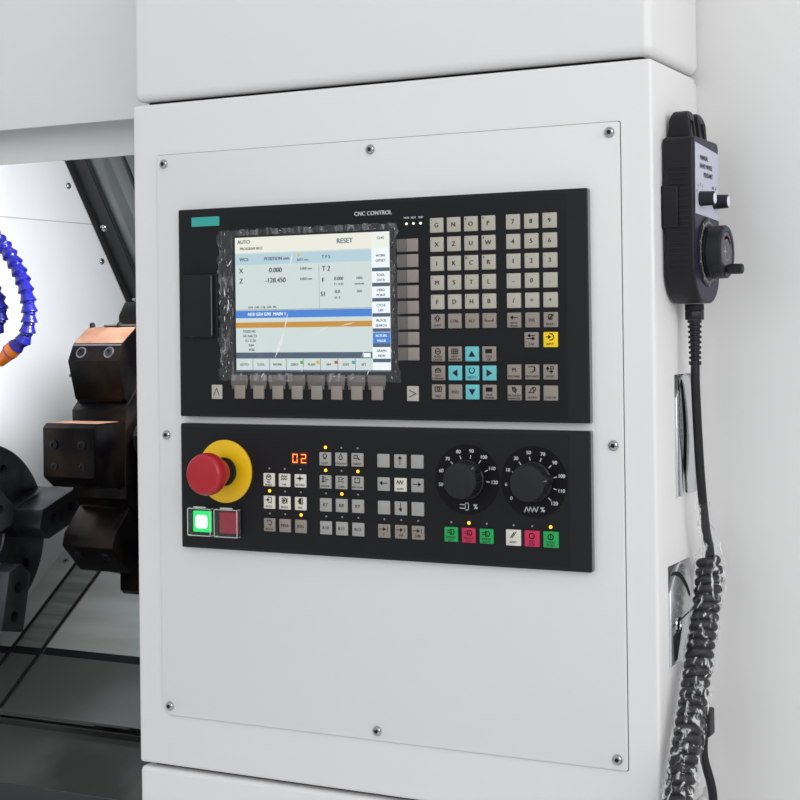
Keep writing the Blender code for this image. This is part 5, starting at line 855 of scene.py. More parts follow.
class Keypad:
    """Keys of a few colours with their legends."""

    def __init__(self, name, size=KEY):
        self.name = name
        self.caps = {}
        self.ink = Shape()
        self.ink_white = Shape()
        self.lamps = {}
        self.plain = key_mesh(size, size)

    def key(self, x, z, mat, words="", size=5.4, small="", mesh=None):
        """One key, its legend and a small second legend above it."""
        cap = self.caps.setdefault(mat, Shape())
        cap.stamp(self.plain if mesh is None else mesh, panel(x, z))
        if words:
            self.letters(x, z + 0.2, words, size)
        if small:
            self.letters(x - 4.6, z - 4.4, small, 2.4)

    def letters(self, x, z, words, size):
        """Black letters on a key."""
        self.ink.words(words, 0.0, 0.0, size * MM, 0.0, panel(x, z, INK_HEIGHT))

    def marking(self, x, z, words, size, proud=SCALE_HEIGHT):
        """White letters on the plate or on a scale disc."""
        self.ink_white.words(words, 0.0, 0.0, size * MM, 0.0, panel(x, z, proud))

    def symbol(self, x, z, lines, width=0.6):
        """Line symbol on a key, in millimetres about its middle."""
        self.ink.strokes(in_metres(lines), width * MM, 0.0, panel(x, z, INK_HEIGHT))

    def face(self, x, z, mat, icon="", *captions, mesh=None):
        """One key with a line symbol and one or two small words below it."""
        self.key(x, z, mat, mesh=mesh)
        key_legend(self.ink, panel(x, z, INK_HEIGHT), icon, captions)

    def lamp(self, x, z, mat):
        """Tiny round lamp beside a key."""
        shape = self.lamps.setdefault(mat, Shape())
        radius = {AMBER: 1.45, LAMP_WHITE: 1.15}.get(mat, 0.85)
        shape.cylinder((0, 0, 0.2 * MM), radius * MM, 0.8 * MM, 16, None, 0.0, panel(x, z))

    def put(self, body=MACHINE):
        """Make the pieces."""
        for mat, shape in self.caps.items():
            shape.put(f"{self.name}_{mat.name}", mat, body)
        self.ink.put(f"{self.name}_legends", INK, body)
        for mat, shape in self.lamps.items():
            shape.put(f"{self.name}_{mat.name}", mat, body)
        self.ink_white.put(f"{self.name}_markings", INK_WHITE, body)


def arrow(angle, size=3.6):
    """Filled-looking arrow head as dense strokes."""
    turn = Matrix.Rotation(math.radians(angle), 2)
    lines = []
    for i in range(7):
        share = i / 6
        half = size * 0.78 * (1 - share)
        y = -size * 0.6 + size * 1.25 * share
        lines.append([tuple(turn @ Vector((-half, y))), tuple(turn @ Vector((half + 0.01, y)))])
    return lines


def pointer(angle, length=4.0):
    """Thin arrow with a small filled head."""
    turn = Matrix.Rotation(math.radians(angle), 2)
    lines = [[(-length, 0.0), (length - 0.6, 0.0)]]
    for i in range(4):
        along, half = length - 2.6 + 0.6 * i, 1.4 - 0.42 * i
        lines.append([(along, half), (along, -half)])
    return [[tuple(turn @ Vector(place)) for place in line] for line in lines]


def shifted(lines, dx, dy):
    """Lines moved sideways and up."""
    return [[(x + dx, y + dy) for x, y in line] for line in lines]


BOX_OPEN = [[(-0.8, 2.9), (3.0, 2.9), (3.0, -2.9), (-0.8, -2.9)]]
ICONS = {
    "shift": [[(-3.0, 0.0), (0.0, 3.2), (3.0, 0.0), (1.3, 0.0), (1.3, -2.4), (-1.3, -2.4), (-1.3, 0.0),
               (-3.0, 0.0)]],
    "back": pointer(180),
    "insert": [arc((0.2, 0.2), 2.5, 50, 320, 12), [(-2.2, -2.0), (2.4, 2.6)], [(-1.0, -2.4), (3.2, 1.8)]],
    "tab": shifted(pointer(180), 0.0, 1.5) + shifted(pointer(0), 0.0, -1.5),
    "enter": [*shifted(pointer(0, 2.6), -1.8, 0.0), arc((0.4, 0.0), 3.2, -110, 110, 12)],
    "cancel": [arc((0, 0), 2.9, 0, 360, 18), [(-1.8, 0), (1.8, 0)]],
    "grid": [[(-3.2, -2.4), (3.2, -2.4), (3.2, 2.4), (-3.2, 2.4), (-3.2, -2.4)], [(-3.2, 0), (3.2, 0)],
             [(-1.0, -2.4), (-1.0, 2.4)], [(1.2, -2.4), (1.2, 2.4)]],
    "page": [[(-3.6, 1.8 - 0.7 * i), (3.2 - 0.5 * (i % 2), 1.8 - 0.7 * i)] for i in range(6)],
    "bars": [arc((0, -1.0), 3.0, 20, 160, 8), [(-3.2, 0.2), (3.2, 0.2)], [(-3.2, -1.8), (3.2, -1.8)],
             [(-3.2, 0.2), (-3.2, -1.8)], [(3.2, 0.2), (3.2, -1.8)]],
    "select": [arc((0, 0), 2.9, 120, 420, 16)],
    "book": [[(-3.6, -2.2), (-3.6, 2.4), (3.6, 2.4), (3.6, -2.2), (-3.6, -2.2)],
             arc((0, 0.2), 1.5, -60, 210, 8), [(0, -1.2), (0, -2.0)]],
    "corner": [[(-3.2, 2.6), (2.6, 2.6), (2.6, -1.6), (1.0, -2.6), (-1.2, -2.6)], [(3.2, 2.2), (3.2, -1.4)]],
    "axes": [*shifted(pointer(90, 2.4), -2.6, 0.6), *shifted(pointer(0, 2.2), 1.2, -2.2),
             [(0.6, 2.8), (3.4, 2.8), (3.4, 0.4), (0.6, 0.4), (0.6, 2.8)]],
    "hand": [[(-2.4, 2.8), (0.6, 2.8), (2.6, 0.0), (1.2, -2.4), (-1.4, -0.6), (-2.4, 2.8)],
             [(-1.2, 1.8), (0.8, -1.2)], [(0.0, 2.4), (1.6, 0.0)]],
    "bell": [[(-3.4, -2.4), (0.4, 2.8), (1.8, -2.4), (-3.4, -2.4)], arc((2.2, 1.4), 1.5, -80, 170, 8),
             [(2.2, -0.2), (2.2, -1.2)]],
    "clock": [arc((0, 0), 2.9, 0, 360, 18), [(-1.9, 1.9), (0, 0), (1.9, 1.9)], [(-1.2, 0.4), (1.2, 0.4)]],
    "waves": [[(-3.8 + 1.5 * i, base + 1.8 * (i % 2)) for i in range(6)] for base in (0.8, -2.2)],
    "centre": [[(-4.2, 0), (4.2, 0)], [(0, 3.2), (0, -2.8)],
               *[[(-1.2, 0.4 * i), (1.2, 0.4 * i)] for i in range(-2, 3)]],
    "auto": [*shifted(pointer(0, 2.3), -1.6, 0.0), *BOX_OPEN],
    "single": [*shifted(pointer(0, 2.0), -0.6, 0.0), arc((-0.4, 0.0), 3.0, -150, 150, 16),
               [(3.4, 2.6), (3.4, -2.6)]],
    "input": [*BOX_OPEN, *[[(-1.6 + 0.9 * i, 2.0), (-1.6 + 0.9 * i, -2.0)] for i in range(4)],
              [(-3.4, 0), (-1.6, 0)]],
    "block": [[(-2.2, 2.4), (-2.2, 1.2)],
              [(-2.2, 2.4), (1.6, 2.4), (2.8, 1.2), (2.8, -1.6), (1.6, -2.6), (-0.2, -2.6)]],
    "lamp": [arc((0, 0.6), 2.2, -50, 230, 12), [(-1.2, -1.6), (1.2, -1.6)], [(-0.9, -2.5), (0.9, -2.5)]],
    "drop": [[(0, 3.0), (-1.9, -0.2)], arc((0, -0.8), 2.0, 160, 380, 12), [(1.9, -0.2), (0, 3.0)]],
    "tool": [[(-3.6, 2.0), (0.8, 2.0), (0.8, 0.2), (3.4, -2.4), (0.0, -1.2), (-3.6, -1.2), (-3.6, 2.0)]],
    "chuck": [[(-3.4, 2.8), (-3.4, -2.8), (-1.8, -2.8), (-1.8, 2.8), (-3.4, 2.8)],
              *[[(x0, y), (x1, y)] for x0, x1, y in ((-1.8, 1.0, 1.8), (-1.8, 1.0, -1.8), (1.0, 3.8, 0))]],
    "chips": [[(x0, y), (x1, y)] for x0, x1, y in
              ((-3.4, -2.2, 2.2), (-0.4, 0.8, 2.8), (2.2, 3.4, 1.8), (-2.6, -1.4, 0.2), (0.4, 1.8, 0.6),
               (-3.4, -2.2, -1.8), (-0.6, 0.8, -1.4), (2.0, 3.4, -2.0))],
    "frame": [[(-2.8, 1.2), (-2.8, 2.6), (-1.4, 2.6)],
              [(0.2, 2.6), (2.8, 2.6), (2.8, -2.2), (-2.8, -2.2), (-2.8, -0.4)]],
    "spindle": [[(-4.2, 1.0), (-0.8, 1.0)], [(-4.2, -1.0), (-0.8, -1.0)],
                [(-0.8, 2.4), (0.8, 2.4), (0.8, -2.4), (-0.8, -2.4), (-0.8, 2.4)],
                arc((1.0, 0.0), 2.8, -70, 70, 8)],
    "slashes": [[(-3.0, -2.6), (1.2, 2.8)], [(-1.2, -2.6), (3.0, 2.8)]],
    "ring": [arc((0, 0), 2.7, 0, 360, 18)],
    "ring_bar": [arc((0, 0), 2.8, 0, 360, 18), [(0, 1.6), (0, -1.6)]],
    "rapid": [[(-4, -1.4), (-2.8, 1.8), (-1.2, -1.8), (0.4, 1.8), (2.0, -1.8), (3.4, 1.4)]],
    "space": [[(-3.8, 0.4), (-3.8, -1.4), (3.8, -1.4), (3.8, 0.4)]],
}
TOP_ROW, ROW_PITCH = 26.2, 17.06
LETTERS_LEFT, LETTER_PITCH = 279.0, 16.7
NUMBERS_LEFT, NUMBER_PITCH = 352.5, 17.0
LETTERS = ["GNOP", "XZUW", "IKCR", "MSTL", "FDHB"]
SMALLS = ["^_#%", "~'\"$", ";:@&", "<>|\\", "{}[]"]
NUMBERS = ["789", "456", "123", "-0.", "/=+"]

# %% [markdown]
# ## Display unit
# A bezel with holes, its keys, the lit screen with general content, and a crinkled protective film.

# %%


def cut_out(x0, z0, x1, z1):
    """Rectangle of the panel in millimetres, as a hole's outline."""
    return rectangle(x0 * MM, -z1 * MM, x1 * MM, -z0 * MM)


def bezel(name, node, top, height, slot, holes=()):
    """Black housing plate with a rounded rim and a slightly raised field."""
    space = panel(0, top)
    body = Shape(space)
    body.slab(rectangle(0, -height * MM, 420 * MM, 0, 1.6 * MM), -7.9 * MM, 0.0, holes, 1.2 * MM, 3)
    body.block((10.4 * MM, -(height - 10.4) * MM, -50 * MM), (409 * MM, -10.4 * MM, -7.0 * MM))
    body.put(name, BEZEL, MACHINE, [node], 35.0, slot)
    tray = Shape(space)
    tray.slab(rectangle(-0.1 * MM, -(height + 0.1) * MM, 420.1 * MM, 0.1 * MM, 1.6 * MM), -8.0 * MM,
              -2.4 * MM, [rectangle(1 * MM, -(height - 1) * MM, 419 * MM, -1 * MM)])
    tray.put(name + "_tray", TRAY_GREY)
    field = Shape(space)
    field.slab(rectangle(3.2 * MM, -(height - 3.2) * MM, 401 * MM, -3.2 * MM, 1.2 * MM), -0.2 * MM,
               0.25 * MM, holes, 0.2 * MM, 2)
    field.put(name + "_field", FIELD, MACHINE)


bezel("display_bezel", "display_housing", 0, 200, "black_plastic",
      [cut_out(64.2, 28.7, 231.8, 157.8), cut_out(6.2, 62.7, 47.5, 124.3)])


def display_keys():
    """Letter, number, cursor and soft keys."""
    pad = Keypad("display_keys")
    rows = [TOP_ROW + ROW_PITCH * r for r in range(6)]
    letter_xs = [LETTERS_LEFT + LETTER_PITCH * c for c in range(4)]
    number_xs = [NUMBERS_LEFT + NUMBER_PITCH * c for c in range(3)]
    for z, row, smalls in zip(rows, LETTERS, SMALLS):
        for x, letter, small in zip(letter_xs, row, smalls):
            pad.key(x, z, KEY_LIGHT, letter, 5.6, small)
    for z, row, small in zip(rows, NUMBERS, "'`,;:"):
        for x, digit in zip(number_xs, row):
            pad.key(x, z, KEY_LIGHT, digit, 5.6, small)
    z = rows[5]
    pad.key(letter_xs[1], z, KEY_TAUPE, "CTRL", 3.6)
    pad.key(letter_xs[2], z, KEY_TAUPE, "ALT", 3.6)
    pad.face(letter_xs[0], z, KEY_TAUPE, "shift", "SHIFT")
    pad.face(letter_xs[3], z, KEY_TAUPE, "space")
    pad.face(number_xs[0], z, KEY_TAUPE, "back", "BACK", "SPACE")
    pad.key(number_xs[1], z, KEY_TAUPE, "DEL", 3.5)
    pad.face(number_xs[2], z, KEY_TAUPE, "insert", "INSERT")
    pad.face(368.5, 128.6, KEY_TAUPE, "tab", "TAB")
    pad.face(386.1, 128.6, KEY_YELLOW, "enter", "INPUT")
    cursor = ((("cancel", "ALARM", "CANCEL"), ("grid", "NEXT", "WINDOW"), (), ("page", "PAGE", "UP")),
              (("bars", "NEXT", "CHANNEL"), (), ("select", "SELECT"), ()),
              (("book", "HELP"), (), (), ("page", "PAGE", "DOWN")))
    for r, z in enumerate((140.6, 157.4, 174.1)):
        for c, legend in enumerate(cursor[r]):
            cyan = (r, c) in ((0, 2), (1, 1), (1, 2), (1, 3), (2, 2))
            pad.face(279.0 + 16.5 * c, z, KEY_CYAN if cyan else KEY_TAUPE, *legend)
    pad.letters(295.5, 174.3, "END", 3.5)
    for x, z, angle in ((312.0, 140.6, 0), (295.5, 157.4, 90), (328.5, 157.4, -90), (312.0, 174.1, 180)):
        pad.symbol(x, z, arrow(angle), 0.8)
    areas = ((("", "MACHINE"), ("corner", "PROGRAM"), ("axes", "OFFSET")),
             (("hand", "PROGRAM", "MANAGER"), ("bell", "ALARM"), ("", "CUSTOM")))
    for r, z in enumerate((156.4, 174.5)):
        for c, legend in enumerate(areas[r]):
            pad.face(352.0 + 16.8 * c, z, KEY_TAUPE, *legend)
    pad.letters(352.0, 154.6, "M", 5.0)
    side = key_mesh(11.2, 11.6)
    shade = key_mesh(10.6, 11.6, 0.7, 0.4)
    for i in range(8):
        pad.key(254.6, 42.9 + 13.94 * i, KEY_TAUPE, mesh=side)
        pad.key(244.0, 42.9 + 13.94 * i, KEY_SHADE, mesh=shade)
    soft = key_mesh(11.6, 12.6)
    hat = key_mesh(18.6, 9.2, 0.6, 0.3)
    brim = key_mesh(17.0, 4.6, 0.6, 0.3)
    for i in range(8):
        pad.key(68.6 + 21.1 * i, 164.4, KEY_SHADE, mesh=hat)
        pad.key(68.6 + 21.1 * i, 170.6, KEY_SHADE, mesh=brim)
        pad.key(69.4 + 21.1 * i, 176.0, KEY_TAUPE, mesh=soft)
    end = key_mesh(11.6, 13.6)
    pad.key(43.5, 176.0, KEY_LIGHT, mesh=end)
    pad.key(253.3, 176.0, KEY_LIGHT, mesh=end)
    pad.symbol(43.5, 176.0, [[(-3, -3.2), (0, 3.6), (3, -3.2)]], 0.8)
    pad.symbol(253.3, 176.0, [[(-3, 3), (3.4, 0), (-3, -3)]], 0.8)
    for x, word in ((248.6, "PWR"), (255.7, "RDY"), (262.7, "TMP")):
        pad.lamp(x, 23.6, LAMP_WHITE)
        pad.marking(x, 18.4, word, 2.6, PRINT_HEIGHT)
    pad.marking(214.5, 12.6, "CNC CONTROL", 5.3, PRINT_HEIGHT)
    pad.put()


display_keys()


def screen():
    """Lit screen with plain generic content."""
    low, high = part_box("display_screen")
    face = high.y - 0.0022
    space = at(low.x, face - 0.0002, high.z) @ FRONT
    wide, tall = high.x - low.x, high.z - low.z
    glass = Shape()
    glass.block((low.x, face, low.z), (high.x, high.y, high.z))
    glass.put("screen_back", glowing("screen_pale", "#d5e2df", 0.92), MACHINE, ["display_screen"], 35.0,
              "screen")
    inks = {}

    def area(mat, x0, y0, x1, y1, z=0.0):
        """Coloured field, in shares of the screen from its top-left corner."""
        shape = inks.setdefault(mat.name, (mat, Shape(space)))[1]
        shape.slab(rectangle(x0 * wide, -y1 * tall, x1 * wide, -y0 * tall), z, z + 0.00005)

    def words(mat, text, x, y, height, z=0.0002):
        """Text centred at a place, in shares."""
        shape = inks.setdefault(mat.name, (mat, Shape(space)))[1]
        shape.words(text, x * wide, -y * tall, height * MM, z)

    cream = glowing("screen_cream", "#eff0e2", 0.95)
    sky = glowing("screen_sky", "#b9d6e2", 0.92)
    blue = glowing("screen_blue", "#4486dd", 0.9)
    orange = glowing("screen_orange", "#cf9433", 0.9)
    slate = glowing("screen_slate", "#4d6178", 0.85)
    dark = glowing("screen_ink", "#3a4650", 0.7)
    white = glowing("screen_white", "#eef6fb", 1.0)
    for mat, *corners in ((cream, 0.0, 0.0, 1.0, 0.115), (sky, 0.0, 0.125, 0.885, 0.205),
                          (blue, 0.0, 0.545, 0.885, 0.60), (orange, 0.0, 0.632, 0.885, 0.672),
                          (slate, 0.0, 0.855, 0.885, 0.90), (slate, 0.0, 0.985, 1.0, 1.0),
                          (white, 0.83, 0.862, 0.875, 0.893, 0.0001), (white, 0.887, 0.0, 1.0, 0.985)):
        area(mat, *corners)
    for i in range(7):
        area(slate, 0.889, 0.255 + 0.108 * i, 0.998, 0.281 + 0.108 * i, 0.0001)
    area(blue, 0.889, 0.716, 0.998, 0.795, 0.0001)
    area(slate, 0.553, 0.215, 0.5545, 0.535)
    area(slate, 0.0, 0.538, 0.885, 0.541)
    for x, code in ((0.44, "#5fae3c"), (0.545, "#d8b526"), (0.66, "#c8503c"), (0.77, "#2fa7c4")):
        area(glowing("screen_icon_" + code[1:], code, 0.9), x - 0.014, 0.918, x + 0.006, 0.94, 0.0001)
    area(glowing("screen_icon_note", "#e5c532", 0.9), 0.415, 0.135, 0.432, 0.155, 0.0001)
    for x in range(1, 8):
        area(slate, 0.111 * x, 0.905, 0.111 * x + 0.003, 0.985)
    words(slate, "RESET", 0.72, 0.055, 6.4)
    for text, x, y, height in (("AUTO", 0.06, 0.035, 5.0), ("PROGRAM 0012", 0.11, 0.085, 3.6),
                               ("WCS", 0.06, 0.165, 4.4), ("POSITION mm", 0.28, 0.165, 4.4),
                               ("T F S", 0.60, 0.165, 4.4), ("REST mm", 0.45, 0.18, 3.0),
                               ("G54  G90  G18  G95  M5", 0.18, 0.522, 3.0), ("F1  0.25", 0.68, 0.365, 3.0),
                               ("S2  0", 0.67, 0.462, 3.0), ("12:45", 0.943, 0.045, 3.4),
                               ("T 2", 0.60, 0.25, 6.4), ("F", 0.58, 0.335, 6.0), ("0.000", 0.68, 0.325, 4.4),
                               ("100%", 0.81, 0.325, 3.2), ("mm/min", 0.81, 0.365, 3.0),
                               ("S1", 0.58, 0.435, 6.0), ("0.0", 0.67, 0.42, 4.4), ("50%", 0.81, 0.42, 3.2)):
        words(dark, text, x, y, height)
    for i, (axis, value) in enumerate((("X", "0.000"), ("Z", "-128.450"))):
        words(dark, axis, 0.04, 0.25 + 0.075 * i, 6.4)
        words(dark, value, 0.27, 0.25 + 0.075 * i, 6.4)
        words(dark, "0.000 mm", 0.47, 0.245 + 0.075 * i, 3.2)
    words(white, "N10 G54 G90  MAIN 1", 0.21, 0.573, 4.4)
    for i, line in enumerate(("T0202 M3", "G0 X60 Z5", "G1 Z-20", "X64", "M30")):
        words(dark, line, 0.09 + 0.004 * i, 0.70 + 0.034 * i, 3.4)
    for i, word in enumerate("GOTO TOOL WORK ZERO PLAN SIM EDIT SET".split()):
        words(dark, word, 0.055 + 0.111 * i, 0.945, 3.2)
    for i, pair in enumerate(("WORK OFFSET", "TOOL DATA", "ZERO POINT", "CYCLE LIST", "BLOCK SEARCH",
                              "ACTUAL VALUE", "GRAPH VIEW")):
        ink = white if i == 5 else dark
        for j, word in enumerate(pair.split()):
            words(ink, word, 0.943, 0.200 + 0.036 * j + (0.108 * i if i else -0.03), 3.1)
    for key, (mat, shape) in inks.items():
        shape.put(key + "_field", mat, MACHINE)
    frame_bar = Shape(space)
    edge = 0.0022
    frame_bar.slab(rectangle(-edge, -tall - edge, wide + edge, edge), -0.0005, 0.0003,
                   [rectangle(0, -tall, wide, 0)])
    frame_bar.put("screen_rim", SHADOW_BLACK)


screen()


def crease(shape, place, lean, size, width, height):
    """Painted glint of a crease, lying on a space's plane, leaning from its Y axis."""
    turn = place.to_3x3()
    glint_sliver(shape, place.translation, turn @ Vector((math.sin(lean), math.cos(lean), 0.0)) * size,
                turn @ Vector((math.cos(lean), -math.sin(lean), 0.0)) * width,
                turn @ Vector((0.0, 0.0, height)))


def screen_film():
    """Protective film that overhangs the screen, crinkled along its rim."""
    columns, rows = 96, 76
    x0, x1, z0, z1 = 47.0, 240.0, 22.0, 165.5
    bm = bmesh.new()
    grid = []
    for r in range(rows + 1):
        line = []
        for c in range(columns + 1):
            u, v = c / columns, r / rows
            x, z = x0 + (x1 - x0) * u, z0 + (z1 - z0) * v
            inside = min(x - 63.0, 232.5 - x, z - 28.5, 158.5 - z)
            rim = max(0.0, min(1.0, 0.25 - inside / 4.0))
            seed = Vector((x * 0.09, z * 0.09, 1.3))
            fold = (noise.noise(seed * 2.2) * 1.3 + noise.noise(seed * 6.0) * 0.8
                    + noise.noise(seed * 14) * 0.35)
            wave = noise.noise(seed * 0.8) * 0.05
            proud = 0.75 + wave + rim * (1.1 + 0.9 * fold)
            outer = min(u, 1 - u, v, 1 - v) < 0.001
            shift = noise.noise(seed * 2.0 + Vector((0, 0, 4))) * 3.2 if outer else 0.0
            place = panel(x + shift, z + shift * 0.5, max(0.45, proud)).translation
            line.append(bm.verts.new(place))
        grid.append(line)
    for r in range(rows):
        for c in range(columns):
            face = bm.faces.new((grid[r][c], grid[r + 1][c], grid[r + 1][c + 1], grid[r][c + 1]))
            x, z = x0 + (x1 - x0) * (c + 0.5) / columns, z0 + (z1 - z0) * (r + 0.5) / rows
            face.material_index = 0 if 63.0 < x < 232.5 and 28.5 < z < 158.5 else 1
    shape = Shape()
    shape.merge(bm)
    film = shape.put("screen_film", SCREEN_FILM, MACHINE, (), 22.0)
    film.data.materials.append(RIM_FILM)
    # White slivers on the screen's film: painted glints of its creases.
    folds = Shape()
    chance = random.Random(11)
    for _ in range(95):
        side = chance.choice(("left", "left", "left", "left", "right", "right", "low", "top"))
        along, depth = chance.random(), chance.random()
        x = {"left": 49 + 13 * depth, "right": 233 + 5.5 * depth}.get(side, 50 + 186 * along)
        z = {"top": 23 + 4 * depth, "low": 160 + 4 * depth}.get(side, 24 + 138 * along)
        lean = math.radians(chance.uniform(-35, 35) + (90 if side in ("top", "low") else 0))
        size = chance.uniform(0.5, 2.6) * (1.6 if side == "left" and 0.2 < along < 0.7 else 0.8) * MM
        crease(folds, panel(x, z, 2.0 + chance.random()), lean, size, size * chance.uniform(0.06, 0.16),
               0.0003)
    for x, z, lean, size, thick in ((114.5, 131.0, -24, 15.0, 0.085), (121.5, 110.0, -14, 10.0, 0.07),
                                    (128.0, 52.0, -14, 8.5, 0.09), (160.0, 118.0, -60, 9.0, 0.05),
                                    (187.0, 113.0, -78, 9.0, 0.05), (95.0, 160.0, -35, 3.4, 0.12),
                                    (139.0, 154.0, -30, 4.0, 0.12), (208.0, 157.0, -30, 3.6, 0.12),
                                    (136.0, 96.0, -45, 7.0, 0.05), (203.0, 140.0, -25, 6.0, 0.05),
                                    (166.0, 146.0, 70, 6.0, 0.04), (175.0, 55.0, -20, 4.0, 0.07)):
        crease(folds, panel(x, z, 0.95), math.radians(-lean), size * MM, size * thick * MM, 0.0002)
    folds.put("screen_film_folds", GLINT_WHITE)


screen_film()


def card_cover():
    """Hinged cover with its grip, beside the screen."""
    low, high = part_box("display_flap")
    shape = Shape()
    shape.block((low.x, BEZEL_FRONT - 0.002, low.z), (high.x, high.y, high.z), 0.0009, 3)
    shape.block((high.x - 0.0075, low.y, low.z + 0.0004), (high.x - 0.0049, BEZEL_FRONT, high.z - 0.0004),
                0.0007, 3)
    shape.block((high.x - 0.0022, low.y + 0.001, low.z + 0.0004),
                (high.x - 0.0002, BEZEL_FRONT, high.z - 0.0004), 0.0007, 3)
    shape.put("card_cover_look", BEZEL, "card_cover", ["display_flap"], 35.0, "black_plastic")
    glint = Shape()
    glint.block((high.x - 0.0066, low.y - 0.00012, low.z + 0.002),
                (high.x - 0.0060, low.y + 0.0002, high.z - 0.002))
    glint.put("card_cover_edge", STEEL, "card_cover")


card_cover()
badge = Shape(panel(0, 0))
badge.slab(rectangle(16 * MM, -17 * MM, 48 * MM, -8 * MM, 0.6 * MM), 0.0, 0.0006)
badge.put("badge", material("badge_teal", "#2f9c93", 0.4))

# %% [markdown]
# ## Control panel below the display
# Controls that move ride on CAD bodies of their own; the other keys stay on the machine.

# %%
CONTROL_TOP = (PANEL_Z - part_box("control_housing")[1].z) / MM
bezel("control_bezel", "control_housing", CONTROL_TOP, 120, "black_plastic")

KNOB_XS = (305.5, 368.8)
KNOB_Z = 251.2
CONTROL_LEGENDS = {
    "A": ((), (("clock", "REF", "POINT"), ("waves", "VAR"), ("centre", "RETURN")),
          (("auto", "AUTO"), ("single", "SINGLE"), ("input", "MDI")), (("block", "BLOCK"), ("",), ("",))),
    "B": ((("lamp", "LIGHT"), ("drop", "COOLANT"), ("tool", "TURRET")),
          (("chuck", "CHUCK"), ("chips", "CHIPS"), ("frame", "DRY RUN")), (("",),) * 3, (("",),) * 3),
    "C": ((("",), ("up",), ("",)), (("left",), ("rapid", "RAPID"), ("right",)), (("",), ("down",), ("",)),
          (("",),) * 3),
}
ICONS.update(up=pointer(90), down=pointer(-90), left=pointer(180), right=pointer(0))


def control_keys():
    """Key groups, their lamps, the digits and the scale plates of the two knobs."""
    pad = Keypad("control_keys", CONTROL_KEY)
    rows = [236.9 + 21.17 * k for k in range(4)]
    amber = {("A", 2, 0), ("A", 3, 2), ("B", 0, 0), ("B", 1, 0), ("B", 1, 2), ("B", 2, 1)}
    for group, xs, first, mats in (("A", (101.0, 117.9, 135.1), 1, (KEY_PALE, KEY_PALE, KEY_TAUPE)),
                                   ("B", (162.0, 178.8, 195.8), 0, (KEY_GREY,) * 4),
                                   ("C", (222.6, 239.8, 256.8), 0,
                                    (KEY_GREY, KEY_GREY, KEY_GREY, KEY_TAUPE))):
        for r in range(first, 4):
            for c, x in enumerate(xs):
                mat = mats[r - first]
                if (group, r, c) == ("C", 1, 1):
                    mat = KEY_PALE
                pad.face(x, rows[r], mat, *CONTROL_LEGENDS[group][r][c])
                if group == "B" and r >= 2:
                    pad.letters(x, rows[r], f"K{3 * (r - 2) + c + 7}", 4.2)
                if group == "C" and r == 3:
                    stop = [*shifted(pointer(0, 3.2), -1.0, 0.0), [(3.6, 1.8), (3.6, -1.8)]]
                    pad.symbol(x, rows[r] - 1.8, stop, 0.7)
                    pad.letters(x, rows[r] + 3.0, ("1", "10", "100")[c], 4.0)
                if group == "A" and r == 3 and c:
                    pad.letters(x, rows[r], ("MDA", "JOG")[c - 1], 3.9)
                if not (group == "C" and r < 3):
                    pad.lamp(x, rows[r] - 10.6, AMBER if (group, r, c) in amber else LAMP_OFF)
    for x, mat, word in ((289.6, KEY_GREEN, "LEFT"), (306.6, KEY_CRIMSON, "STOP"),
                         (323.8, KEY_GREEN, "RIGHT")):
        pad.face(x, 300.2, mat, "spindle", "SPINDLE", word, mesh=key_mesh())
    for x in (289.6, 306.6, 323.8, 349.3, 366.6, 383.7):
        pad.lamp(x, 289.4, AMBER if x in (306.6, 383.7) else LAMP_OFF)
    for centre in KNOB_XS:
        disc = Shape(panel(centre, KNOB_Z))
        disc.cylinder((0, 0, 0.0), 31.0 * MM, 1.0 * MM, 64)
        disc.put(f"scale_disc_{centre:.0f}", SCALE_BLACK)
    for centre, first, step, values in zip(KNOB_XS, (-102, -126), (28, 29),
                                           ("50 60 70 80 90 100 110 120", "0 6 10 30 50 70 90 100 110 120")):
        for i, value in enumerate(values.split()):
            a = math.radians(90 - (first + step * i))
            pad.ink_white.strokes(in_metres([spoke(a, 19.0, 21.4)]), 0.9 * MM, 0.0,
                                  panel(centre, KNOB_Z, SCALE_HEIGHT))
            pad.marking(centre + math.cos(a) * 26.2, KNOB_Z - math.sin(a) * 25.4, value, 4.5)
    wave = [[(-7 + i * 1.8, 2.3 if i % 2 else -2.3) for i in range(8)]]
    spindle = [[(-5, 1.6), (0, 1.6)], [(-5, -1.6), (0, -1.6)], [(0, 3), (3, 3), (3, -3), (0, -3), (0, 3)]]
    for x, lines, percent in ((366.8, wave, 376.6), (303.5, spindle, 313.4)):
        pad.ink_white.strokes(in_metres(lines), 0.8 * MM, 0.0, panel(x, 275.0, SCALE_HEIGHT))
        pad.marking(percent, 275.0, "%", 6.0)
    pad.put()


control_keys()


def digits():
    """Two seven-segment digits behind a dark window."""
    window = Shape(panel(133.9, 237.3))
    window.slab(rectangle(-9.5 * MM, -6.5 * MM, 9.5 * MM, 6.5 * MM, 0.6 * MM), 0.0, 0.0005)
    window.put("digit_window", DIGIT_BED)
    lit, core = Shape(panel(133.9, 237.3, 0.6)), Shape(panel(133.9, 237.3, 0.7))
    w, h, t = 2.3, 3.7, 1.25
    bars = {"a": [(-w, h), (w, h)], "b": [(w, h - 0.8), (w, 0.8)], "c": [(w, -0.8), (w, -h + 0.8)],
            "d": [(-w, -h), (w, -h)], "e": [(-w, -0.8), (-w, -h + 0.8)], "f": [(-w, h - 0.8), (-w, 0.8)],
            "g": [(-w + 0.4, 0), (w - 0.4, 0)]}
    for x, on in ((-4.6, "abcdef"), (4.6, "abged")):
        for name in on:
            line = [((px + x) * MM, pz * MM) for px, pz in bars[name]]
            lit.strokes([line], t * MM)
            core.strokes([line], t * 0.36 * MM)
    lit.put("digits", DIGIT_RED)
    core.put("digits_core", DIGIT_CORE)


digits()


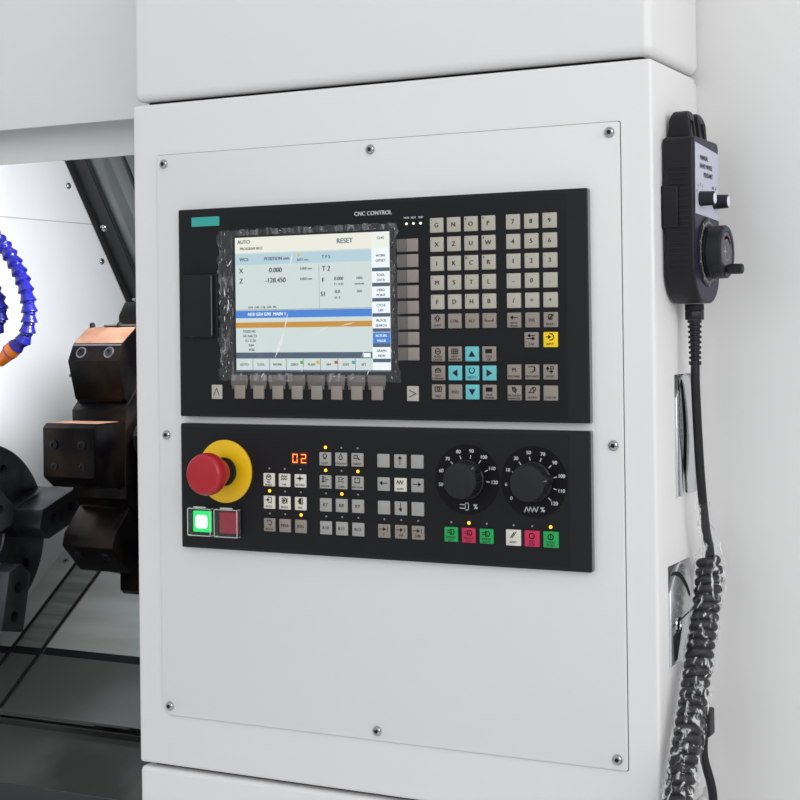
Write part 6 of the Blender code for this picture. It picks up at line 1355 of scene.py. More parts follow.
def emergency_stop():
    """Yellow disc, black collar and red mushroom head."""
    low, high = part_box("estop_ring")
    space = over("estop_ring", high.y)
    ring = Shape(space)
    ring.slab(circle(0.030, 64), 0.0, high.y - low.y, [circle(0.0125, 32)], 0.0004, 2)
    ring.put("estop_disc", YELLOW, MACHINE, ["estop_ring"], 35.0, "yellow_plastic")
    top = high.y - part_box("estop_button")[0].y
    shape = Shape(space)
    shape.turned([(0.0, top), (0.0150, top - 0.0002), (0.0166, top - 0.0004), (0.0178, top - 0.0010),
                  (0.0188, top - 0.0024), (0.0197, top - 0.0052), (0.0200, top - 0.0090),
                  (0.0198, top - 0.0120),
                  (0.0188, top - 0.0150), (0.0172, top - 0.0178), (0.0150, top - 0.0205),
                  (0.0128, top - 0.0225),
                  (0.0126, 0.012), (0.0, 0.012)], 48)
    shape.put("estop_head", RED, "estop", ["estop_button"], 30.0, "red_plastic")
    collar = Shape(space)
    collar.slab(circle(0.0136, 40), 0.0022, 0.0064, [circle(0.0123, 40)], 0.0004, 1)
    collar.put("estop_collar", SHADOW_BLACK)
    stem = Shape(space)
    stem.cylinder((0, 0, 0.0087), 0.0119, 0.0068, 32)
    stem.put("estop_stem", SHADOW_BLACK, "estop")


emergency_stop()


def push_buttons():
    """Lit green and red square buttons with black frames and clear hinged hoods."""
    for name, colour, glow, slot in (("start", "#19d968", 1.25, "green_plastic"),
                                     ("stop", "#a0142f", 0.62, "red_plastic")):
        space = over(name + "_button")
        outer = Shape(space)
        outer.slab(rectangle(-0.0125, -0.0125, 0.0125, 0.0125, 0.001), 0.0, 0.0025,
                   [rectangle(-0.0102, -0.0102, 0.0102, 0.0102)], 0.0004, 2)
        outer.put(name + "_frame", BEZEL)
        cap = Shape(space)
        cap.block((-0.0100, -0.0100, -0.004), (0.0100, 0.0100, 0.0045), 0.0009, 3)
        lens = glowing(name + "_lens", colour, glow)
        cap.put(name + "_cap", lens, name + "_button", [name + "_button"], 35.0, slot)
        if name == "start":
            core = Shape(space)
            core.slab(rectangle(-0.0068, -0.0064, 0.0068, 0.0064, 0.003), 0.0045, 0.00465)
            core.put("start_hot_spot", glowing("start_core", "#e4fff0", 1.5), "start_button")
        low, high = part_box(name + "_guard")
        wide, deep = high.x - low.x, 0.0066
        hood = Shape(over(name + "_button", high.y))
        half = wide / 2
        hood.slab(rectangle(-half, -half, half, half, 0.0015), 0.0, deep,
                  [rectangle(-half + 0.0012, -half + 0.0012, half - 0.0012, half - 0.0012, 0.0008)], 0.0003,
                  2)
        hood.slab(rectangle(-half + 0.001, -half + 0.001, half - 0.001, half - 0.001), deep - 0.0012,
                  deep - 0.0002)
        hood.put(name + "_hood", GUARD_CLEAR, name + "_guard", [name + "_guard"], 35.0, "clear")
        rim = Shape(over(name + "_button", high.y - deep))
        edge = half - 0.0006
        outline = [*rectangle(-edge, -edge, edge, edge, 0.0012), (-edge, -half + 0.0018)]
        rim.tube([(px, pz, -0.0004) for px, pz in outline], 0.00035, 6)
        for px in (-edge, edge):
            for pz in (-edge, edge):
                rim.tube([(px, pz, -0.0004), (px, pz, -deep + 0.0006)], 0.00028, 6)
        rim.tube([(-half * 0.5, half + 0.0006, -0.002), (half * 0.5, half + 0.0006, -0.002)], 0.0007, 8)
        rim.put(name + "_hood_rim", GUARD_EDGE, name + "_guard")


push_buttons()


def override_knobs():
    """Grooved rotary knobs on their scale discs, each with a grey painted highlight on its beak."""
    for name, body, aim in (("spindle_override_knob", "spindle_knob", 42.0),
                            ("feed_override_knob", "feed_knob", 8.0)):
        space = over(name)
        shape = Shape(space)
        bm = bmesh.new()
        sides = 120
        rings = []
        profile = [(0.0172, 0.0006), (0.0172, 0.0035), (0.0164, 0.0042), (0.0160, 0.0165), (0.0152, 0.0178),
                   (0.0138, 0.0182)]
        for k, (radius, height) in enumerate(profile):
            ring = []
            for i in range(sides):
                a = 2 * math.pi * i / sides
                groove = 0.00045 if 2 <= k <= 4 and i % 5 == 0 else 0.0
                r = radius - groove
                ring.append(bm.verts.new((r * math.cos(a), r * math.sin(a), height)))
            rings.append(ring)
        bridge(bm, rings)
        bm.faces.new(rings[-1])
        bm.faces.new(reversed(rings[0]))
        bmesh.ops.recalc_face_normals(bm, faces=bm.faces)
        shape.merge(bm)
        shape.slab([(0.0120, -0.0078), (0.0186, -0.0024), (0.0190, 0.0), (0.0186, 0.0024), (0.0120, 0.0078)],
                   0.0008, 0.0166, (), 0.0010, 2, spun(aim))
        shape.put(name + "_look", KNOB_BLACK, body, [name], 25.0, "black_plastic")
        # Grey line along the beak's ridge: a painted highlight.
        mark = Shape(space)
        mark.slab(rectangle(0.0140, -0.0003, 0.0184, 0.0003), 0.0164, 0.01675, (), 0.0, 1, spun(aim))
        mark.put(name + "_mark", LAMP_OFF, body)


override_knobs()


def travelling_keys():
    """Reset, feed stop and cycle start keys."""
    for name, mat, icon, captions in (("reset_key", KEY_PALE, "slashes", ("RESET",)),
                                      ("feed_stop_key", KEY_CRIMSON, "ring", ("FEED", "STOP")),
                                      ("cycle_start_key", KEY_GREEN, "ring_bar", ("CYCLE", "START"))):
        low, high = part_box(name)
        space = over(name)
        cap = Shape(space)
        half = (high.x - low.x) / 2
        cap.block((-half, -half, -0.003), (half, half, 0.0018), 0.0007, 3)
        cap.put(name + "_cap", mat, name, [name], 35.0)
        ink = Shape(space)
        key_legend(ink, at(0, 0, 0.00185), icon, captions)
        ink.put(name + "_legend", INK, name)


travelling_keys()

# %% [markdown]
# ## Pendant and latches
# The hand wheel box on the column's side with its wheel and knobs, and the chrome paddle latches.

# %%
CASE_LOW, CASE_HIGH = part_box("pendant_case")
CASE_DEPTH = 0.028
HANGER_HEIGHT = 0.024
WHEEL_DROP = 0.098


def pendant():
    """Hand wheel pendant hanging on the column's side."""
    back = CASE_LOW.x
    face = back + CASE_DEPTH
    y0, y1 = CASE_LOW.y, CASE_HIGH.y
    top = CASE_HIGH.z - HANGER_HEIGHT
    low = CASE_LOW.z

    def outline(inset=0.0):
        """Outline of the case, round at its foot and nearly square at its top."""
        return (arc((y0 + 0.030, low + 0.030), 0.030 - inset, 180, 270, 10)
                + arc((y1 - 0.030, low + 0.030), 0.030 - inset, 270, 360, 10)
                + arc((y1 - 0.006, top - 0.006), 0.006 - inset, 0, 90, 4)
                + arc((y0 + 0.006, top - 0.006), 0.006 - inset, 90, 180, 4))

    case = Shape(SIDE)
    case.slab(outline(), back + 0.001, face, (), 0.0022, 4)
    for i in range(20):
        z = top - 0.028 - 0.0046 * i
        for y in (y0 - 0.0006, y1 - 0.0012):
            case.block((y, z, back + 0.006), (y + 0.0018, z + 0.0020, face - 0.0045), 0.0004, 2)
    middle = (y0 + y1) / 2
    for side in (-1, 1):
        inner, outer = middle + side * 0.005, middle + side * 0.0255
        a, b = min(inner, outer), max(inner, outer)
        strap = [(a, top - 0.004), (b, top - 0.004)]
        if side > 0:
            strap += arc((b - 0.009, top + 0.0145), 0.009, 0, 90, 6)
            strap += [(a + 0.003, top + 0.0235), (a, top + 0.0205)]
        else:
            strap += [(b, top + 0.0205), (b - 0.003, top + 0.0235)]
            strap += arc((a + 0.009, top + 0.0145), 0.009, 90, 180, 6)
        hole_a, hole_b = (a + 0.0075, b - 0.0055) if side < 0 else (a + 0.0055, b - 0.0075)
        loop = Shape()
        loop.slab(strap, back + 0.001, back + 0.022,
                  [rectangle(hole_a, top + 0.0008, hole_b, top + 0.0155, 0.002)], 0.0012, 3)
        for vert in loop.bm.verts:
            share = max(0.0, (vert.co.y - top) / 0.0235)
            middle_out = back + 0.0125
            vert.co.z = middle_out + (vert.co.z - middle_out) * (1 - 0.45 * share * share)
        case.merge(loop.bm)
    case.block((middle - 0.0055, top + 0.012, back + 0.008), (middle + 0.0055, top + 0.018, back + 0.016),
               0.001, 2)
    case.put("pendant_case_look", PLASTIC, MACHINE, ["pendant_case"], 32.0, "black_plastic")
    # Thin violet sheet on the case's front face: a painted reflection.
    front = Shape(SIDE)
    front.slab(outline(0.0025), face - 0.0001, face + 0.00008)
    front.put("pendant_front_sheen", PENDANT_SHEEN)
    clip = Shape()
    clip.block((back + 0.0002, y0 - 0.0022, top - 0.078), (back + 0.0145, y0 - 0.0004, top - 0.042), 0.0008,
               3)
    clip.block((back + 0.0002, y0 - 0.0022, top - 0.078), (back + 0.002, y0 + 0.010, top - 0.042), 0.0006, 2)
    clip.put("pendant_clip", PLASTIC)
    panel_face = Shape(at(face + 0.00012, 0, 0) @ SIDE)
    left, right = y0 + 0.0035, y1 - 0.0035
    panel_face.slab([(left, top - 0.066), (right, top - 0.0690), (right, top - 0.010),
                     (left + 0.001, top - 0.0055)], 0.0, 0.0004)
    panel_face.put("pendant_label", LABEL)
    ink = Shape(at(face + 0.0007, 0, 0) @ SIDE)
    for i, words in enumerate(("MANUAL", "HAND WHEEL", "PENDANT")):
        ink.words(words, middle - 0.009 + 0.006 * i, top - 0.0175 - 0.0072 * i, 0.0060)
    for y, signs in ((y0 + 0.0175, "X Y Z 4 O".split()), (y1 - 0.0175, "1 10 100 O".split())):
        for i, sign in enumerate(signs):
            a = math.radians(30 + 120 * i / (len(signs) - 1))
            ink.words(sign, y + 0.0125 * math.cos(a), top - 0.053 + 0.0125 * math.sin(a), 0.0034)
    ink.put("pendant_legends", INK)
    dial = Shape(at(face, middle, top - WHEEL_DROP) @ LYING)
    dial.turned([(0.0, 0.0010), (0.0262, 0.0010), (0.0268, 0.0015), (0.0294, 0.0015), (0.0300, 0.0009),
                 (0.0300, -0.001), (0.0, -0.001)], 64)
    dial.put("wheel_scale", PLASTIC)
    ticks = Shape(at(face + 0.0017, middle, top - WHEEL_DROP) @ SIDE)
    for i in range(100):
        a = 2 * math.pi * i / 100
        inner = 0.0238 if i % 10 == 0 else 0.0246 if i % 5 == 0 else 0.0252
        ticks.strokes([spoke(a, inner, 0.0268)], 0.0006)
        if i % 10 == 5:
            ticks.strokes([spoke(a, 0.0278, 0.0290)], 0.0012)
    ticks.put("wheel_ticks", INK_WHITE)


pendant()


def hand_wheel():
    """Pulse wheel with a face disc and its turning grip."""
    low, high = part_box("pendant_handwheel")
    y, z = (low.y + high.y) / 2, (low.z + high.z) / 2
    space = at(low.x, y, z) @ LYING
    wheel = Shape(space)
    wheel.turned([(0.0, 0.0150), (0.0175, 0.0150), (0.0180, 0.0158), (0.0215, 0.0158), (0.0229, 0.0146),
                  (0.0230, 0.0030), (0.0216, 0.0018), (0.0216, 0.0), (0.0, 0.0)], 56)
    angle = math.radians(340.0)
    grip = (0.016 * math.cos(angle), 0.016 * math.sin(angle), 0.0158)
    wheel.turned([(0.0, 0.0148), (0.0036, 0.0148), (0.0044, 0.0138), (0.0045, 0.0030), (0.0038, 0.0012),
                  (0.0032, 0.0), (0.0, 0.0)], 20, Matrix.Translation(grip))
    wheel.put("hand_wheel", KNOB_BLACK, "handwheel", ["pendant_handwheel"], 30.0, "black_plastic")
    # Thin violet ring on the wheel's rim: a painted reflection.
    rim = Shape(space)
    rim.slab(circle(0.0218, 56), 0.0157, 0.01592, [circle(0.0182, 56)])
    rim.put("hand_wheel_rim_sheen", PENDANT_SHEEN, "handwheel")
    disc = Shape(space)
    disc.cylinder((0, 0, 0.0151), 0.0172, 0.0004, 40)
    disc.put("hand_wheel_face", material("wheel_face", "#3a3a44", 0.3), "handwheel")
    mark = Shape(space)
    mark.strokes([arc((0, 0), 0.0125, 120, 215, 12)], 0.0022, 0.0155)
    mark.put("hand_wheel_mark", material("wheel_red", "#a5232b", 0.4), "handwheel")
    signs = Shape(space)
    signs.strokes([[(-0.004, -0.006), (0.004, -0.006)], [(0.0, -0.002), (0.0, -0.010)],
                   arc((0, 0), 0.0075, -40, 60, 6)], 0.0011, 0.0155)
    signs.put("hand_wheel_signs", INK_WHITE, "handwheel")


hand_wheel()


def selectors():
    """Two pointer knobs with bright end caps."""
    for node, body in (("pendant_axis_knob", "axis_knob"), ("pendant_step_knob", "step_knob")):
        low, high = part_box(node)
        y, z = low.y + 0.0065, (low.z + high.z) / 2
        space = at(low.x, y, z) @ LYING
        knob = Shape(space)
        knob.turned([(0.0, 0.0128), (0.0052, 0.0128), (0.0060, 0.0120), (0.0063, 0.0030), (0.0065, 0.0),
                     (0.0, 0.0)], 32)
        knob.block((-0.0010, 0.0, 0.0030), (0.0010, 0.0072, 0.0122), 0.0003)
        knob.put(body + "_look", KNOB_BLACK, body, [node], 30.0, "black_plastic")
        cap = Shape(space)
        cap.cylinder((0, 0, 0.0130), 0.0046, 0.0006, 28, None, 0.0002)
        cap.put(body + "_cap", CAP_PALE, body)


selectors()


def gland():
    """Hexagon gland nut and ribbed bend relief."""
    low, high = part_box("pendant_gland")
    space = at((low.x + high.x) / 2, (low.y + high.y) / 2, 0.0)
    nut = Shape(space)
    nut.cylinder((0, 0, high.z - 0.0030), 0.0083, 0.0060, 24, None, 0.0006)
    nut.cylinder((0, 0, high.z - 0.0100), 0.0085, 0.0078, 6, None, 0.0006)
    nut.put("gland_nut", PLASTIC, MACHINE, ["pendant_gland"], 30.0, "rubber")
    relief = Shape(space)
    top = high.z - 0.014
    profile = [(0.0, top), (0.0056, top)]
    ribs = 8
    pitch = (top - low.z - 0.003) / ribs
    for i in range(ribs):
        radius = 0.0062 - 0.0010 * i / ribs
        z = top - pitch * i
        profile += [(radius, z - 0.0004), (radius, z - pitch * 0.5), (radius - 0.0016, z - pitch * 0.6),
                    (radius - 0.0016, z - pitch * 0.95)]
    profile += [(0.0054, low.z + 0.003), (0.0054, low.z), (0.0, low.z)]
    relief.turned(profile, 24)
    relief.put("bend_relief", RUBBER, MACHINE, (), 30.0)
    outlet = Shape()
    y = COLUMN_FRONT + 0.100
    z = COLUMN_TOP - 0.590
    outlet.block((COLUMN_RIGHT - 0.001, y - 0.009, z), (COLUMN_RIGHT + 0.016, y + 0.009, z + 0.024), 0.002,
                 3)
    outlet.put("cord_outlet", PLASTIC)


gland()


def leaf(low, high, face, body):
    """Long pointed grip, bowed outwards, in the upper latch."""
    rows, across = 24, 8
    bm = bmesh.new()
    rings = []
    for r in range(rows + 1):
        t = r / rows
        z = high.z - 0.004 - (high.z - low.z - 0.006) * t
        half = 0.0022
        if 0.0 < t < 0.86:
            half += 0.0088 * math.sin(math.pi * min(1.0, 1.15 * t + 0.02)) ** 0.7
        middle = low.y + 0.012 + 0.012 * t
        ring = []
        for k in range(across + 1):
            bow = 0.0040 * math.sin(math.pi * k / across) * half / 0.011
            ring.append(bm.verts.new((face + 0.0006 + bow, middle + half * (2 * k / across - 1), z)))
        rings.append(ring)
    for ring, after in zip(rings, rings[1:]):
        for k in range(across):
            bm.faces.new((ring[k], ring[k + 1], after[k + 1], after[k]))
    bmesh.ops.solidify(bm, geom=bm.faces[:], thickness=0.0012)
    bmesh.ops.recalc_face_normals(bm, faces=bm.faces)
    shape = Shape()
    shape.merge(bm)
    shape.put(body + "_leaf", CHROME, body, (), 40.0)


def latches():
    """Chrome paddle latches in the column's side, each in a thin bezel."""
    for node in ("latch_upper", "latch_lower"):
        low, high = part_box(node)
        face = high.x
        wide, tall = high.y - low.y, high.z - low.z
        paddle = Shape(SIDE)
        rise = wide * 0.35
        top = [(high.y - wide * i / 12, high.z - rise * (1 - math.sin(math.pi * i / 12))) for i in range(13)]
        paddle.slab([(low.y, low.z), (high.y, low.z)] + top, face - 0.005, face, (), 0.0008, 3)
        paddle.put(node + "_paddle", SATIN, node, [node], 35.0, "chrome")
        # Thin black sheets on the paddles: painted shade in their grooves and recesses.
        groove = Shape(at(face, 0, 0) @ SIDE)
        shares = [i / 14 for i in range(15)]
        if node == "latch_upper":
            curve = [(0.10 + 0.16 * t, 0.02 + 0.90 * t,
                      0.045 * math.sin(math.pi * t) + 0.012) for t in shares]
        else:
            curve = [(0.06 + 0.80 * t ** 0.75, 0.04 + 0.30 * t ** 1.6, 0.05 * (1 - t) ** 0.6 + 0.02)
                     for t in shares]
        outer = [(low.y + wide * (u + w), high.z - tall * (v + 0.02)) for u, v, w in curve]
        inner = [(low.y + wide * (u - w * 0.4), high.z - tall * (v + 0.05)) for u, v, w in curve]
        groove.slab(outer + inner[::-1], -0.0005, 0.0002)
        if node == "latch_lower":
            corners = ((0.08, 0.30), (0.48, 0.34), (0.26, 0.04), (0.12, 0.03))
            groove.slab([(low.y + wide * u, low.z + tall * v) for u, v in corners], -0.0005, 0.0002)
            groove.strokes([[(low.y + wide * 0.08, low.z + tall * 0.40),
                             (high.y - 0.004, low.z + tall * 0.46)]], 0.0012, 0.0003)
        groove.put(node + "_groove", SHADOW_BLACK, node)
        if node == "latch_upper":
            leaf(low, high, face, node)
    low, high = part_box("latch_lower")
    barrel = Shape(at(high.x, low.y + 0.020, low.z + 0.033) @ LYING)
    barrel.turned([(0.0, 0.0004), (0.0050, 0.0004), (0.0054, 0.0012), (0.0066, 0.0012), (0.0072, 0.0)], 28)
    barrel.put("latch_barrel", CHROME, "latch_lower")


latches()

# %% [markdown]
# ## Work space: spindle, chuck, turret, covers and hoses
# `about` gives a space round an axis along the machine. Chuck and turret repeat their parts in such spaces,
# and `SLOPE` is the space of the inclined bed.

# %%
SPINDLE_LOW, SPINDLE_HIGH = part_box("spindle")
SPINDLE_Y = (SPINDLE_LOW.y + SPINDLE_HIGH.y) / 2
SPINDLE_Z = (SPINDLE_LOW.z + SPINDLE_HIGH.z) / 2
FIRST_JAW = 18
SLANT = math.radians(35.0)
CENTRE_HEIGHT = 0.23
TURRET_OUT = 0.202
SLOPE = (at(0, SPINDLE_Y + CENTRE_HEIGHT * math.sin(SLANT), SPINDLE_Z - CENTRE_HEIGHT * math.cos(SLANT))
         @ Matrix.Rotation(SLANT, 4, "X"))
TURRET = SLOPE @ at(0, TURRET_OUT, CENTRE_HEIGHT)
WORK_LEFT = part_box("headstock_wall")[1].x + 0.0003


def about(y, z, angle):
    """Space at an X axis through a place; its X points outwards at an angle, its Z along the machine."""
    return at(0, y, z) @ SIDE @ spun(angle)


def socket_screw(shape, dark, place, radius, height):
    """Round screw head with a recess and a dark hexagon in it, painted shade of the socket, standing on a
    face.
    """
    shape.turned([(0.0, 0.0), (radius, 0.0), (radius, height * 0.86), (radius * 0.9, height),
                  (radius * 0.5, height), (radius * 0.48, height * 0.3), (0.0, height * 0.3)], 20, place)
    dark.cylinder((0, 0, height * 0.42), radius * 0.48, height * 0.1, 6, None, 0.0, place)


def chuck():
    """Power chuck: body with jaw slots and screws."""
    low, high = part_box("chuck_body")
    face, back, radius = high.x, low.x, (high.z - low.z) / 2
    axis = about(SPINDLE_Y, SPINDLE_Z, 0)
    body = Shape(axis)
    body.turned([(0.0, face - 0.060), (0.0375, face - 0.060), (0.038, face - 0.002), (0.040, face),
                 (0.0560, face), (0.0562, face - 0.0010), (0.0580, face - 0.0010), (0.0582, face),
                 (radius - 0.004, face), (radius - 0.001, face - 0.0012), (radius, face - 0.004),
                 (radius, face - 0.034), (radius - 0.0012, face - 0.035), (radius - 0.0012, face - 0.038),
                 (radius, face - 0.039), (radius, back + 0.004), (radius - 0.004, back), (0.0, back)], 96)
    made = body.put("chuck_body_look", CHUCK_STEEL, "spindle_and_chuck", ["chuck_body"], 30.0, "dark_steel")
    tools = Shape()
    jaw_angles = [FIRST_JAW + 120 * i for i in range(3)]
    jaw_spaces = [about(SPINDLE_Y, SPINDLE_Z, angle) for angle in jaw_angles]
    for space in jaw_spaces:
        tools.block((0.0, -0.013, face - 0.022), (radius + 0.01, 0.013, face + 0.01), 0.0, 1, space)
    subtract(made, tools)
    holes = Shape()
    for space in jaw_spaces:
        holes.block((0.0, -0.0172, face - 0.0215), (radius + 0.01, 0.0172, face - 0.0145), 0.0, 1, space)
        for side in (-1, 1):
            holes.cylinder((0.094, side * 0.020, face), 0.0072, 0.028, 20, None, 0.0, space @ spun(60))
        holes.cylinder((0.074, 0.0, face), 0.0048, 0.020, 16, None, 0.0, space @ spun(60))
    subtract(made, holes)
    screws, dark = Shape(), Shape()
    for angle in jaw_angles:
        space = about(SPINDLE_Y, SPINDLE_Z, angle + 60)
        for side in (-1, 1):
            socket_screw(screws, dark, space @ at(0.094, side * 0.020, face - 0.0138), 0.0064, 0.007)
        socket_screw(screws, dark, space @ at(radius - 0.0006, 0, face - 0.070) @ LYING, 0.0050, 0.0016)
    screws.put("chuck_screws", OXIDE, "spindle_and_chuck")
    dark.put("chuck_sockets", SHADOW_BLACK, "spindle_and_chuck")
    ring = Shape(axis)
    ring.turned([(0.0300, face - 0.012), (0.0378, face - 0.012), (0.0378, face - 0.0140),
                 (0.0300, face - 0.0140), (0.0300, face - 0.012)], 48)
    ring.put("bore_ring", STEEL, "spindle_and_chuck")
    for i, space in enumerate(jaw_spaces):
        jaw(i + 1, space, face)


def jaw(index, space, face):
    """Top jaw: bevelled block with a nose, serrated base joint and two counterbored screws."""
    shape = Shape(space)
    top = face + 0.070
    outline = [(0.034, -0.0025), (0.0460, -0.022), (0.124, -0.022), (0.124, 0.022), (0.0460, 0.022),
               (0.034, 0.0025)]
    shape.slab(outline, face + 0.019, top, (), 0.0016, 2)
    shape.slab([(0.045, -0.0215), (0.1235, -0.0215), (0.1235, 0.0215), (0.045, 0.0215)], face + 0.0004,
               face + 0.0182, (), 0.001, 2)
    shape.block((0.047, -0.0127, face - 0.0214), (0.118, 0.0127, face + 0.004), 0.0008)
    for i in range(22):
        x = 0.0475 + 0.0034 * i
        shape.block((x, -0.0212, face + 0.0178), (x + 0.0017, 0.0212, face + 0.0194))
    node = f"chuck_jaw_{index}"
    made = shape.put(node + "_look", JAW_STEEL, f"jaw_{index}", [node], 30.0, "dark_steel")
    holes = Shape(space)
    for x in (0.0655, 0.1045):
        holes.cylinder((x, 0, top), 0.0078, 0.052, 28)
    subtract(made, holes)
    screws, dark = Shape(), Shape()
    for x in (0.0655, 0.1045):
        socket_screw(screws, dark, space @ at(x, 0, top - 0.026), 0.0070, 0.010)
    screws.put(f"jaw_{index}_screws", CHUCK_STEEL, f"jaw_{index}")
    dark.put(f"jaw_{index}_sockets", SHADOW_BLACK, f"jaw_{index}")


chuck()


def turret():
    """Eight-station disc with bolted tool holders of three kinds."""
    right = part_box("turret_disc")[1].x
    left = right - 0.090
    y, z = TURRET.translation.y, TURRET.translation.z
    corner = 0.142 / math.cos(math.pi / 8)
    body = Shape(about(y, z, 180))
    octagon = arc((0.0, 0.0), corner, 22.5, 337.5, 7)
    body.slab(octagon, left, right, (), 0.003, 2)
    body.turned([(0.0, left - 0.0052), (0.052, left - 0.0052), (0.055, left - 0.0030), (0.055, left + 0.001),
                 (0.0, left + 0.001)], 56)
    body.turned([(0.094, left + 0.001), (0.094, left - 0.0022), (0.096, left - 0.0030),
                 (0.110, left - 0.0030),
                 (0.112, left - 0.0022), (0.112, left + 0.001)], 72)
    holders, faces, screws, dark, steel, plugs, marks, rings = (Shape() for _ in range(8))
    plain, stepped, bored, slanted = range(4)
    outer = 0.205
    full_block = [(0.131, -0.044), (0.131, 0.044), (0.186, 0.0405), (outer, 0.026), (outer, -0.038),
                  (outer - 0.006, -0.044)]
    outlines = {
        plain: full_block,
        stepped: [(0.131, -0.042), (0.131, 0.044), (0.172, 0.044), (0.172, 0.026), (outer, 0.020),
                  (outer, -0.034), (0.190, -0.042)],
        bored: full_block,
        slanted: [(0.131, -0.044), (0.131, 0.044), (0.150, 0.0455), (0.196, 0.020), (0.2040, -0.004),
                  (0.1965, -0.044)],
    }
    for i in range(8):
        space = about(y, z, 180 + 45 * i)
        kind = i % 4
        holders.slab(outlines[kind], left + 0.003, right - 0.003, (), 0.0018, 2, space)
        holders.block((0.136, -0.046, left + 0.010), (0.147, 0.0462, right - 0.010), 0.001, 2, space)
        chamfer = space @ at(0.2000, 0.008, 0.0) @ spun(18.4)
        for zz in (left + 0.022, right - 0.022):
            if kind == slanted:
                place = chamfer @ at(-0.0004, 0.0, zz) @ LYING
                socket_screw(screws, dark, place, 0.0060, 0.0020)
                rings.turned([(0.0060, 0.0002), (0.0080, 0.0002), (0.0080, 0.0010), (0.0060, 0.0010),
                              (0.0060, 0.0002)], 28, place)
                dark.cylinder((0.1975, -0.0455, zz - 0.012), 0.0042, 0.004, 16, None, 0.0006, space)
                continue
            socket_screw(screws, dark, space @ at(outer - 0.0005, -0.016, zz) @ LYING, 0.0062, 0.0028)
            if kind == plain:
                socket_screw(screws, dark, space @ at(outer - 0.0005, 0.012, zz) @ LYING, 0.0050, 0.0022)
        for xx, yy in ((0.150, -0.030), (0.150, 0.030), (0.178, -0.034), (0.178, 0.030), (0.133, 0.0)):
            rings.turned([(0.0, 0.0012), (0.0014, 0.0012), (0.0022, 0.0006), (0.0022, 0.0), (0.0, 0.0)], 12,
                         space @ at(xx, yy, left + 0.0032 if xx > 0.14 else left) @ BACKWARDS)
        for yy in (-0.036, 0.036):
            socket_screw(screws, dark, space @ at(0.1425, yy, left + 0.0102) @ BACKWARDS, 0.0040, 0.0016)
        place = space @ at(0.168, 0.0 if kind != slanted else -0.006, left + 0.003) @ BACKWARDS
        if kind in (plain, bored):
            plugs.turned([(0.0125, 0.0002), (0.0170, 0.0002), (0.0170, 0.0012), (0.0162, 0.0020),
                          (0.0133, 0.0020), (0.0125, 0.0012)], 36, place)
            # Dark disc inside the plug ring: painted shade of the bore.
            if i != 0:
                dark.cylinder((0, 0, 0.0003), 0.0128, 0.0006, 30, None, 0.0, place)
        elif kind == stepped:
            plugs.turned([(0.0, 0.0022), (0.0090, 0.0022), (0.0104, 0.0010), (0.0104, 0.0), (0.0, 0.0)], 24,
                         place)
        else:
            steel.block((0.168, -0.040, left + 0.001), (0.190, 0.020, left + 0.0145), 0.0006, 2, space)
            steel.block((0.1885, -0.0425, left + 0.0020), (0.1925, -0.030, left + 0.0110), 0.0004, 2, space)
        if kind == slanted:
            ground = space @ at(0.2040, -0.004, 0.0) @ spun(-10.6)
            faces.block((-0.001, -0.0385, left + 0.0052), (0.0003, -0.0016, right - 0.0052), 0.0, 1, ground)
            rings.block((-0.001, -0.0125, left + 0.0052), (0.0004, -0.0098, right - 0.0052), 0.0, 1, chamfer)
            rings.block((0.180, -0.0462, left + 0.030), (0.1985, -0.0438, right - 0.004), 0.0006, 2, space)
        if kind == plain:
            faces.block((0.150, -0.0443, left + 0.0052), (0.1965, -0.0430, right - 0.0052), 0.0, 1, space)
        marks.words(str(i + 1), 0, 0, 0.011, 0.0, space @ at(0.122, 0.0, left - 0.0002)
                    @ BACKWARDS @ spun(90))
        socket_screw(screws, dark, about(y, z, 202.5 + 45 * i) @ at(0.082, 0, left + 0.0002)
                     @ BACKWARDS, 0.0075, 0.0050)
    space = about(y, z, 270)
    steel.turned([(0.0, left - 0.045), (0.0095, left - 0.045), (0.0104, left - 0.0440),
                  (0.0118, left - 0.030),
                  (0.0118, left + 0.008), (0.0, left + 0.008)], 32, space @ at(0.1735, 0, 0))
    body.put("turret_body", OXIDE, "turret", ["turret_disc"], 30.0, "dark_steel")
    holders.put("tool_holders", OXIDE, "turret")
    faces.put("holder_ground_faces", COPPER, "turret")
    screws.put("turret_screws", CHUCK_STEEL, "turret")
    dark.put("turret_sockets", SHADOW_BLACK, "turret")
    steel.put("turning_tools", STEEL, "turret")
    plugs.turned([(0.0, 0.0020), (0.0040, 0.0020), (0.0055, 0.0012), (0.0055, 0.0), (0.0, 0.0)], 20,
                 about(y, z, 160) @ at(0.137, 0, left) @ BACKWARDS)
    plugs.put("holder_plugs", BRASS, "turret")
    rings.put("holder_rings", STEEL, "turret")
    marks.put("station_numbers", INK_WHITE, "turret")


turret()


def cross_slide():
    """Turret housing with its covers and cooling ribs on the indexing motor."""
    dressed("x_slide", GUARD_GREY, "cross_slide", 0.003, 2, "dark_paint")
    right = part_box("x_slide")[1].x - 0.110
    extra, screws, dark = Shape(), Shape(), Shape()
    space = TURRET @ at(right, 0, 0)
    extra.block((-0.006, -0.080, -0.080), (0.003, 0.080, 0.080), 0.003, 2, space)
    for i in range(8):
        a = 45 * i + 22.5
        place = space @ at(0.003, 0, 0) @ LYING
        place = place @ spun(a) @ at(0.070, 0, 0)
        socket_screw(screws, dark, place, 0.0050, 0.0040)
    for i in range(9):
        x = 0.014 + 0.0105 * i
        extra.turned([(0.052, x), (0.0612, x), (0.0612, x + 0.004), (0.052, x + 0.004)], 40, space @ LYING)
    for side in (-1, 1):
        extra.block((-0.250, side * 0.1125 - 0.0015, -0.060), (-0.060, side * 0.1125 + 0.0015, 0.070),
                    0.0008, 2, space)
    extra.put("turret_housing_covers", MACHINE_GREY, "cross_slide")
    screws.put("turret_housing_screws", OXIDE, "cross_slide")
    dark.put("turret_housing_sockets", SHADOW_BLACK, "cross_slide")


cross_slide()


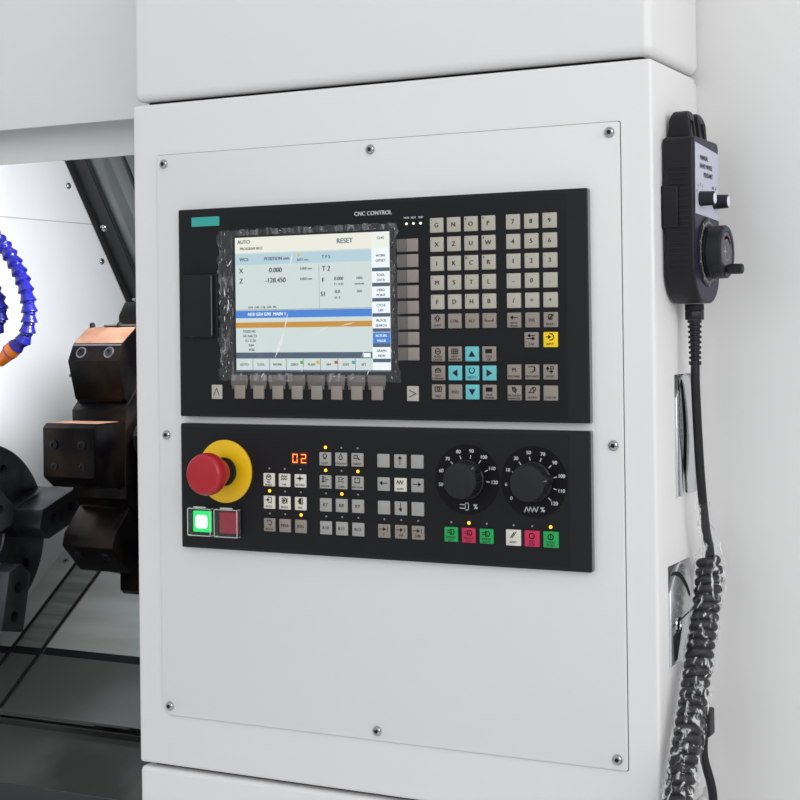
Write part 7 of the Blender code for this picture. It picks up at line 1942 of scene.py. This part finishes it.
def covers():
    """Way covers with wipers, the saddle and the rear guard's border with its screws."""
    dressed("way_cover_left", COVER_FOLDS, "way_cover_left", 0.0006, 1, "steel")
    dressed("way_cover_right", COVER_STEEL, "way_cover_right", 0.0006, 1, "steel")
    dressed("z_saddle", COVER_STEEL, "saddle", 0.0008, 1, "grey_paint")
    dressed("slant_bed", COVER_STEEL, MACHINE, 0.0008, 1, "cast_iron")
    for node, body, sides in (("way_cover_left", "way_cover_left", (0,)),
                              ("way_cover_right", "way_cover_right", (1,)), ("z_saddle", "saddle", (0, 1))):
        low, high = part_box(node)
        lip, seam = Shape(SLOPE), Shape(SLOPE)
        top = -0.0057 if node != "z_saddle" else -0.0024
        for side in sides:
            x = (low.x, high.x)[side]
            inward = (1, -1)[side]
            a, b = sorted((x + inward * 0.0005, x + inward * 0.0055))
            lip.block((a, -0.102, top - 0.0004), (b, 0.592, top + 0.0018), 0.0006, 2)
            a, b = sorted((x + inward * 0.0066, x + inward * 0.0076))
            seam.block((a, -0.102, top - 0.0004), (b, 0.592, top + 0.0003))
        lip.put(node + "_wiper", BELT, body)
        seam.put(node + "_wiper_edge", STEEL, body)
    dressed("chip_chute", CHUTE_GREY, MACHINE, 0.0010, 2, "grey_paint")
    dressed("rear_guard", GUARD_SHEET, MACHINE, 0.0010, 2, "dark_paint")
    low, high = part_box("rear_guard")
    border, screws = Shape(SLOPE), Shape()
    border.block((WORK_LEFT + 0.0006, 0.5990, 0.0), (WORK_LEFT + 0.034, 0.6046, 0.672), 0.0008, 2)
    border.block((WORK_LEFT + 0.0006, 0.5900, 0.0), (WORK_LEFT + 0.0036, 0.6046, 0.672), 0.0006, 1)
    border.block((WORK_LEFT + 0.050, 0.5960, 0.0002), (high.x - 0.002, 0.6046, 0.030), 0.0008, 2)
    border.put("rear_guard_border", GUARD_GREY)
    for t in (0.070, 0.215, 0.360, 0.505, 0.640):
        button_screw(screws, SLOPE @ at(WORK_LEFT + 0.012, 0.5990, t) @ Matrix.Rotation(
            math.pi / 2, 4, "X"), 0.0075, 0.0040)
        button_screw(screws, SLOPE @ at(WORK_LEFT + 0.0004, 0.575, t - 0.05) @ LYING, 0.0055, 0.0032)
    screws.put("rear_guard_screws", CHROME)
    folds = Shape(SLOPE)
    for x, wide in ((WORK_LEFT + 0.036, 0.0022), (WORK_LEFT + 0.104, 0.005), (WORK_LEFT + 0.600, 0.010)):
        folds.block((x, 0.5985, 0.034), (x + wide, 0.6046, 0.672), 0.0008, 2)
    folds.put("rear_guard_folds", GUARD_GREY)
    seam = Shape()
    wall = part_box("headstock_wall")
    seam.block((WORK_LEFT - 0.0008, wall[0].y + 0.004, 1.5050), (WORK_LEFT + 0.0001, 0.150, 1.5062))
    seam.put("wall_seam", material("seam_grey", "#9a9c9b", 0.6))
    bolts, dark = Shape(SLOPE), Shape(SLOPE)
    for x in (0.02, 0.13):
        for y in (-0.09, 0.20, 0.58):
            socket_screw(bolts, dark, at(WORK_LEFT + x, y, -0.009), 0.0055, 0.0012)
    bolts.put("cover_screws", STEEL)
    dark.put("cover_sockets", SHADOW_BLACK)


covers()


def heading(start, end, place=None):
    """Space whose Z runs from start to end, at the start unless a place is given."""
    turn = (end - start).to_track_quat("Z", "Y").to_matrix().to_4x4()
    return Matrix.Translation(start if place is None else place) @ turn


def hoses():
    """Ball-jointed coolant hoses: alike segments strung along a curve, with an orange nozzle."""
    routes = {"coolant_hose_upper": [(0.009, 0.020, 0.450), (0.035, 0.020, 0.453), (0.090, 0.010, 0.445),
                                     (0.158, 0.0, 0.404), (0.193, 0.0, 0.360), (0.208, 0.0, 0.315),
                                     (0.203, 0.0, 0.277), (0.176, 0.0, 0.254)],
              "coolant_hose_lower": [(0.009, 0.0, 0.405), (0.030, 0.0, 0.408), (0.070, 0.0, 0.398),
                                     (0.115, 0.0, 0.372), (0.145, 0.0, 0.340), (0.158, 0.0, 0.310),
                                     (0.150, 0.0, 0.285), (0.128, 0.0, 0.272)]}
    pitch = 0.0140
    profile = [(0.0070, -0.0012), (0.0080, 0.0), (0.0088, 0.0028), (0.0100, 0.0062), (0.0112, 0.0086),
               (0.0114, 0.0098), (0.0108, 0.0104), (0.0086, 0.0106), (0.0078, 0.0114), (0.0082, 0.0130),
               (0.0070, 0.0150)]
    for name, places in routes.items():
        route = [Vector((WORK_LEFT + out, SPINDLE_Y + back, SPINDLE_Z + rise)) for out, back, rise in places]
        fine = smooth_route(route, 0.001)
        blue = Shape()
        travelled = 0.0
        for a, b in zip(fine, fine[1:]):
            travelled += (b - a).length
            if travelled >= pitch:
                travelled -= pitch
                blue.turned(profile, 20, heading(a, b))
        seat = route[0]
        blue.turned([(0.0, 0.0), (0.0170, 0.0), (0.0170, 0.010), (0.0140, 0.0125), (0.0120, 0.018),
                     (0.0, 0.018)], 6,
                    at(WORK_LEFT + 0.0003, seat.y, seat.z) @ LYING)
        blue.put(name + "_look", HOSE_BLUE, MACHINE, [name], 30.0, "blue_plastic")
        tip = Shape(heading(fine[-8], fine[-1], fine[-1]))
        tip.turned([(0.0, -0.012), (0.0112, -0.010), (0.0114, 0.0), (0.0106, 0.0030), (0.0072, 0.0250),
                    (0.0050, 0.0255), (0.0050, 0.0100), (0.0, 0.0100)], 28)
        tip.put(name + "_nozzle", NOZZLE_ORANGE)


hoses()


def spindle_end():
    """Headstock with its spindle, motor and belt, behind the left cover."""
    dressed("headstock", IRON, MACHINE, 0.004, 2, "cast_iron")
    dressed("spindle", STEEL, "spindle_and_chuck", 0.0008, 1, "steel")
    dressed("spindle_motor", MACHINE_GREY, MACHINE, 0.0012, 1, "dark_paint")
    dressed("motor_pulley", STEEL, "motor_pulley", 0.0008, 1, "steel")
    dressed("drive_belt", BELT, MACHINE, 0.0012, 2, "rubber")
    low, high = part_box("spindle_motor")
    y, z = (low.y + high.y) / 2, 0.46
    ribs, bolts, dark = Shape(), Shape(), Shape()
    space = at(0, y, z) @ LYING
    for i in range(13):
        x = low.x + 0.070 + 0.018 * i
        ribs.turned([(0.088, x), (0.0966, x), (0.0966, x + 0.006), (0.088, x + 0.006)], 48, space)
    ribs.block((low.x + 0.12, y - 0.045, z + 0.085), (low.x + 0.23, y + 0.045, z + 0.118), 0.004, 2)
    ribs.put("motor_ribs", MACHINE_GREY)
    low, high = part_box("headstock")
    for i in range(8):
        place = about(SPINDLE_Y, SPINDLE_Z, 45 * i + 22.5) @ at(0.1005, 0, low.x + 0.0002)
        socket_screw(bolts, dark, place @ BACKWARDS, 0.0085, 0.008)
    bolts.put("headstock_bolts", OXIDE)
    dark.put("headstock_sockets", SHADOW_BLACK)


spindle_end()

# %% [markdown]
# ## Enclosure
# The CAD's sheets with softened edges, and service panels, vents and screws on them.

# %%


def paint(node, body=MACHINE, round_by=0.002, mat=WHITE):
    """A painted sheet piece with softened edges."""
    return dressed(node, mat, body, round_by, 2, "white_paint")


PROUD = 0.0016
PLATE_EDGE = 0.0009


def enclosure():
    """Front, sides, roof and rear with their service panels."""
    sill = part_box("front_fascia")[0].z - 0.0008
    rail_top = zoned(bumpy(material("apron_paint", "#d9d9d8", 0.42), 900.0, 0.10), (0.0, 0.0, 1.0), sill,
                     "#2b2d2e")
    paint("headstock_wall", round_by=0.0012, mat=WHITE_INNER)
    for node in ("left_cover", "right_cover", "front_fascia", "lower_apron", "roof_cover", "rear_cover"):
        paint(node, round_by=0.0016, mat=rail_top if node == "lower_apron" else WHITE)
    dressed("base_frame", MACHINE_GREY, MACHINE, 0.003, 2, "grey_paint")
    plates, screws, dark, grilles = Shape(), Shape(), Shape(), Shape()
    low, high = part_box("lower_apron")
    front = low.y
    for x0, x1 in ((-1.060, -0.440), (-0.432, 0.196), (0.770, 1.060)):
        plates.block((x0, front - PROUD, 0.150), (x1, front + 0.001, 0.735), PLATE_EDGE)
        for x in (x0 + 0.020, x1 - 0.020):
            for z in (0.172, 0.713):
                button_screw(screws, at(x, front - PROUD, z) @ FRONT, 0.0060, 0.0030)
    for i in range(8):
        z = 0.250 + 0.020 * i
        grilles.block((-0.930, front - 0.0024, z), (-0.590, front - 0.0006, z + 0.0075), 0.0006, 1)
    dark.block((low.x, front - 0.0008, 0.1002), (high.x, front + 0.001, 0.138))
    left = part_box("left_cover")[0].x
    for z0, z1 in ((0.180, 0.820), (0.860, 1.690)):
        plates.block((left - PROUD, -0.450, z0), (left + 0.001, 0.640, z1), PLATE_EDGE)
        for y in (-0.425, 0.615):
            for z in (z0 + 0.025, z1 - 0.025):
                button_screw(screws, at(left - PROUD, y, z) @ LYING.inverted(), 0.0065, 0.0032)
    for i in range(12):
        z = 0.300 + 0.026 * i
        grilles.block((left - 0.0024, -0.20, z), (left - 0.0006, 0.40, z + 0.010), 0.0006, 1)
    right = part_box("right_cover")[1].x
    plates.block((right - 0.001, -0.400, 0.200), (right + PROUD, 0.600, 1.640), PLATE_EDGE)
    for y in (-0.375, 0.575):
        for z in (0.225, 0.920, 1.615):
            button_screw(screws, at(right + PROUD, y, z) @ LYING, 0.0065, 0.0032)
    for i in range(10):
        z = 0.270 + 0.026 * i
        grilles.block((right + 0.0006, 0.150, z), (right + 0.0024, 0.500, z + 0.010), 0.0006, 1)
    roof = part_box("roof_cover")[1].z
    for x0, x1 in ((-1.060, -0.400), (-0.380, 1.060)):
        plates.block((x0, -0.180, roof - 0.001), (x1, 0.660, roof + PROUD), PLATE_EDGE)
    for x in (-1.035, -0.425, -0.355, 0.340, 1.035):
        for y in (-0.155, 0.635):
            button_screw(screws, at(x, y, roof + PROUD), 0.0065, 0.0032)
    plates.put("service_panels", WHITE)
    screws.put("service_panel_screws", CHROME)
    dark.put("kick_strip", MACHINE_GREY)
    grilles.put("vent_slats", IRON)


enclosure()


def cabinet():
    """Electrical cabinet door with locks, hinges, a vent and the main switch."""
    paint("cabinet_door", "cabinet_door", 0.003)
    low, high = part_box("cabinet_door")
    back = high.y
    locks, chrome, grille, hinge = Shape(), Shape(), Shape(), Shape()
    for z in (low.z + 0.140, high.z - 0.140):
        place = at(high.x - 0.045, back, z) @ REAR
        locks.turned([(0.0, 0.0062), (0.0150, 0.0062), (0.0172, 0.0045), (0.0180, 0.0), (0.0, 0.0)], 32,
                     place)
        chrome.block((-0.0035, -0.011, 0.006), (0.0035, 0.011, 0.0085), 0.001, 2, place)
    for i in range(10):
        z = low.z + 0.120 + 0.016 * i
        grille.block((low.x + 0.230, back - 0.0006, z), (high.x - 0.230, back + 0.0022, z + 0.0075), 0.0006,
                     1)
    rim = Shape()
    rim.slab(rectangle(low.x + 0.030, low.z + 0.030, high.x - 0.030, high.z - 0.030, 0.010), 0, 0.0012,
             [rectangle(low.x + 0.036, low.z + 0.036, high.x - 0.036, high.z - 0.036, 0.008)], 0.0, 1,
             at(0, back - 0.0002, 0) @ UPRIGHT)
    rim.put("cabinet_press_line", WHITE, "cabinet_door")
    for z in (low.z + 0.150, (low.z + high.z) / 2, high.z - 0.150):
        hinge.cylinder((low.x - 0.006, back + 0.003, z), 0.0055, 0.070, 20, None, 0.0008)
        hinge.block((low.x - 0.040, back - 0.001, z - 0.030), (low.x - 0.006, back + 0.0018, z + 0.030),
                    0.0006)
    locks.put("cabinet_locks", KNOB_BLACK, "cabinet_door")
    chrome.put("cabinet_lock_wings", CHROME, "cabinet_door")
    grille.put("cabinet_vent", IRON, "cabinet_door")
    hinge.put("cabinet_hinges", CHROME)
    place = at(0.520, back, 1.300) @ REAR
    base, knob = Shape(place), Shape(place)
    base.slab(rectangle(-0.045, -0.045, 0.045, 0.045, 0.006), 0.0, 0.003, (), 0.0008, 2)
    knob.turned([(0.0, 0.0090), (0.0180, 0.0090), (0.0240, 0.0075), (0.0270, 0.0030), (0.0, 0.0030)], 40)
    knob.block((-0.0060, -0.026, 0.006), (0.0060, 0.026, 0.0098), 0.002, 2)
    base.put("main_switch_plate", YELLOW)
    knob.put("main_switch", RED)
    socket = Shape(at(0.760, back, 0.300) @ REAR)
    socket.slab(rectangle(-0.070, -0.050, 0.070, 0.050, 0.006), 0.0, 0.0022, (), 0.0008, 2)
    for i in range(4):
        socket.turned([(0.0, 0.0095), (0.0090, 0.0095), (0.0105, 0.0080), (0.0105, 0.0050), (0.0130, 0.0048),
                       (0.0130, 0.0022), (0.0, 0.0022)], 12, at(-0.048 + 0.032 * i, 0, 0))
    socket.put("cable_glands", MACHINE_GREY)


cabinet()


def door():
    """Sliding door with its window, gasket, window bars and handle."""
    paint("sliding_door", "door", 0.003)
    dressed("door_window", GLASS, "door", 0.0008, 1, "clear")
    low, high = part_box("door_window")
    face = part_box("sliding_door")[0].y
    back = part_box("sliding_door")[1].y
    gasket = Shape()
    for y0, y1 in ((face - 0.0022, face + 0.016), (back - 0.0145, back + 0.0012)):
        gasket.slab(rectangle(low.x - 0.012, low.z - 0.012, high.x + 0.012, high.z + 0.012, 0.018, 6), y0, y1,
                    [rectangle(low.x + 0.010, low.z + 0.010, high.x - 0.010, high.z - 0.010, 0.014, 6)],
                    0.0008, 2, UPRIGHT)
    gasket.put("window_gasket", BELT, "door")
    bars = Shape()
    for i in range(1, 3):
        x = low.x + (high.x - low.x) * i / 3
        bars.block((x - 0.004, back - 0.0135, low.z + 0.002), (x + 0.004, back - 0.0105, high.z - 0.002),
                   0.001)
    bars.put("window_bars", STEEL, "door")
    low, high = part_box("door_handle")
    x, z0, z1 = (low.x + high.x) / 2, low.z + 0.009, high.z - 0.009
    out = low.y + 0.009
    line = [(x, face + 0.0002, z0), (x, face - 0.012, z0)]
    bend = 0.020
    line += [(x, y, z) for y, z in arc((out + bend, z0 + bend), bend, 270, 180, 10)]
    line += [(x, y, z) for y, z in arc((out + bend, z1 - bend), bend, 180, 90, 10)]
    line += [(x, face - 0.012, z1), (x, face + 0.0002, z1)]
    bar = Shape()
    bar.tube(line, 0.0090, 24)
    for z in (z0, z1):
        bar.turned([(0.0, 0.0065), (0.0125, 0.0065), (0.0150, 0.0045), (0.0155, 0.0), (0.0, 0.0)], 32,
                   at(x, face, z) @ FRONT)
    bar.put("door_handle_look", CHROME, "door", ["door_handle"], 35.0, "chrome")


door()


def work_lamp():
    """Tube lamp under the roof at the headstock wall."""
    lamp = Shape()
    lamp.block((-0.380, -0.470, 1.690), (0.180, -0.420, 1.740), 0.006, 3)
    for x in (-0.300, 0.090):
        lamp.block((x, -0.465, 1.738), (x + 0.016, -0.425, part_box("roof_cover")[0].z), 0.0015, 2)
    lamp.put("work_lamp_case", MACHINE_GREY)
    tube = Shape()
    tube.block((-0.370, -0.462, 1.6870), (0.170, -0.428, 1.6905), 0.001, 2)
    tube.put("work_lamp_tube", glowing("lamp_white", "#f6f8ff", 4.0))


work_lamp()

# %% [markdown]
# ## Studio
# Lamps at a plain level. The floor fades into the backdrop's colour, for the camera only.

# %%
SURROUND_STRENGTH = 0.40
BACKDROP_STRENGTH = 0.85
BACKDROP_COLOUR = "#e2e4e7"
FADE_START = 1.8
FADE_END = 5.5


def area_light(name, place, target, size, power, colour="#ffffff", glossy=True):
    """Soft lamp aimed at a point; one that isn't glossy leaves no highlight."""
    light = bpy.data.lights.new(name, "AREA")
    light.energy = power
    light.shape = "RECTANGLE"
    light.size, light.size_y = size
    light.color = srgb(colour)[:3]
    holder = bpy.data.objects.new(name, light)
    SCENE.collection.objects.link(holder)
    holder.location = place
    holder.rotation_euler = (Vector(target) - Vector(place)).to_track_quat("-Z", "Y").to_euler()
    holder.visible_camera = False
    holder.visible_glossy = glossy


def studio_world():
    """Even surrounding light; the camera, metal and glass see a paler backdrop than the light it gives."""
    world = bpy.data.worlds.new("studio")
    SCENE.world = world
    world.use_nodes = True
    rays = add(world, "ShaderNodeLightPath")
    seen = rays.outputs["Is Camera Ray"]
    for kind in ("Is Glossy Ray", "Is Transmission Ray"):
        both = add(world, "ShaderNodeMath", set_operation="MAXIMUM")
        world.node_tree.links.new(seen, both.inputs[0])
        world.node_tree.links.new(rays.outputs[kind], both.inputs[1])
        seen = both.outputs["Value"]
    strength = add(world, "ShaderNodeMapRange", Value=seen, To_Min=SURROUND_STRENGTH,
                   To_Max=BACKDROP_STRENGTH)
    background = world.node_tree.nodes["Background"]
    background.inputs["Color"].default_value = srgb(BACKDROP_COLOUR)
    world.node_tree.links.new(strength.outputs["Result"], background.inputs["Strength"])


def floor_paint():
    """Pale floor that fades into the backdrop's colour away from the object."""
    mat = bumpy(material("floor_paint", "#d6d7d7", 0.6), 60.0, 0.05)
    away = add(mat, "ShaderNodeVectorMath", set_operation="LENGTH", Vector=object_coordinates(mat))
    fade = add(mat, "ShaderNodeMapRange", Value=away.outputs["Value"], From_Min=FADE_START, From_Max=FADE_END)
    fade.interpolation_type = "SMOOTHSTEP"
    seen = add(mat, "ShaderNodeMath", set_operation="MULTIPLY", Value=fade.outputs["Result"])
    backdrop = add(mat, "ShaderNodeEmission", Color=srgb(BACKDROP_COLOUR), Strength=BACKDROP_STRENGTH)
    blend = add(mat, "ShaderNodeMixShader", Fac=seen.outputs["Value"])
    links = mat.node_tree.links
    links.new(add(mat, "ShaderNodeLightPath").outputs["Is Camera Ray"], seen.inputs[1])
    links.new(mat.node_tree.nodes["Principled BSDF"].outputs["BSDF"], blend.inputs[1])
    links.new(backdrop.outputs["Emission"], blend.inputs[2])
    links.new(blend.outputs["Shader"], mat.node_tree.nodes["Material Output"].inputs["Surface"])
    return mat


def studio():
    """Pale floor, an even surrounding light and soft lamps."""
    floor = Shape()
    floor.block((-15.0, -15.0, -0.02), (15.0, 15.0, 0.0))
    mesh = bpy.data.meshes.new("floor")
    floor.bm.to_mesh(mesh)
    floor.bm.free()
    mesh.materials.append(floor_paint())
    ground = bpy.data.objects.new("floor", mesh)
    SCENE.collection.objects.link(ground)
    studio_world()
    area_light("key", (3.6, -4.0, 3.0), (0.6, -0.6, 1.2), (2.8, 2.8), 96.0)
    area_light("side", (4.2, -0.9, 1.9), (0.7, -0.6, 1.2), (2.4, 2.4), 46.0, glossy=False)
    area_light("front", (-0.8, -4.6, 2.4), (0.2, -0.6, 1.2), (3.2, 2.4), 42.0, "#f8faff", glossy=False)
    area_light("overhead", (0.2, -1.8, 5.0), (0.2, -0.4, 1.0), (5.0, 4.0), 56.0, glossy=False)
    area_light("rear", (-3.6, 4.6, 2.6), (-0.4, 0.4, 1.0), (3.6, 3.6), 150.0)
    area_light("work_space", (0.12, -0.300, 1.530), (-0.40, -0.14, 1.02), (0.18, 0.18), 6.6, "#f4f8ff")


studio()
